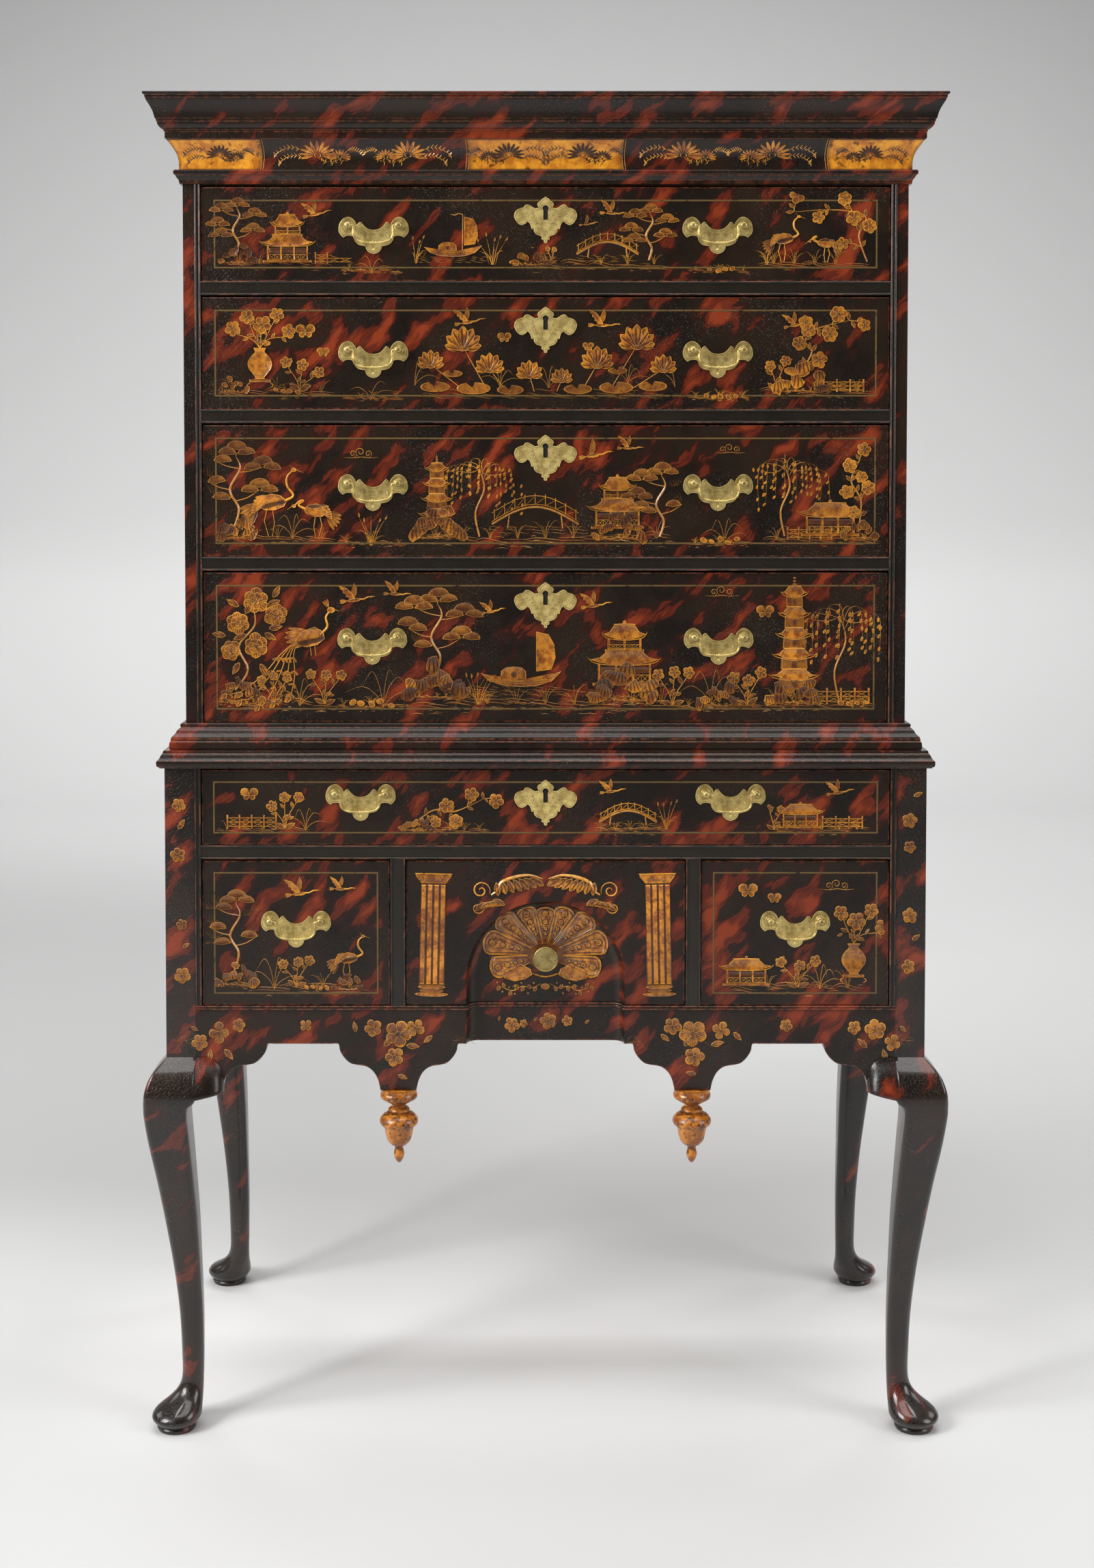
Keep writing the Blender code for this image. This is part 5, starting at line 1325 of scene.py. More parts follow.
class Relief:
    """Raised work on one face: closed domed dabs and ridged lines, all in one mesh.

    Place turns (x, z, height) into a point. Tone is how near a vertex lies to a crest, gilt how bright the
    gold is, and local holds (along, across, hatch) of a dab, or LINE_MARK on a line.
    """

    def __init__(self, place, low, high, kept_clear=(), curved=False):
        self.bm = bmesh.new()
        self.curved = curved
        self.tone = self.bm.verts.layers.float.new("tone")
        self.gilt = self.bm.verts.layers.float.new("gilt")
        self.local = self.bm.verts.layers.float_vector.new("local")
        self.place = place
        self.low, self.high = low, high
        self.kept_clear = kept_clear

    def blocked(self, points):
        """True if any point leaves the face or comes under a brass."""
        for x, z in points:
            if not (self.low[0] < x < self.high[0] and self.low[1] < z < self.high[1]):
                return True
            if any(x0 < x < x1 and z0 < z < z1 for x0, z0, x1, z1 in self.kept_clear):
                return True
        return False

    def vertex(self, x, z, height, tone, gilt, local=(0.0, 0.0, 0.0)):
        made = self.bm.verts.new(self.place(x, z, height))
        made[self.tone], made[self.gilt], made[self.local] = tone, gilt, local
        return made

    def dab(self, outline, rise, gilt, hatch, root, tip, lift=0.0):
        """A domed patch, hatched with lines that fan out from its root to its tip."""
        if self.blocked(outline):
            return
        count = len(outline)
        cx, cz = sum(x for x, z in outline) / count, sum(z for x, z in outline) / count
        radius = sum(hypot(x - cx, z - cz) for x, z in outline) / count
        length = hypot(tip[0] - root[0], tip[1] - root[1]) or 1.0
        ux, uz = (tip[0] - root[0]) / length, (tip[1] - root[1]) / length
        rows, backs = [], []

        def add_vertex(x, z, height, tone):
            along = ((x - root[0]) * ux + (z - root[1]) * uz) / length
            across = ((z - root[1]) * ux - (x - root[0]) * uz) / length
            return self.vertex(x, z, height, tone, gilt, (along, across, hatch))

        # The foot ring (tone 0) takes the gilding's dark line, partly outline and partly painted shadow; the
        # rim ring (tone 0.4) takes its painted highlight.
        stages = [(0.0, -SINK, 0.0), (min(0.00060, radius * 0.2), rise * 0.95, 0.4),
                  (min(0.0015, radius * 0.42), rise * 0.76, 0.85)]
        front = len(stages)
        if self.curved and radius > 0.008:
            inner = (0.18, 0.32, 0.46, 0.60, 0.75)
            stages += [(radius * share, rise * (0.78 + 0.2 * share), 0.9) for share in inner]
            front = len(stages)
            stages += [(radius * share, -SINK, 0.0) for share in inner]
        for number, (shrink, high, tone) in enumerate(stages):
            row = [add_vertex(x + (cx - x) * shrink / radius, z + (cz - z) * shrink / radius, lift + high,
                              tone)
                   for x, z in outline]
            (rows if number < front else backs).append(row)
        middle = add_vertex(cx, cz, lift + rise * 0.96, 1.0)
        bridge_rows(self.bm, rows)
        for index in range(count):
            self.bm.faces.new((rows[-1][index], rows[-1][(index + 1) % count], middle))
        backs = [rows[0]] + backs
        for row, following in zip(backs, backs[1:]):
            for index in range(count):
                after = (index + 1) % count
                self.bm.faces.new((row[after], row[index], following[index], following[after]))
        self.bm.faces.new(backs[-1])

    def line(self, points, width, rise, gilt, tone, ends, lift=0.0):
        """A ridged line that tapers towards its ends by the given shares."""
        if len(points) < 2 or self.blocked(points):
            return
        rows = []
        last = len(points) - 1
        for index, (x, z) in enumerate(points):
            before, after = points[max(index - 1, 0)], points[min(index + 1, last)]
            tx, tz = after[0] - before[0], after[1] - before[1]
            length = hypot(tx, tz) or 1.0
            share = index / last
            end, inward = (ends[0], share) if share < 0.5 else (ends[1], 1 - share)
            taper = end + (1 - end) * min(inward * 3, 1)
            half = width * taper / 2
            nx, nz = -tz / length * half, tx / length * half
            # The sides' lower tone darkens a line's edges: partly outline, partly painted shadow.
            row = [self.vertex(x + nx, z + nz, lift - SINK, tone * 0.5, gilt, LINE_MARK),
                   self.vertex(x, z, lift + rise * taper, tone, gilt, LINE_MARK),
                   self.vertex(x - nx, z - nz, lift - SINK, tone * 0.5, gilt, LINE_MARK)]
            rows.append(row)
        bridge_rows(self.bm, rows)
        self.bm.faces.new(rows[0])
        self.bm.faces.new(rows[-1])

    def finish(self, name, body, material=GOLD):
        piece(name, self.bm, 60, material, "gilt_wood", body=body)


class Pen:
    """Draws on a relief in units of its own: moved, scaled, turned and mirrored."""

    def __init__(self, relief, x=0.0, z=0.0, size=0.001, angle=0.0, flip=1):
        self.relief, self.x, self.z, self.size, self.angle, self.flip = relief, x, z, size, angle, flip

    def at(self, point):
        u, v = point
        c, s = cos(self.angle), sin(self.angle)
        return (self.x + self.flip * self.size * (u * c - v * s), self.z + self.size * (u * s + v * c))

    def move(self, u, v, size=1.0, angle=0.0, flip=1):
        x, z = self.at((u, v))
        turn = radians(angle)
        if flip > 0:
            heading = self.angle + turn
        else:
            heading = -self.angle - turn * self.flip
        return Pen(self.relief, x, z, self.size * size, heading, self.flip * flip)

    def dab(self, outline, rise=1.1, gilt=1.0, hatch=0.0, root=(0.0, 0.0), tip=(1.0, 0.0), lift=0.0):
        points = [self.at(point) for point in outline]
        self.relief.dab(points, rise * 0.001, gilt, hatch, self.at(root), self.at(tip), lift * 0.001)

    def line(self, points, width=0.8, rise=0.5, gilt=0.9, tone=0.8, ends=(0.3, 0.3), lift=0.0):
        self.relief.line([self.at(point) for point in points], width * 0.001, rise * 0.001, gilt, tone, ends,
                         lift * 0.001)

    def curve(self, points, width=0.8, steps=4, **looks):
        self.line(spline(points, steps), width, **looks)


# Outlines in units: a leaf runs from zero to one along its stalk


def leaf(width=0.28, fat=0.85, blunt=1.0, steps=6):
    shares = [(1 - cos(pi * step / steps)) / 2 for step in range(1, steps)]
    half = [(t, width * sin(pi * t ** fat) ** blunt) for t in shares]
    return [(0.0, 0.0)] + half + [(1.0, 0.0)] + [(u, -v) for u, v in reversed(half)]


def oval(width, height, x=0.0, z=0.0, sides=12):
    return [(x + width * cos(a), z + height * sin(a)) for a in turns(sides)]


def bar(x0, z0, x1, z1, half):
    """A straight bar between two points, as an outline."""
    length = hypot(x1 - x0, z1 - z0)
    nx, nz = -(z1 - z0) / length * half, (x1 - x0) / length * half
    middle = ((x0 + x1) / 2, (z0 + z1) / 2)
    return [(x0 + nx, z0 + nz), (x0 - nx, z0 - nz), (middle[0] - nx, middle[1] - nz), (x1 - nx, z1 - nz),
            (x1 + nx, z1 + nz), (middle[0] + nx, middle[1] + nz)]


PETAL = leaf(0.44, 1.5, 0.62)
BROAD_PETAL = leaf(0.56, 1.7, 0.55)
LEAF = leaf(0.24, 0.85)
FEATHER = leaf(0.13, 1.2, 0.8)


# Motifs


def blossom(pen, petals=5, gilt=0.9):
    """A flat flower with an eye."""
    start = vary(0, 360)
    for index in range(petals):
        turn = start + 360 * index / petals + vary(-5, 5)
        pen.move(0, 0, vary(0.92, 1.05), turn).dab(PETAL, 1.2, gilt * vary(0.8, 1.1), 46)
    pen.move(0, 0, 1, vary(-30, 30)).dab(oval(0.27, 0.21), 1.7, gilt * 0.45, 30, (-0.4, 0), (0.6, 0))


def single_leaf(pen, gilt=0.7):
    """A leaf with its rib."""
    pen.dab(LEAF, 1.1, gilt, 34)
    pen.line([(0.04, 0), (0.5, 0.0), (0.9, 0)], 0.5, 0.12, 0.2, 0.1, lift=1.0)


def peony(pen):
    """A full flower: lobed outer petals, a ring of smaller ones and a dark eye."""
    rounds = ((6, 1.0, 1.0, PETAL), (5, 0.62, 1.5, BROAD_PETAL), (3, 0.34, 1.9, BROAD_PETAL))
    for petals, size, rise, shape in rounds:
        start = vary(0, 360)
        for index in range(petals):
            turned_pen = pen.move(0, 0, size * vary(0.88, 1.08), start + 360 * index / petals)
            turned_pen.dab(shape, rise, 0.85 * vary(0.6, 1.2), 34)
    pen.dab(oval(0.10, 0.10), 2.2, 0.2)


def lotus(pen, gilt=0.9):
    """A flower seen from its side: petals fanned above a cup."""
    for turn, size, rise in ((12, 0.86, 0.9), (168, 0.86, 0.9), (38, 0.98, 1.2), (142, 0.98, 1.2),
                             (64, 1.05, 1.5),
                             (116, 1.05, 1.5), (90, 1.08, 1.8)):
        pen.move(0, 0, size, turn).dab(leaf(0.25, 1.25, 0.85), rise, gilt * vary(0.8, 1.1), 34)
    pen.dab(oval(0.30, 0.12, 0, 0.02), 2.0, gilt * 0.5)


def stem(pen, points, width=1.0, leaves=4, leaf_size=0.2, gilt=0.75):
    """A stalk with leaves on both sides in turn."""
    path = spline(points, 5)
    pen.line(path, width, 0.6, gilt, 0.75, (1.0, 0.3))
    for index in range(leaves):
        spot = path[int(len(path) * (index + 1) / (leaves + 1))]
        ahead = path[min(int(len(path) * (index + 1) / (leaves + 1)) + 1, len(path) - 1)]
        heading = degrees(atan2(ahead[1] - spot[1], ahead[0] - spot[0]))
        side = 1 if index % 2 else -1
        single_leaf(pen.move(*spot, leaf_size * vary(0.8, 1.2), heading + side * vary(38, 62)),
                    gilt * vary(0.6, 1.1))
    return path


def spray(pen, flowers, gilt=0.85):
    """Flowers on bending stalks that rise from one root."""
    for index in range(flowers):
        lean = (index - (flowers - 1) / 2) * 0.42 + vary(-0.08, 0.08)
        tall = vary(0.62, 1.0) - abs(lean) * 0.25
        stem(pen, [(0, 0), (lean * 0.25, tall * 0.4), (lean * 0.8, tall * 0.8), (lean, tall)], 0.9, 3, 0.22,
             gilt)
        blossom(pen.move(lean, tall, 0.17), rng.choice((5, 5, 6)), gilt)
    for side in (-1, 1):
        single_leaf(pen.move(0, 0.02, 0.34, 90 - side * vary(48, 70)), gilt * 0.8)


def grass(pen, blades=7, width=0.55, gilt=0.85):
    """Curved blades that spread from one root."""
    for index in range(blades):
        lean = (index - (blades - 1) / 2) / blades * 1.9 + vary(-0.12, 0.12)
        tall = vary(0.55, 1.0)
        points = [(lean * 0.06, 0), (lean * 0.25, tall * 0.55), (lean * 0.62, tall * 0.9),
                  (lean * 0.95, tall * vary(0.78, 1.0))]
        pen.curve(points, width, 3, rise=0.28, gilt=gilt, tone=0.7, ends=(0.9, 0.15))


def reeds(pen, count):
    """Stalks with long seed heads over grass."""
    for index in range(count):
        lean = (index - (count - 1) / 2) * 0.16 + vary(-0.05, 0.05)
        tall = vary(0.7, 1.0)
        pen.curve([(lean * 0.3, 0), (lean * 0.6, tall * 0.5), (lean * 1.3, tall)], 0.6, 3, rise=0.35,
                  gilt=0.8)
        pen.move(lean * 1.3, tall, 0.16, 80 - lean * 60).dab(leaf(0.2, 1, 0.7), 1.0, 0.6)
    grass(pen.move(0, 0, 0.55), 7)


def ground(pen, width, gilt=0.6):
    """A thin brown wash with short strokes of gold and low grass along a piece of ground."""
    count = max(int(width / 0.17), 2)
    for index in range(count):
        x = (index + 0.5) / count * width - width / 2
        half = width / count * vary(0.5, 0.8)
        drop = vary(-0.03, 0.02)
        wash = [(x - half, drop), (x - half * 0.4, drop + vary(0.0, 0.03)), (x + half * 0.4, drop),
                (x + half, drop - 0.01)]
        pen.curve(wash, vary(2.0, 3.6), 3, rise=0.12, gilt=0.12, tone=0.45, ends=(0.1, 0.1))
        pen.curve([(u, v + 0.02) for u, v in wash], 0.8, 3, rise=0.35, gilt=gilt * vary(0.5, 1.2), tone=0.6)
        if rng.random() < 0.8:
            grass(pen.move(x, 0.01, vary(0.08, 0.17)), rng.choice((4, 5, 6)), 0.42, 0.8)
    for index in range(count * 4):
        x, z = vary(-width / 2, width / 2), vary(-0.06, 0.03)
        reach = vary(0.015, 0.05)
        pen.line([(x - reach, z), (x, z + 0.006), (x + reach, z)], vary(0.4, 0.9), 0.2, vary(0.3, 0.9), 0.6)


def rock(pen, gilt=0.7, count=7):
    """A heap of hollowed, jagged stones, taller at its middle, with contour lines on each."""
    count = int(count * 1.5)
    for index in range(count):
        share = index / (count - 1)
        x = (share - 0.5) * 1.1 + vary(-0.08, 0.08)
        z = 0.08 + 0.60 * (1 - (2 * share - 1) ** 2) * vary(0.25, 1.0)
        half = vary(0.11, 0.21)
        tall = vary(0.10, 0.22)
        lean = vary(-0.5, 0.5)
        outline = []
        for step in range(11):
            angle = 2 * pi * step / 11
            reach = vary(0.72, 1.18)
            v = tall * sin(angle) * reach
            outline.append((x + half * cos(angle) * reach + lean * v, z + v))
        tone = gilt * vary(0.15, 1.25)
        pen.dab(outline, vary(0.9, 1.9), tone, 34, (x - lean * 0.2, z + tall * 1.5), (x, z - tall))
        for step in range(2):
            reach = 0.62 - 0.30 * step
            contour = arc((x, z - tall * 0.1), 1.0, 195, 330, 5)
            contour = [(x + (u - x) * half * reach, z - tall * 0.1 + (v - z + tall * 0.1) * tall * reach)
                       for u, v in contour]
            pen.line(contour, 0.5, 0.2, 0.95 if step else 0.1, 0.8 if step else 0.05, lift=0.95)
    ground(pen.move(0, 0.0), 1.3, gilt)


def trunk(pen, points, width, gilt=0.45):
    """A rising stem with short dark strokes of bark."""
    path = spline(points, 5)
    pen.line(path, width, 1.3, gilt, 0.75, (1.0, 0.25))
    for index in range(2, len(path) - 2, 3):
        x, z = path[index]
        pen.line([(x - 0.012, z - 0.012), (x + 0.012, z + 0.004)], 0.4, 0.15, 0.1, 0.05, lift=1.2)
    return path


def needle_fan(pen, gilt=0.65):
    """A half-round cluster of pine needles."""
    outline = [(0.0, -0.12)] + [(cos(a), sin(a) * 0.62) for a in (pi * k / 10 for k in range(11))]
    pen.dab([(u * 0.5, v * 0.62) for u, v in outline], 1.2, gilt * vary(0.6, 1.2), 60, (0, -0.12), (0, 0.5))
    for index in range(9):
        angle = pi * (index + 0.5) / 9
        pen.line([(0.1 * cos(angle), 0.06 * sin(angle)), (0.56 * cos(angle), 0.43 * sin(angle))], 0.4, 0.2,
                 0.95, 0.9, lift=0.9)


def pine_tree(pen, gilt=0.65):
    """A leaning pine with flat fans of needles."""
    path = trunk(pen, [(0, 0), (0.06, 0.25), (-0.06, 0.5), (0.08, 0.78), (0.02, 0.95)], 3.2)
    for start, u, v in ((0.35, 0.34, 0.50), (0.5, -0.36, 0.62), (0.68, 0.38, 0.80), (0.75, -0.28, 0.90),
                        (1.0, 0.04, 1.0), (0.4, -0.30, 0.40)):
        x, z = path[min(int(start * len(path)), len(path) - 1)]
        pen.curve([(x, z), ((x + u) / 2, z + (v - z) * 0.3), (u, v)], 1.5, 3, rise=0.8, gilt=0.45,
                  ends=(1, 0.4))
        for shift, lift_up, size in ((-0.13, -0.02, 0.24), (0.13, -0.02, 0.24), (0.0, 0.05, 0.28)):
            needle_fan(pen.move(u + shift, v + lift_up, size, vary(-8, 8)), gilt)


def willow(pen, gilt=0.85):
    """A tree of fine hanging twigs."""
    path = trunk(pen, [(0, 0), (-0.05, 0.3), (0.06, 0.6), (0.0, 0.85)], 2.6)
    for index in range(9):
        lean = (index - 4) / 4
        top = 0.98 - 0.16 * lean * lean + vary(-0.03, 0.03)
        x, z = path[-1 - (index % 4)]
        crest = (lean * 0.34, top)
        pen.curve([(x, z), (x + lean * 0.12, top - 0.03), crest], 0.9, 3, rise=0.5, gilt=0.6)
        for shift in (0.0, 0.10):
            end = lean * (0.44 + shift)
            drop = top - vary(0.32, 0.55)
            twig = spline([crest, (end * 0.95, top - 0.06), (end, (top + drop) / 2),
                           (end + vary(-0.02, 0.02), drop)], 4)
            pen.line(twig, 0.45, 0.25, gilt, 0.8)
            for spot in twig[4::2]:
                pen.move(*spot, 0.055, 250 + vary(-25, 25)).dab(leaf(0.3, 1.0, 0.8, 3), 0.6, gilt)


def roof(pen, width, height, gilt=0.9, tiles=11):
    """A hipped roof with raised corners, ridge and rows of tiles."""
    half = width / 2
    outline = [(-half * 1.12, height * 0.30), (-half * 0.85, 0.02), (-half * 0.4, -0.015), (0, -0.02),
               (half * 0.4, -0.015),
               (half * 0.85, 0.02), (half * 1.12, height * 0.30), (half * 0.80, height * 0.45),
               (half * 0.55, height * 0.95),
               (0, height), (-half * 0.55, height * 0.95), (-half * 0.80, height * 0.45)]
    pen.dab(outline, 1.3, gilt, 0)
    for index in range(tiles):
        share = (index + 0.5) / tiles * 2 - 1
        pen.line([(share * half * 0.90, 0.0), (share * half * 0.52, height * 0.90)], 0.5, 0.2, 0.15, 0.1,
                 lift=1.15)
    pen.line([(-half * 0.56, height), (0, height * 1.03), (half * 0.56, height)], 1.5, 1.0, gilt, 1.0,
             (0.8, 0.8), lift=0.8)
    pen.curve([(-half * 1.18, height * 0.42), (-half * 0.9, 0.0), (0, -0.03), (half * 0.9, 0.0),
               (half * 1.18, height * 0.42)],
              1.2, 3, rise=1.2, gilt=gilt, tone=1.0, ends=(0.4, 0.4), lift=0.5)


def lattice(pen, x0, z0, x1, z1, cells=3, gilt=0.85):
    """A crossed panel between two posts."""
    pen.line([(x0, z1), (x1, z1)], 0.8, 0.6, gilt, 0.9, (1, 1))
    pen.line([(x0, z0), (x1, z0)], 0.8, 0.6, gilt, 0.9, (1, 1))
    step = (x1 - x0) / cells
    for index in range(cells):
        left = x0 + step * index
        pen.line([(left, z0), (left + step, z1)], 0.55, 0.4, gilt, 0.8, (1, 1))
        pen.line([(left, z1), (left + step, z0)], 0.55, 0.4, gilt, 0.8, (1, 1))
        pen.line([(left, z0), (left, z1)], 0.6, 0.45, gilt, 0.85, (1, 1))


def pavilion(pen, storeys, gilt=0.9):
    """An open garden house with lattice rails under a tiled roof."""
    base = 0.0
    width = 0.86
    for storey in range(storeys):
        half = width / 2
        tall = 0.27 if storey == 0 else 0.15
        pen.dab(bar(-half * 1.08, base + 0.02, half * 1.08, base + 0.02, 0.022), 1.2, gilt * 0.7)
        count = 4 if storey == 0 else 3
        for index in range(count):
            x = -half * 0.86 + 2 * half * 0.86 * index / (count - 1)
            pen.dab(bar(x, base + 0.04, x, base + 0.04 + tall, 0.017), 1.1, gilt)
            if index < count - 1:
                lattice(pen, x + 0.02, base + 0.05, x + 2 * half * 0.86 / (count - 1) - 0.02,
                        base + 0.05 + tall * 0.38, 2)
        pen.dab([(-half * 0.8, base + 0.06 + tall * 0.45), (half * 0.8, base + 0.06 + tall * 0.45),
                 (half * 0.8, base + tall),
                 (-half * 0.8, base + tall)], 0.5, 0.1)
        roof(pen.move(0, base + tall + 0.05), width * 1.05, 0.20, gilt)
        base += tall + 0.22
        width *= 0.62
    pen.line([(0, base - 0.02), (0, base + 0.10)], 1.4, 1.1, gilt, 1.0)
    pen.dab(oval(0.03, 0.03, 0, base + 0.06), 1.5, gilt)


def pagoda(pen, storeys, gilt=0.9):
    """A tower of like storeys, each smaller than the one below, under a spire with rings."""
    base, width = 0.0, 0.42
    for _ in range(storeys):
        half, tall = width * 0.36, 0.115
        pen.dab([(-half, base), (half, base), (half * 0.95, base + tall), (-half * 0.95, base + tall)], 0.9,
                gilt * 0.45)
        pen.dab(oval(half * 0.24, tall * 0.34, 0, base + tall * 0.45, 10), 1.3, 0.12)
        for side in (-1, 1):
            pen.line([(side * half * 0.9, base), (side * half * 0.86, base + tall)], 0.9, 1.2, gilt, 0.9,
                     (1, 1))
        roof(pen.move(0, base + tall), width, 0.085, gilt, 7)
        base += tall + 0.085
        width *= 0.86
    pen.line([(0, base - 0.01), (0, base + 0.12)], 1.2, 1.0, gilt, 1.0, (1, 0.2))
    for index in range(3):
        pen.dab(oval(0.022 - 0.004 * index, 0.010, 0, base + 0.02 + 0.03 * index, 8), 1.3, gilt)


def fence(pen, length=1.0, gilt=0.8):
    """Posts with balls on them, and crossed panels between."""
    posts = max(int(length / 0.24), 2)
    wide = length / posts
    for index in range(posts + 1):
        x = length * index / posts
        pen.dab(bar(x, -0.02, x, 0.25, 0.016), 1.2, gilt)
        pen.dab(oval(0.024, 0.018, x, 0.26, 8), 1.4, gilt)
        if index < posts:
            for first, second in ((0.03, 0.12), (0.12, 0.03), (0.12, 0.21), (0.21, 0.12)):
                pen.line([(x + 0.02, first), (x + wide - 0.02, second)], 0.6, 0.4, gilt, 0.8, (1, 1))
            for level in (0.03, 0.12, 0.21):
                pen.line([(x, level), (x + wide, level)], 0.8, 0.7, gilt, 0.9, (1, 1))


def bridge(pen, gilt=0.85):
    """A humped bridge with railings."""
    def deck(t, lift_up=0.0):
        return (t - 0.5, 0.20 * sin(pi * t) + lift_up)
    steps = [k / 12 for k in range(13)]
    pen.line([deck(t) for t in steps], 3.2, 1.4, gilt * 0.6, 0.8, (0.9, 0.9))
    pen.line([deck(t, 0.03) for t in steps], 1.0, 1.5, gilt, 1.0, (0.9, 0.9))
    pen.line([deck(t, 0.13) for t in steps], 1.0, 0.8, gilt, 1.0, (0.9, 0.9))
    for index in range(9):
        x, z = deck((index + 0.25) / 8.5, 0.03)
        pen.line([(x, z), (x, z + 0.125)], 1.0, 0.9, gilt, 0.95, (1, 1))
    for index in range(8):
        x, z = deck((index + 0.3) / 8.5, 0.03)
        x1, z1 = deck((index + 1.2) / 8.5, 0.03)
        pen.line([(x, z), (x1, z1 + 0.09)], 0.5, 0.4, gilt, 0.8, (1, 1))
    for side in (-0.3, 0.3):
        pen.line([(side, 0.10), (side * 1.06, -0.05)], 1.8, 1.0, gilt * 0.6, 0.8, (1, 1))
    water(pen.move(0, -0.03), 1.1, 3)


def water(pen, width, rows, gilt=0.7):
    """Rows of short ripples."""
    for row in range(rows):
        z = -0.035 * row
        start = -width / 2 + vary(0, 0.08)
        while start < width / 2 - 0.1:
            length = vary(0.10, 0.24)
            pts = [(start + length * t, z + 0.007 * sin(2 * pi * t)) for t in (0, 0.2, 0.4, 0.6, 0.8, 1.0)]
            pen.line(pts, 0.5, 0.22, gilt, 0.7)
            start += length + vary(0.02, 0.10)


def boat(pen, gilt=0.85):
    """A sailing boat with an arched cabin and a ribbed sail."""
    hull = [(-0.60, 0.12), (-0.47, 0.0), (-0.25, -0.07), (0.0, -0.085), (0.25, -0.07), (0.47, 0.0),
            (0.62, 0.15), (0.42, 0.055),
            (0.2, 0.03), (0.0, 0.025), (-0.2, 0.03), (-0.42, 0.05)]
    pen.dab(hull, 1.5, gilt * 0.8, 0)
    for level in (0.0, -0.03):
        pen.curve([(-0.44, 0.02 + level), (0, -0.02 + level), (0.44, 0.02 + level)], 0.5, 4, rise=0.2,
                  gilt=0.1, tone=0.05, lift=1.45)
    cabin = [(-0.30, 0.03), (-0.29, 0.15), (-0.22, 0.205), (-0.10, 0.22), (0.02, 0.205), (0.08, 0.15),
             (0.09, 0.03)]
    pen.dab(cabin, 1.2, gilt * 0.9, 0)
    for share in (-0.24, -0.17, -0.10, -0.03, 0.04):
        pen.line([(share, 0.04), (share, 0.19)], 0.5, 0.2, 0.1, 0.05, lift=1.1)
    pen.dab(oval(0.05, 0.055, -0.10, 0.10, 10), 1.5, 0.1)
    pen.line([(0.20, 0.02), (0.21, 0.78)], 1.4, 1.1, gilt, 0.95, (1, 0.5))
    sail = [(0.23, 0.14), (0.46, 0.17), (0.52, 0.35), (0.50, 0.55), (0.42, 0.70), (0.23, 0.74)]
    pen.dab(sail, 1.0, gilt, 0)
    for index in range(5):
        z = 0.22 + 0.11 * index
        pen.line([(0.235, z), (0.50 - 0.012 * index * index, z + 0.02)], 0.6, 0.35, 0.15, 0.1, lift=0.85)
    pen.curve([(0.21, 0.78), (0.12, 0.80), (0.04, 0.77), (-0.05, 0.79)], 1.2, 4, rise=0.7, gilt=gilt,
              ends=(1, 0.2))
    pen.line([(-0.50, 0.09), (-0.62, -0.10)], 1.0, 0.8, gilt, 0.9)
    water(pen.move(0, -0.09), 1.5, 4)


def wing(pen, feathers, start, end, length, gilt):
    """Two rows of feathers, fanned from one angle to another."""
    for index in range(feathers):
        share = index / (feathers - 1)
        size = length * (0.62 + 0.38 * sin(pi * (0.25 + 0.6 * share)))
        feather = pen.move(0, 0, size, start + (end - start) * share)
        feather.dab(leaf(0.10, 1.25, 0.75), 1.1 + 0.5 * share, gilt * vary(0.75, 1.1), 22)
    for index in range(feathers - 1):
        share = index / (feathers - 1)
        feather = pen.move(0, 0, length * 0.46, start + (end - start) * (share + 0.06))
        feather.dab(leaf(0.16, 1.2, 0.7, 5), 1.7, gilt * 0.7, 20)


def bird_flying(pen, gilt=0.9):
    """Body and neck stretched to the right, wings raised, legs trailing."""
    pen.dab([(0.26, 0.04), (0.36, 0.22), (0.38, 0.40), (0.30, 0.58), (0.22, 0.40), (0.16, 0.22),
             (0.12, 0.05)], 1.0, gilt * 0.55)
    pen.dab([(0.0, -0.01), (0.12, 0.050), (0.28, 0.075), (0.42, 0.055), (0.50, 0.02), (0.42, -0.035),
             (0.28, -0.055), (0.12, -0.045)],
            1.5, gilt, 26, (-0.2, 0), (0.5, 0))
    neck = spline([(0.44, 0.02), (0.58, 0.02), (0.70, 0.07), (0.80, 0.08)], 4)
    pen.line(neck, 1.9, 1.4, gilt, 0.95, (1.3, 0.6))
    pen.dab(oval(0.040, 0.028, 0.83, 0.082, 9), 1.6, gilt)
    pen.line([(0.86, 0.082), (0.96, 0.070)], 0.8, 0.7, gilt, 0.9, (1, 0.1))
    pen.dab([(0.32, 0.03), (0.22, 0.24), (0.04, 0.42), (-0.22, 0.52), (-0.16, 0.40), (-0.08, 0.34),
             (-0.09, 0.27), (0.0, 0.22), (0.0, 0.15),
             (0.10, 0.10), (0.12, 0.02)], 1.8, gilt)
    for reach in (0.0, 0.33, 0.66):
        pen.line([(0.22 - 0.08 * reach, 0.08 + 0.10 * reach), (0.06 - 0.10 * reach, 0.24 + 0.10 * reach),
                  (-0.08, 0.30 + 0.12 * reach)],
                 0.45, 0.2, 0.1, 0.05, lift=1.5)
    for turn in (174, 186, 198):
        pen.move(0.04, 0, 0.26, turn).dab(FEATHER, 1.0, gilt * 0.8)
    pen.line([(0.08, -0.03), (-0.28, -0.07)], 0.6, 0.4, gilt, 0.8)


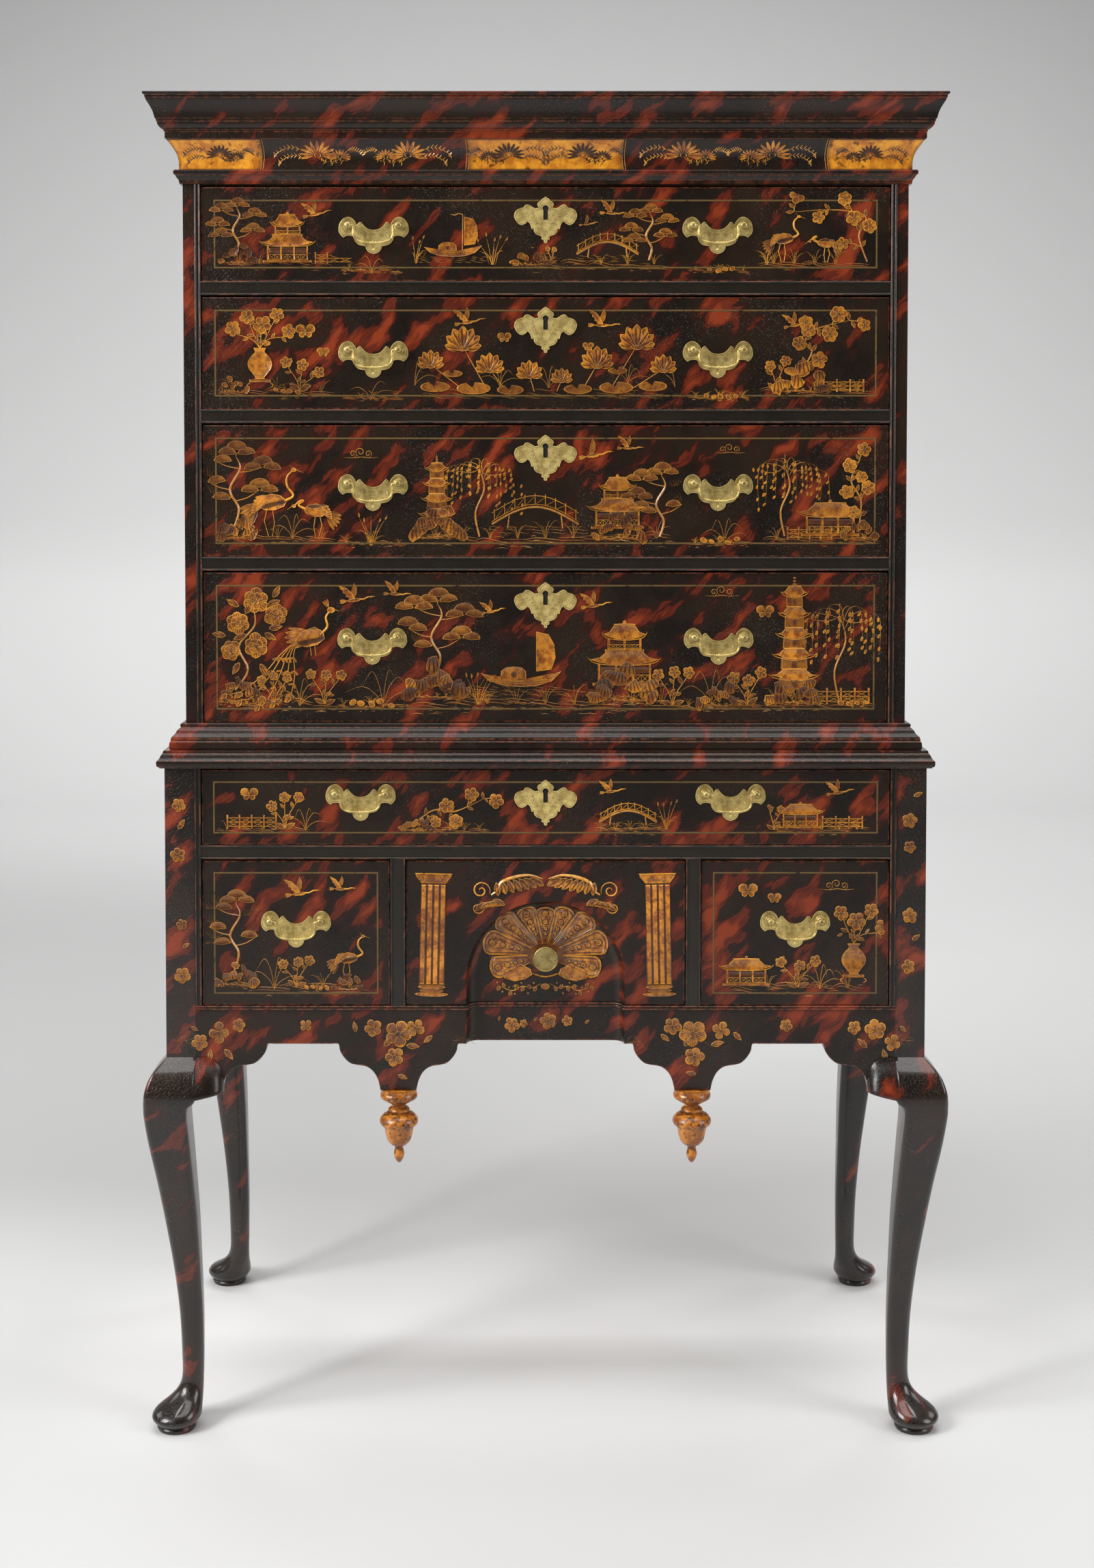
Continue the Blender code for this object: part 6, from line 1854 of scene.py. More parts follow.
def crane(pen, gilt=0.9, bow=0.0):
    """A long-legged bird on its feet, its neck in a curve; bow lowers its head."""
    for index in range(5):
        pen.move(-0.18, 0.48, 0.30 + 0.02 * index, 196 + 13 * index).dab(FEATHER, 1.1, gilt * 0.65, 16)
    body = [(-0.22, 0.46), (-0.14, 0.57), (0.0, 0.63), (0.15, 0.60), (0.24, 0.52), (0.20, 0.44),
            (0.06, 0.38), (-0.10, 0.38)]
    pen.dab(body, 2.0, gilt, 24, (0.5, 0.6), (-0.4, 0.45))
    for row, (length, rise) in enumerate(((0.34, 1.7), (0.25, 2.1))):
        for index in range(6):
            pen.move(0.10 - 0.03 * index, 0.56 - 0.02 * row, length,
                     178 + 9 * index).dab(leaf(0.13, 1.2, 0.75, 5), rise, gilt * vary(0.75, 1.1), 16)
    head = (0.34 + 0.12 * bow, 0.98 - 0.62 * bow)
    neck = spline([(0.20, 0.52), (0.33, 0.60), (0.24, 0.74 - 0.1 * bow),
                   (0.24 + 0.10 * bow, 0.88 - 0.32 * bow), head], 5)
    pen.line(neck, 2.6, 1.7, gilt, 0.95, (1.4, 0.6))
    pen.dab(oval(0.045, 0.034, *head, 9), 1.9, gilt)
    pen.line([(head[0] + 0.03, head[1]), (head[0] + 0.16, head[1] - 0.05 - 0.06 * bow)], 1.0, 0.9, gilt, 0.9,
             (1, 0.1))
    pen.curve([(head[0] - 0.02, head[1] + 0.03), (head[0] - 0.07, head[1] + 0.07)], 0.8, 3, rise=0.6,
              gilt=0.4)
    for start, knee, foot in (((0.02, 0.40), (0.05, 0.20), (0.02, 0.0)),
                              ((-0.06, 0.40), (-0.10, 0.22), (-0.04, 0.0))):
        pen.line([start, knee, foot], 1.1, 0.9, gilt, 0.9, (1, 0.8))
        for toe in (-0.07, 0.0, 0.08):
            pen.line([foot, (foot[0] + toe, -0.02)], 0.7, 0.5, gilt, 0.8)


def long_tailed_bird(pen, gilt=0.9):
    """A perching bird whose tail plumes sweep down in long curves."""
    for bend, reach in ((0.02, 1.00), (0.12, 0.92), (-0.10, 0.88), (0.22, 0.78), (-0.20, 0.72)):
        plume = spline([(-0.10, 0.50), (-0.26 + bend * 0.4, 0.30), (-0.38 + bend, 0.02),
                        (-0.56 + bend * 1.6, 0.10 - reach * 0.42),
                        (-0.66 + bend * 2.0, 0.16 - reach * 0.52)], 5)
        pen.line(plume, 1.3, 0.9, gilt * 0.8, 0.9, (1, 0.5))
        for spot in plume[6::3]:
            for turn in (200, 290):
                pen.move(*spot, 0.075, turn + vary(-15, 15)).dab(leaf(0.24, 1.0, 0.8, 3), 0.8, gilt * 0.7)
        pen.move(*plume[-1], 0.12, 235).dab(leaf(0.34, 1.1, 0.7, 5), 1.4, gilt, 18)
    body = [(-0.16, 0.48), (-0.06, 0.60), (0.10, 0.66), (0.22, 0.60), (0.24, 0.50), (0.14, 0.42),
            (0.0, 0.39), (-0.12, 0.41)]
    pen.dab(body, 2.0, gilt, 24, (0.5, 0.6), (-0.3, 0.45))
    wing(pen.move(0.12, 0.56), 6, 168, 214, 0.42, gilt)
    neck = spline([(0.18, 0.56), (0.27, 0.66), (0.25, 0.78), (0.30, 0.86)], 4)
    pen.line(neck, 2.8, 1.8, gilt, 0.95, (1.4, 0.8))
    pen.dab(oval(0.055, 0.042, 0.32, 0.88, 10), 2.0, gilt)
    pen.line([(0.36, 0.885), (0.45, 0.86)], 1.1, 0.9, gilt, 0.9, (1, 0.1))
    for turn in (100, 118, 136):
        pen.move(0.29, 0.91, 0.12, turn).dab(FEATHER, 1.2, 0.5)
    for x in (0.04, 0.10):
        pen.line([(x, 0.42), (x + 0.02, 0.28)], 1.1, 0.8, gilt, 0.9, (1, 0.8))


def butterfly(pen, gilt=0.9):
    """Four wings, a body and two feelers."""
    for turn, size, shape in ((32, 0.62, PETAL), (148, 0.62, PETAL), (-34, 0.42, PETAL), (214, 0.42, PETAL)):
        pen.move(0, 0, size, turn).dab(shape, 1.0, gilt * vary(0.7, 1.1), 34)
    pen.dab(oval(0.05, 0.22, 0, 0, 8), 1.6, 0.35)
    for side in (-1, 1):
        pen.curve([(0, 0.18), (side * 0.08, 0.36), (side * 0.2, 0.44)], 0.5, 3, rise=0.3)


def flowering_branch(pen, points, flowers, size, gilt=0.85):
    """A gnarled bough with twigs, leaves, buds and open flowers."""
    path = trunk(pen, points, 2.2)
    for index in range(flowers):
        spot = path[int((len(path) - 1) * (index + 1) / flowers)]
        ahead = path[min(int((len(path) - 1) * (index + 1) / flowers) + 1, len(path) - 1)]
        heading = degrees(atan2(ahead[1] - spot[1] + 0.001, ahead[0] - spot[0] + 0.001))
        side = 1 if index % 2 else -1
        turn = heading + side * vary(30, 70)
        reach = vary(0.12, 0.24)
        end = (spot[0] + reach * cos(radians(turn)), spot[1] + reach * sin(radians(turn)))
        stem(pen, [spot, ((spot[0] + end[0]) / 2, (spot[1] + end[1]) / 2 + 0.02), end], 1.0, 3, size * 0.9,
             gilt)
        blossom(pen.move(*end, size * vary(0.85, 1.15)), rng.choice((5, 5, 6)), gilt)
        single_leaf(pen.move(*spot, size * 1.1, heading - side * 50), gilt * 0.7)


def vase(pen, gilt=0.85):
    """A bellied vase on a stand, full of flowers."""
    half = spline([(0.08, 0.0), (0.07, 0.03), (0.17, 0.16), (0.19, 0.27), (0.12, 0.38), (0.07, 0.43),
                   (0.10, 0.49)], 2)
    pen.dab(half + [(-x, z) for x, z in reversed(half)], 2.2, gilt, 0)
    for z, wide in ((0.06, 0.10), (0.34, 0.145), (0.42, 0.07)):
        pen.line([(-wide, z), (wide, z)], 0.8, 0.25, 0.15, 0.1, (1, 1), lift=1.7)
    blossom(pen.move(0, 0.20, 0.09), 5, gilt)
    pen.dab(bar(-0.17, -0.02, 0.17, -0.02, 0.022), 1.4, gilt * 0.7)
    for side in (-1, 1):
        pen.curve([(side * 0.14, -0.04), (side * 0.20, -0.09), (side * 0.15, -0.13)], 1.3, 3, rise=0.9,
                  gilt=gilt)
    for lean, tall, size in ((-0.42, 0.78, 0.13), (-0.20, 0.96, 0.12), (0.04, 0.84, 0.15), (0.27, 1.0, 0.12),
                             (0.44, 0.74, 0.12)):
        stem(pen, [(0, 0.48), (lean * 0.3, 0.62), (lean * 0.85, tall - 0.08), (lean, tall)], 0.9, 4, 0.12,
             gilt)
        blossom(pen.move(lean, tall, size), 5, gilt)


def cloud(pen, gilt=0.7):
    """Three scrolls over a waved foot."""
    for x, z, radius, flip in ((-0.25, 0.0, 0.13, 1), (0.0, 0.06, 0.17, -1), (0.27, 0.0, 0.13, 1)):
        pen.line(scroll(x, z, radius, 270, 1.5, flip), 0.9, 0.6, gilt, 0.85)
    pen.curve([(-0.55, -0.12), (-0.25, -0.14), (0.05, -0.11), (0.30, -0.14), (0.60, -0.12)], 0.9, 4,
              rise=0.6, gilt=gilt)


def lily_pad(pen, gilt=0.6):
    """A floating leaf seen at a slant, cut to its stalk, with a bright edge and ribs."""
    edge = [(0.5 * cos(a), 0.17 * sin(a)) for a in (radians(115 + 330 * k / 15) for k in range(16))]
    pen.dab([(-0.04, 0.0)] + edge, 0.7, gilt * 0.6)
    pen.line(edge, 0.7, 0.5, gilt, 0.9, (0.8, 0.8), lift=0.4)
    for index in range(1, 15, 2):
        pen.line([(-0.03, 0.0), (edge[index][0] * 0.84, edge[index][1] * 0.84)], 0.4, 0.2, 0.95, 0.8,
                 lift=0.6)


def pebbles(pen, count, gilt=0.8):
    """Round stones in a row, each with a dark hollow."""
    for index in range(count):
        x = (index - (count - 1) / 2) * 0.34 + vary(-0.05, 0.05)
        size = vary(0.11, 0.16)
        stone = pen.move(x, vary(0.05, 0.22), size, vary(-50, 50))
        stone.dab(oval(1.0, 0.72, 0, 0, 12), 1.3, gilt)
        stone.line(arc((0.0, 0.0), 0.5, 200, 350, 6), 0.5, 0.2, 0.1, 0.05, lift=1.1)
    grass(pen.move(0.0, 0.0, 0.45), 7, 0.45, 0.85)


def long_grass(pen, gilt=0.75):
    """A few long blades that arch far over."""
    for reach, tall in ((-1.0, 0.55), (-0.55, 0.95), (0.30, 1.0), (0.75, 0.80), (1.15, 0.42)):
        end = (reach * vary(0.9, 1.1), tall * vary(0.35, 0.8))
        points = [(0, 0), (reach * 0.18, tall * 0.6), (reach * 0.55, tall), end]
        pen.curve(points, 0.6, 4, rise=0.3, gilt=gilt, tone=0.7, ends=(0.9, 0.15))


# Compositions, in millimetres from the middle of a drawer's foot


def brass_boxes(name):
    """Where the drawer's plates lie, with a little room round them."""
    boxes = []
    room = 0.0015
    for made in nodes:
        if made.startswith(name) and ("_pull" in made or "_escutcheon" in made):
            low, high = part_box(made)
            boxes.append((low.x - room, low.z - room, high.x + room, high.z + room))
    return boxes


def face_relief(name):
    """The relief on a drawer's face, and its pen at the middle of the drawer's foot."""
    low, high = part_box(name)
    face, edge = low.y, 0.004

    def place(x, z, height):
        return (x, face - height, z)

    made = Relief(place, (low.x + edge, low.z + edge), (high.x - edge, high.z - edge), brass_boxes(name))
    return made, Pen(made, (low.x + high.x) / 2, low.z)


def lotus_pond(pen):
    """Lotus flowers, floating leaves and long grass, placed on a drawer's face."""
    for x, z, size in ((-112, 84, 30), (-76, 54, 24), (70, 60, 27), (124, 86, 30), (-156, 60, 22),
                       (160, 54, 22), (-22, 46, 22), (22, 40, 18)):
        stem(pen, [(x * 0.7, 24), (x * 0.85, 24 + (z - 24) * 0.5), (x, z)], 1.1, 0)
        lotus(pen.move(x, z - 3, size), vary(0.75, 1.0))
    for x, z, size in ((-150, 30, 40), (-98, 28, 46), (-48, 26, 36), (44, 27, 38), (96, 29, 46),
                       (146, 31, 38), (-126, 48, 26), (98, 52, 26)):
        lily_pad(pen.move(x, z, size), vary(0.5, 0.9))
    for x, z, size in ((-178, 32, 34), (-62, 30, 28), (4, 28, 30), (176, 30, 36), (112, 34, 26)):
        long_grass(pen.move(x, z, size), 0.6)


def peony_tree(pen):
    """The flowers and leaves of a peony, placed on a drawer's face."""
    for x, z, size in ((-396, 166, 19), (-420, 136, 17), (-368, 146, 17), (-430, 98, 15), (-396, 104, 18)):
        peony(pen.move(x, z, size))
    for x, z, turn in ((-418, 158, 150), (-380, 160, 20), (-408, 120, 200), (-384, 122, 330),
                       (-372, 170, 60), (-418, 82, 240), (-390, 80, 300),
                       (-436, 118, 170), (-378, 128, 10), (-404, 186, 100), (-410, 148, 60)):
        single_leaf(pen.move(x, z, 20, turn))


def compose(name, motifs):
    """Draws motifs on a drawer's face, each one at its place, with its size, turn and flip."""
    relief, pen = face_relief(name)
    for motif, place, *looks in motifs:
        motif(pen.move(*place), *looks)
    relief.finish(f"{name}_relief", name)


COMPOSITIONS = {
    "drawer_1": (
        (rock, (-418, 24, 38), 0.6, 5), (pine_tree, (-420, 34, 68)), (pavilion, (-350, 25, 72), 2),
        (fence, (-312, 24, 54), 0.9), (ground, (-360, 22, 140), 1.0), (bird_flying, (-322, 88, 36, 8)),
        (long_grass, (-236, 10, 25)), (ground, (-235, 13, 80), 1.0), (boat, (-126, 38, 66)),
        (reeds, (-176, 24, 36), 4), (reeds, (-72, 22, 42), 5), (rock, (-20, 22, 38), 0.8, 5),
        (spray, (8, 24, 24), 2), (bridge, (84, 36, 84)), (pine_tree, (140, 28, 66)),
        (bird_flying, (80, 92, 34, -6), 0.8), (bird_flying, (50, 76, 24, 4), 0.7),
        (ground, (75, 21, 180), 1.0), (pebbles, (238, 12, 28), 4), (ground, (236, 13, 80), 1.0),
        (flowering_branch, (436, 26, 116, 0, -1),
         [(0, 0), (0.10, 0.30), (0.02, 0.52), (0.34, 0.60), (0.86, 0.58)], 6, 0.09),
        (crane, (322, 26, 62), 0.9, 0.0), (crane, (380, 25, 52, 0, -1), 0.8, 0.7),
        (ground, (365, 22, 140), 1.0), (grass, (300, 22, 22), 9),
    ),
    "drawer_2": (
        (vase, (-388, 40, 88)), (rock, (-424, 23, 30), 0.6, 5), (spray, (-334, 24, 52), 3),
        (butterfly, (-326, 104, 24)), (butterfly, (-302, 76, 16)), (pebbles, (-352, 20, 30), 4),
        (ground, (-365, 21, 150), 1.0), (long_grass, (-238, 12, 32)), (ground, (-235, 15, 80), 1.0),
        (lotus_pond, (0, 0)), (water, (0, 26, 150), 2.3, 3), (butterfly, (-56, 96, 17)),
        (butterfly, (58, 84, 14)), (bird_flying, (-116, 116, 38, 6)), (bird_flying, (66, 114, 40, -4)),
        (pebbles, (238, 14, 30), 5), (ground, (236, 15, 80), 1.0), (rock, (350, 24, 56), 0.75, 7),
        (flowering_branch, (346, 50, 100), [(0, 0), (0.16, 0.28), (0.02, 0.46), (0.26, 0.60), (0.66, 0.70)],
         7, 0.11),
        (fence, (378, 24, 60), 0.9), (spray, (314, 24, 48), 2), (bird_flying, (330, 112, 34, 8), 0.9),
        (ground, (368, 22, 140), 1.0),
    ),
    "drawer_3": (
        (rock, (-420, 25, 42), 0.6, 6), (pine_tree, (-424, 40, 102)), (crane, (-374, 28, 92), 0.95, 0.0),
        (crane, (-312, 26, 74, 0, -1), 0.85, 0.65), (long_grass, (-345, 24, 34)),
        (ground, (-365, 23, 150), 1.0), (reeds, (-238, 15, 42), 5), (ground, (-236, 17, 90), 1.0),
        (cloud, (-252, 140, 40)), (pagoda, (-148, 44, 104), 4), (rock, (-146, 26, 60), 0.7, 7),
        (willow, (-90, 27, 108)), (bridge, (-14, 44, 118)), (pavilion, (98, 38, 78), 2),
        (rock, (100, 24, 50), 0.6, 6), (pine_tree, (156, 27, 88)), (bird_flying, (54, 136, 42, 6)),
        (bird_flying, (104, 148, 32, -4), 0.75), (ground, (0, 23, 200), 1.7), (pebbles, (238, 17, 34), 5),
        (long_grass, (244, 18, 34), 0.6), (ground, (236, 17, 80), 1.0), (cloud, (250, 146, 36)),
        (willow, (326, 28, 112)), (pavilion, (388, 28, 86), 1), (rock, (426, 25, 38), 0.7, 5),
        (flowering_branch, (428, 44, 84, 0, -1), [(0, 0), (-0.02, 0.4), (0.14, 0.7), (0.02, 1.0)], 6, 0.12),
        (fence, (330, 24, 60), 1.0), (ground, (375, 22, 150), 1.0),
    ),
    "drawer_4": (
        (rock, (-416, 26, 46), 0.7, 6),
        (trunk, (-424, 44, 124), [(0, 0), (0.14, 0.22), (0.04, 0.48), (0.22, 0.72), (0.18, 0.98)], 3.0),
        (peony_tree, (0, 0)), (long_tailed_bird, (-326, 62, 104)), (spray, (-302, 24, 48), 3),
        (spray, (-372, 24, 42), 3), (long_grass, (-336, 22, 38)), (ground, (-365, 23, 160), 1.0),
        (pebbles, (-238, 20, 40), 5), (long_grass, (-222, 20, 52), 0.65), (bird_flying, (-272, 166, 42, 4)),
        (bird_flying, (-214, 176, 34, -6), 0.8), (ground, (-236, 20, 100), 1.0),
        (rock, (-148, 34, 66), 0.75, 8), (pine_tree, (-150, 64, 104)), (boat, (-34, 56, 92)),
        (pavilion, (108, 50, 94), 2), (rock, (108, 28, 76), 0.7, 8), (bird_flying, (56, 158, 38, 5), 0.9),
        (bird_flying, (-82, 150, 30, 8), 0.8), (water, (-34, 42, 160), 1.3, 5), (reeds, (-92, 24, 44), 5),
        (spray, (174, 22, 52), 3), (ground, (0, 23, 210), 1.7), (rock, (238, 22, 46), 0.7, 6),
        (long_grass, (226, 22, 50), 0.65), (spray, (276, 22, 54), 3), (ground, (240, 20, 110), 1.0),
        (cloud, (240, 178, 40)), (pagoda, (340, 44, 142), 5), (rock, (340, 26, 56), 0.7, 7),
        (willow, (402, 28, 138)), (fence, (366, 26, 76), 1.0), (butterfly, (300, 150, 22)),
        (pebbles, (420, 20, 34), 4), (ground, (375, 21, 150), 1.0),
    ),
    "long_drawer": (
        (fence, (-432, 23, 66), 1.0), (spray, (-354, 22, 48), 3), (butterfly, (-402, 68, 22)),
        (long_grass, (-326, 20, 30)), (ground, (-385, 20, 120), 1.0), (rock, (-174, 20, 34), 0.7, 6),
        (flowering_branch, (-176, 30, 96), [(0, 0), (0.25, 0.18), (0.55, 0.16), (0.95, 0.34)], 5, 0.10),
        (ground, (-130, 19, 100), 1.0), (bridge, (112, 31, 78)), (reeds, (164, 21, 38), 4),
        (bird_flying, (80, 72, 32, 4), 0.9), (ground, (115, 19, 100), 1.0), (pavilion, (346, 23, 62), 1),
        (fence, (376, 23, 60), 0.9), (bird_flying, (388, 70, 34, 6), 0.9), (spray, (310, 20, 36), 2),
        (ground, (375, 20, 120), 1.0),
    ),
    "small_drawer_left": (
        (rock, (-80, 27, 42), 0.7, 6), (pine_tree, (-84, 48, 96)), (spray, (0, 24, 46), 3),
        (long_grass, (-30, 22, 44)), (rock, (70, 22, 30), 0.6, 5), (crane, (70, 34, 62), 0.9),
        (pebbles, (28, 20, 28), 4), (bird_flying, (-6, 152, 42, 4)), (bird_flying, (52, 160, 32, -4), 0.8),
        (ground, (0, 22, 180), 1.0),
    ),
    "small_drawer_right": (
        (vase, (80, 42, 88), 0.85), (pavilion, (-66, 27, 70), 1), (spray, (4, 24, 50), 3),
        (butterfly, (-64, 156, 24)), (butterfly, (-28, 146, 17)), (long_grass, (34, 22, 34)),
        (cloud, (56, 164, 40)), (ground, (0, 22, 180), 1.0),
    ),
}


def pilaster(pen):
    """A fluted pilaster 170 units tall, with a flared capital and a moulded base."""
    pen.dab([(-24, 169), (24, 169), (24.6, 166), (17, 156), (-17, 156), (-24.6, 166)], 1.3, 0.75)
    pen.line([(-25, 168.5), (25, 168.5)], 1.6, 1.8, 0.95, 1.0, (1, 1))
    for side in (-1, 1):
        pen.line(scroll(side * 9, 162, 4.2, 90, 1.3, side), 0.7, 0.3, 0.15, 0.1, lift=1.2)
        pen.line(scroll(side * 2.2, 161, 2.4, 90, 1.2, side), 0.6, 0.3, 0.15, 0.1, lift=1.2)
    pen.dab([(-17.5, 15), (17.5, 15), (17.2, 85), (16.6, 157), (-16.6, 157), (-17.2, 85)], 0.4, 0.10)
    for index in range(4):
        x = -13.2 + 8.8 * index
        flute = [(x - 3.0, 17), (x + 3.0, 17), (x + 3.0, 85), (x + 3.0, 154), (x - 3.0, 154), (x - 3.0, 85)]
        pen.dab(flute, 1.4, 1.12 if index % 3 else 0.9)
    for z, half, gilt in ((13.5, 19, 0.7), (8.5, 17, 0.4), (3.5, 23, 0.8)):
        pen.dab(oval(half, 3.0, 0, z, 16), 1.5, gilt)


def shell_outline(half, inner, outer):
    """One lobe of a shell about the +v axis: narrow at the root, round at its rim."""
    points = []
    for step in range(9):
        angle = radians(-90 + 180 * step / 8)
        points.append((outer - half * 0.72 + half * 0.72 * cos(angle), half * sin(angle)))
    return [(inner, -half * 0.22)] + points + [(inner, half * 0.22)]


def recess_relief():
    """The shell round the knob, with scrolls over it, leaves under it and a pilaster at each side."""
    low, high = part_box("middle_drawer")
    face = low.y
    knob_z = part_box("middle_drawer_knob")[0].z + 0.0170

    def place(x, z, height):
        from_middle = hypot(x, z - RECESS_SPRING) if z > RECESS_SPRING else abs(x)
        return (x, face + recess_depth(RECESS_HALF - from_middle) - height, z)

    relief = Relief(place, (low.x + 0.004, low.z + 0.003), (high.x - 0.004, high.z - 0.004), (), True)
    pen = Pen(relief, 0.0, knob_z)
    for turn, outer, half in ((-15, 79, 15.5), (195, 79, 15.5), (13, 88, 17.5), (167, 88, 17.5),
                              (40, 84, 17), (140, 84, 17),
                              (65, 73, 15), (115, 73, 15), (90, 67, 14)):
        lobe = pen.move(0, 0, 1, turn)
        lobe.line(shell_outline(half * 1.07, 13, outer + 0.8), 1.6, 0.5, 0.2, 0.0, (1, 1))
        lobe.dab(shell_outline(half * 1.02, 13, outer), 1.1, 1.0, 1.0, (10, 0), (outer, 0))
        rim = shell_outline(half * 0.80, 24, outer - 4.0)
        lobe.line(rim, 0.9, 0.22, 0.2, 0.0, (1, 1), lift=1.3)
        for side in (-1, 1):
            fold = [(18, 0), (34, side * half * 0.16), (outer - 26, side * half * 0.30),
                    (outer - 12, side * half * 0.46)]
            lobe.curve(fold, 0.6, 4, rise=0.2, gilt=0.2, tone=0.0, lift=1.3)
        for share, radius in ((0.85, 3.9), (0.68, 3.1), (0.54, 2.4), (0.43, 1.9)):
            ring = oval(radius * 1.35, radius * 1.25, outer * share, 0, 14)
            lobe.line(ring + ring[:1], 0.8, 0.25, 0.1, 0.0, (1, 1), lift=1.35)
            lobe.dab(oval(radius * 1.05, radius * 0.95, outer * share, 0, 12), 2.2, 0.8)
    pen.dab(oval(25, 19, 0, -2, 20), 1.7, 0.14)
    for side in (-1, 1):
        half_pen = pen.move(0, 0, 1, 0, side)
        acanthus = [(20, -20), (34, -12), (52, -15), (62, -24), (56, -33), (42, -37), (28, -34), (18, -28)]
        half_pen.dab(acanthus, 1.5, 0.95, 1.0, (0, -20), (60, -28))
        half_pen.line(scroll(47, -25, 9.5, 120, 1.7, 1), 1.1, 0.6, 0.85, 0.95, lift=1.2)
        half_pen.line(scroll(30, -27, 6.0, 60, 1.4, -1), 0.9, 0.5, 0.3, 0.4, lift=1.2)
        foliage = [(6, -40), (18, -46), (32, -44), (44, -50), (58, -46), (66, -42)]
        half_pen.curve(foliage, 1.1, 4, rise=0.7, gilt=0.8)
        spots = ((12, -44), (20, -48), (29, -44), (38, -49), (46, -50), (55, -46), (62, -43))
        for index, (x, z) in enumerate(spots):
            turn = 60 if index % 2 else -60
            half_pen.move(x, z, 8.5, turn).dab(leaf(0.34, 0.9), 1.3, 0.6, 20)
            half_pen.dab(oval(1.3, 1.3, x + 4, z - 5 if index % 2 else z + 5, 8), 1.3, 0.7)
        half_pen.line(scroll(40, -46, 5.0, 0, 1.4, 1), 0.9, 0.6, 0.8, 0.9)
        scroll_cloud(pen.move(0, 0, 1, 0, side))
        pilaster(Pen(relief, side * 0.1555, low.z + 0.0115, 0.001, radians(side * 1.2)))
    pen.dab(oval(6.5, 4.4, 0, -44, 12), 1.6, 0.55)
    pen.curve([(-24, -24), (0, -31), (24, -24)], 2.2, 4, rise=1.8, gilt=0.55, tone=1.0)
    relief.finish("recess_relief", "middle_drawer")


def scroll_cloud(pen):
    """Feathered ribbon scrolls over the recess, from its crown outwards."""
    pen.curve([(4, 108), (22, 113), (44, 110), (60, 103), (66, 92), (74, 86)], 4.6, 4, rise=1.6, gilt=0.8,
              tone=0.95, ends=(0.3, 0.4))
    pen.line(scroll(88, 92, 13, 200, 1.5, -1), 2.2, 1.4, 0.85, 0.95)
    pen.line(scroll(92, 68, 10, 100, 1.4, 1), 1.8, 1.2, 0.7, 0.9)
    for index in range(7):
        x = 22 + 7.5 * index
        z = 109.5 - 0.16 * index * index
        pen.move(x, z, 23 - index * 0.6, 208 + 9 * index).dab(leaf(0.24, 1.1, 0.8), 1.3, 0.85, 26)
    for index in range(5):
        placed = pen.move(72 + 6 * index, 80 - 4 * index, 19, 205 - 16 * index)
        placed.dab(leaf(0.24, 1.1, 0.8), 1.2, 0.8, 20)


def sprig(motif, pen, x, z, size, leaf_turns, gilt, petals=()):
    """One blossom, or one leaf turned at random between two angles."""
    if motif is single_leaf:
        single_leaf(pen.move(x, z, size, vary(*leaf_turns)), gilt)
    else:
        blossom(pen.move(x, z, size), rng.choice(petals) if petals else 5, gilt)


def frame_reliefs():
    """Blossoms and leaves on the posts and along the skirt."""
    def place(x, z, height):
        return (x, LOWER_FRONT + recess_y(x) - height, z)

    relief = Relief(place, (-LOWER_HALF + 0.002, 0.40), (LOWER_HALF - 0.002, LOWER_TOP))
    pen = Pen(relief)
    post_middle = 496.5
    for side, places in (
        (-1,
         ((863, blossom, 10), (830, single_leaf, 17), (795, blossom, 11), (700, blossom, 8),
          (668, single_leaf, 12),
              (630, blossom, 12))),
        (1,
         ((875, single_leaf, 14), (842, blossom, 11), (806, blossom, 9), (712, blossom, 11),
          (678, single_leaf, 14),
             (642, blossom, 10))),
    ):
        for z, motif, size in places:
            sprig(motif, pen, side * post_middle + vary(-3, 3), z, size, (20, 150), 0.75)
    for side in (-1, 1):
        for x, z, size, motif in (
            (447, 553, 15, blossom), (474, 538, 12, blossom), (420, 560, 10, blossom),
            (440, 530, 19, single_leaf), (462, 512, 17, single_leaf), (483, 560, 12, single_leaf),
            (205, 550, 19, blossom), (174, 558, 13, blossom), (236, 556, 13, blossom),
            (205, 519, 14, blossom), (187, 532, 19, single_leaf), (223, 534, 19, single_leaf),
            (205, 494, 15, single_leaf), (154, 548, 16, single_leaf), (256, 552, 16, single_leaf),
            (330, 563, 9, blossom),
        ):
            x, z = side * (x + vary(-4, 4)), z + vary(-2, 2)
            sprig(motif, pen, x, z, size, (-60, 240), 0.85 if motif is blossom else 0.8, (4, 5, 5))
    for x, size, motif in (
        (-64, 8, single_leaf), (-46, 11, blossom), (-16, 8, single_leaf), (4, 12, blossom), (30, 8, blossom),
        (54, 9, single_leaf), (-30, 6, blossom),
    ):
        sprig(motif, pen, x, 560 + vary(-4, 4), size, (30, 150), 0.7)
    for x in (-490, 490, -205, 205, -120, 120):
        for _ in range(6):
            points = [(x, 548), (x + vary(-14, 14), 540), (x + vary(-30, 30), 536 + vary(-12, 14))]
            pen.curve(points, 0.35, 3, rise=0.1, gilt=0.5, tone=0.5)
    relief.finish("frame_relief", "case")


COVE_RUN = [(COVE_PROUD * out, COVE_FOOT + COVE_HEIGHT * up)
            for out, up in reversed(spline(COVE_SHARES[0], 6))]


def cove_point(share):
    """(stand-out, height, normal out, normal up) at a share of the cove from its foot."""
    spot = min(max(share, 0.0), 1.0) * (len(COVE_RUN) - 1)
    index = min(int(spot), len(COVE_RUN) - 2)
    part = spot - index
    (a, b), (c, d) = COVE_RUN[index], COVE_RUN[index + 1]
    length = hypot(c - a, d - b) or 1.0
    return a + (c - a) * part, b + (d - b) * part, (d - b) / length, -(c - a) / length


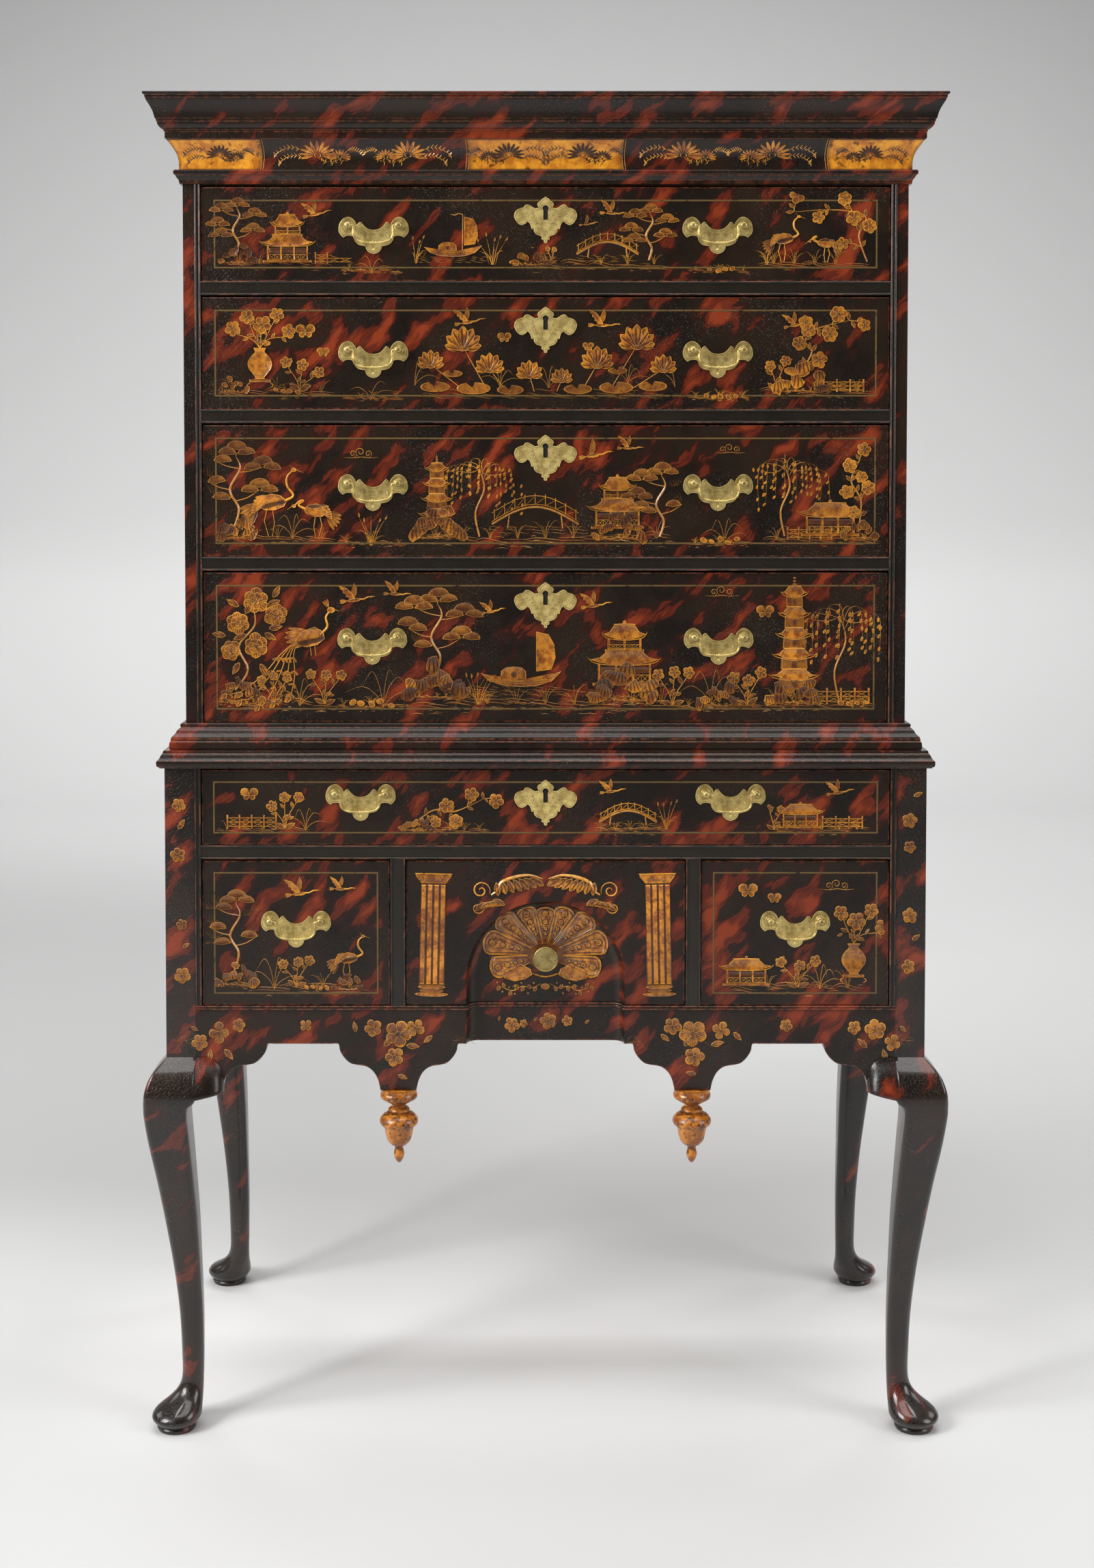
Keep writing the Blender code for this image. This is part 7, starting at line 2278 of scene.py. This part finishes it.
def cove_place(x, share, height):
    """A point on the cove, moved out along its normal."""
    out, z, normal_out, normal_up = cove_point(share)
    return (x, UPPER_FRONT - out - normal_out * height, z + normal_up * height)


def cove_panels():
    """Gilt panels in the cove with bowed ends, and drawings in brown or gold between double lines."""
    gold = new_bm()
    layer = gold.verts.layers.float.get("wear")
    columns, levels = 22, 20
    low_share, share_range, most_bow = 0.03, 0.93, 0.0025
    for start, start_bow, end, end_bow in (
        (None, 0.0, -0.3860, 1.0), (-0.1045, 0.7, 0.1045, -0.7), (0.3830, -1.0, None, 0.0),
    ):
        rows = []
        for level in range(levels + 1):
            share = low_share + share_range * level / levels
            mitre = UPPER_HALF + cove_point(share)[0]
            bow = most_bow * (1 - (2 * level / levels - 1) ** 2)
            left = -mitre if start is None else start + bow * start_bow
            right = mitre if end is None else end + bow * end_bow
            rows.append([(x, share) for x in steps_between(left, right, columns)])
        skins = []
        for height in (-SINK, 0.00022):
            skin = [[gold.verts.new(cove_place(x, share, height)) for x, share in row] for row in rows]
            for row_index, row in enumerate(skin):
                for column_index, vertex in enumerate(row):
                    rim = min(row_index, levels - row_index, column_index, columns - column_index)
                    vertex[layer] = 0.8 if rim == 0 else 0.0
            skins.append(skin)
        for skin in skins:
            for row, following in zip(skin, skin[1:]):
                for column in range(columns):
                    after = column + 1
                    gold.faces.new((row[column], row[after], following[after], following[column]))
        edges = [([row[tip] for row in skins[0]], [row[tip] for row in skins[1]]) for tip in (0, -1)]
        edges += [(skins[0][tip], skins[1][tip]) for tip in (0, -1)]
        for back, front in edges:
            for a, b, c, d in zip(back, front, back[1:], front[1:]):
                gold.faces.new((a, c, d, b))
    piece("cove_panels", gold, 40, LEAF_GOLD, "gilt_wood")

    relief = Relief(cove_place, (-0.52, 0.02), (0.52, 0.98))
    ink = Relief(lambda x, share, height: cove_place(x, share, height + 0.00042), (-0.52, 0.02),
                 (0.52, 0.98))
    for target, gilt, centres in ((ink, 0.0, (-0.440, -0.050, 0.050, 0.438)),
                                  (relief, 1.15, (-0.308, -0.186, 0.186, 0.306))):
        for index, x in enumerate(centres):
            side = 1 if index % 2 else -1
            small = 1.0 if gilt else (0.88 if abs(x) < 0.2 else 0.74)
            daisy(target, x, 0.47, 0.021 * small, side, gilt)
            daisy(target, x - side * 0.030 * small, 0.40, 0.0125 * small, -side, gilt)
            fern(target, x + side * 0.018, 0.60, side, 0.038 * small, gilt)
            fern(target, x + side * 0.016, 0.34, side, 0.034 * small, gilt)
            fern(target, x - side * 0.038 * small, 0.60, -side, 0.020 * small, gilt)
    for bound, outward, bow in (
        (-0.3860, 1, most_bow), (-0.1045, -1, -0.7 * most_bow), (0.1045, 1, -0.7 * most_bow),
        (0.3830, -1, most_bow),
    ):
        for shift in (0.0006, 0.0036):
            points = [(bound + outward * (bow * (1 - (2 * share - 1) ** 2) + shift),
                       low_share + share_range * share)
                      for share in steps_between(0.0, 1.0, 12)]
            relief.line(points, 0.0007, 0.0002, 0.8, 0.8, (1, 1))
    relief.finish("cove_gold_lines", "case")
    ink.finish("cove_ink_lines", "case", INK)


def stretched(points, x, share, size, turn=0.0):
    """Unit points on the cove, whose second coordinate is a share of its height."""
    c, s = cos(radians(turn)), sin(radians(turn))
    return [(x + 1.2 * size * (u * c - v * s), share + size * (u * s + v * c) / 0.045) for u, v in points]


def daisy(target, x, share, size, side, gilt):
    """Half a daisy: long narrow petals round a small eye, on a curling stalk."""
    width = 0.0009 if gilt else 0.0013
    for index in range(11):
        turn = 90 + (index - 5) * 21
        outline = stretched([(0.22 + 0.78 * u, v) for u, v in leaf(0.10, 1.2, 0.8, 4)], x, share, size, turn)
        target.dab(outline, 0.00035, gilt, 0, outline[0], outline[4])
    target.line(stretched(arc((0, 0), 0.17, 0, 360, 10), x, share, size), width, 0.00015, gilt, 0.7 * gilt,
                (1, 1))
    stalk = spline([(0, -0.15), (-side * 0.5, -0.5), (-side * 1.3, -0.45), (-side * 1.8, -0.1)], 5)
    target.line(stretched(stalk, x, share, size), width, 0.00018, gilt, 0.8 * gilt, (1, 0.3))
    for spot in stalk[4::3]:
        for turn in (50, 130, 250):
            curl = stretched([(0, 0), (0.12, 0.05), (0.26, 0.0)], *stretched([spot], x, share, size)[0],
                             size, turn + side * 20)
            target.line(curl, width * 1.4, 0.00018, gilt, 0.8 * gilt, (0.5, 0.2))


def fern(target, x, share, side, length, gilt):
    """A curling frond with short leaflets."""
    path = spline([(0, 0), (0.35, 0.16), (0.7, 0.10), (1.0, -0.12), (0.92, -0.22)], 5)
    points = [(x + side * length * u, share + length * v / 0.045) for u, v in path]
    target.line(points, 0.0010, 0.00022, gilt, 0.8 * gilt, (1, 0.4))
    for index in range(3, len(points) - 2, 2):
        px, pz = points[index]
        for up in (-1, 1):
            end = (px + side * 0.0035, pz + up * 0.09)
            middle = ((px + end[0]) / 2 + side * 0.0005, (pz + end[1]) / 2)
            target.line([(px, pz), middle, end], 0.0014, 0.00022, gilt, 0.8 * gilt, (1, 0.2))


# Carried-over solids


def dress_solids():
    """Materials for the solids whose shape is right as it is."""
    for name in ("upper_side_left", "upper_side_right"):
        dress(name, JAPAN_SIDE)
    for name in ("upper_rail_1", "upper_rail_2", "upper_rail_3", "upper_top_board", "upper_bottom_board"):
        dress(name, RAIL_UPPER)
    dress("lower_rail", RAIL_FRONT)
    dress("lower_back_board", PINE_X)


def dress(name, material):
    """Gives a carried-over solid its material."""
    thing = nodes[name]
    for spot in thing.material_slots:
        spot.link = "OBJECT"
        spot.material = material


# Stage


def soft_light(name, size, energy, place, aim):
    """A rectangular light that looks at a point."""
    data = bpy.data.lights.new(name, "AREA")
    data.shape = "RECTANGLE"
    data.size, data.size_y = size
    data.energy = energy
    thing = bpy.data.objects.new(name, data)
    bpy.context.scene.collection.objects.link(thing)
    thing.location = place
    thing.rotation_euler = (Vector(aim) - Vector(place)).to_track_quat("-Z", "Y").to_euler()


def stage():
    """A seamless pale sweep behind and under the chest, large soft lights and a dim room."""
    bm = bmesh.new()
    half_width, near, far, radius, top = 7.5, -6.0, 4.6, 1.1, 7.0
    bends = [radians(9 * step) for step in range(1, 11)]
    rise = [(far + radius * sin(bend), radius - radius * cos(bend)) for bend in bends]
    sweep_line = [(near, 0.0), (far, 0.0)] + rise + [(far + radius, top)]
    rows = [[bm.verts.new((x, y, z - 0.0001)) for y, z in sweep_line] for x in (-half_width, half_width)]
    for index in range(len(sweep_line) - 1):
        bm.faces.new((rows[0][index], rows[1][index], rows[1][index + 1], rows[0][index + 1]))
    sweep = bpy.data.objects.new("studio_sweep", mesh_of("studio_sweep", bm, 60, [studio_paper()]))
    bpy.context.scene.collection.objects.link(sweep)
    soft_light("key_light", (1.8, 2.0), 165, (-3.3, -1.9, 2.7), (0, -0.2, 1.0))
    soft_light("fill_light", (1.6, 2.0), 60, (3.3, -1.7, 2.0), (0, -0.2, 0.9))
    soft_light("top_light", (3.4, 2.0), 90, (0.0, -0.9, 4.0), (0, 0.3, 0.4))
    soft_light("backdrop_light", (6.4, 1.4), 300, (0.0, 2.6, 5.4), (0, 5.2, 0.8))
    soft_light("spark_light", (0.4, 0.4), 22, (-2.9, -2.3, 2.7), (0, -0.2, 1.0))
    for side in (-1, 1):
        soft_light(f"floor_light_{side + 1}", (1.4, 1.0), 14, (side * 3.3, 1.0, 2.0), (0, 0.8, 0.0))
    world = bpy.data.worlds.new("studio")
    world.use_nodes = True
    tree = world.node_tree
    seen = node(tree, "ShaderNodeLightPath").outputs["Is Camera Ray"]
    shade = mix(tree, seen, colour(0.0665, 0.0630, 0.0602), colour(0.58, 0.58, 0.585))
    tree.links.new(shade, tree.nodes["Background"].inputs["Color"])
    bpy.context.scene.world = world
    bpy.context.scene.view_settings.view_transform = "Standard"


def camera():
    """Straight on and tilted a little down, as fitted to the case's corners."""
    data = bpy.data.cameras.new("camera")
    data.lens, data.sensor_width = 44.95, 36.0
    data.shift_x, data.shift_y = 0.0142, -0.1556
    thing = bpy.data.objects.new("camera", data)
    bpy.context.scene.collection.objects.link(thing)
    thing.location = (-0.0283, -2.8931, 1.3259)
    thing.rotation_euler = (radians(90 - 2.224), 0, 0)
    bpy.context.scene.camera = thing


mouldings()
beads()
legs()
front_skirt()
pegs()
lower_sides()
pendants()
back_planks()
drawer_fronts()
middle_drawer()
dress_solids()
brasses()
for drawer, motifs in COMPOSITIONS.items():
    compose(drawer, motifs)
recess_relief()
frame_reliefs()
cove_panels()
stage()
camera()
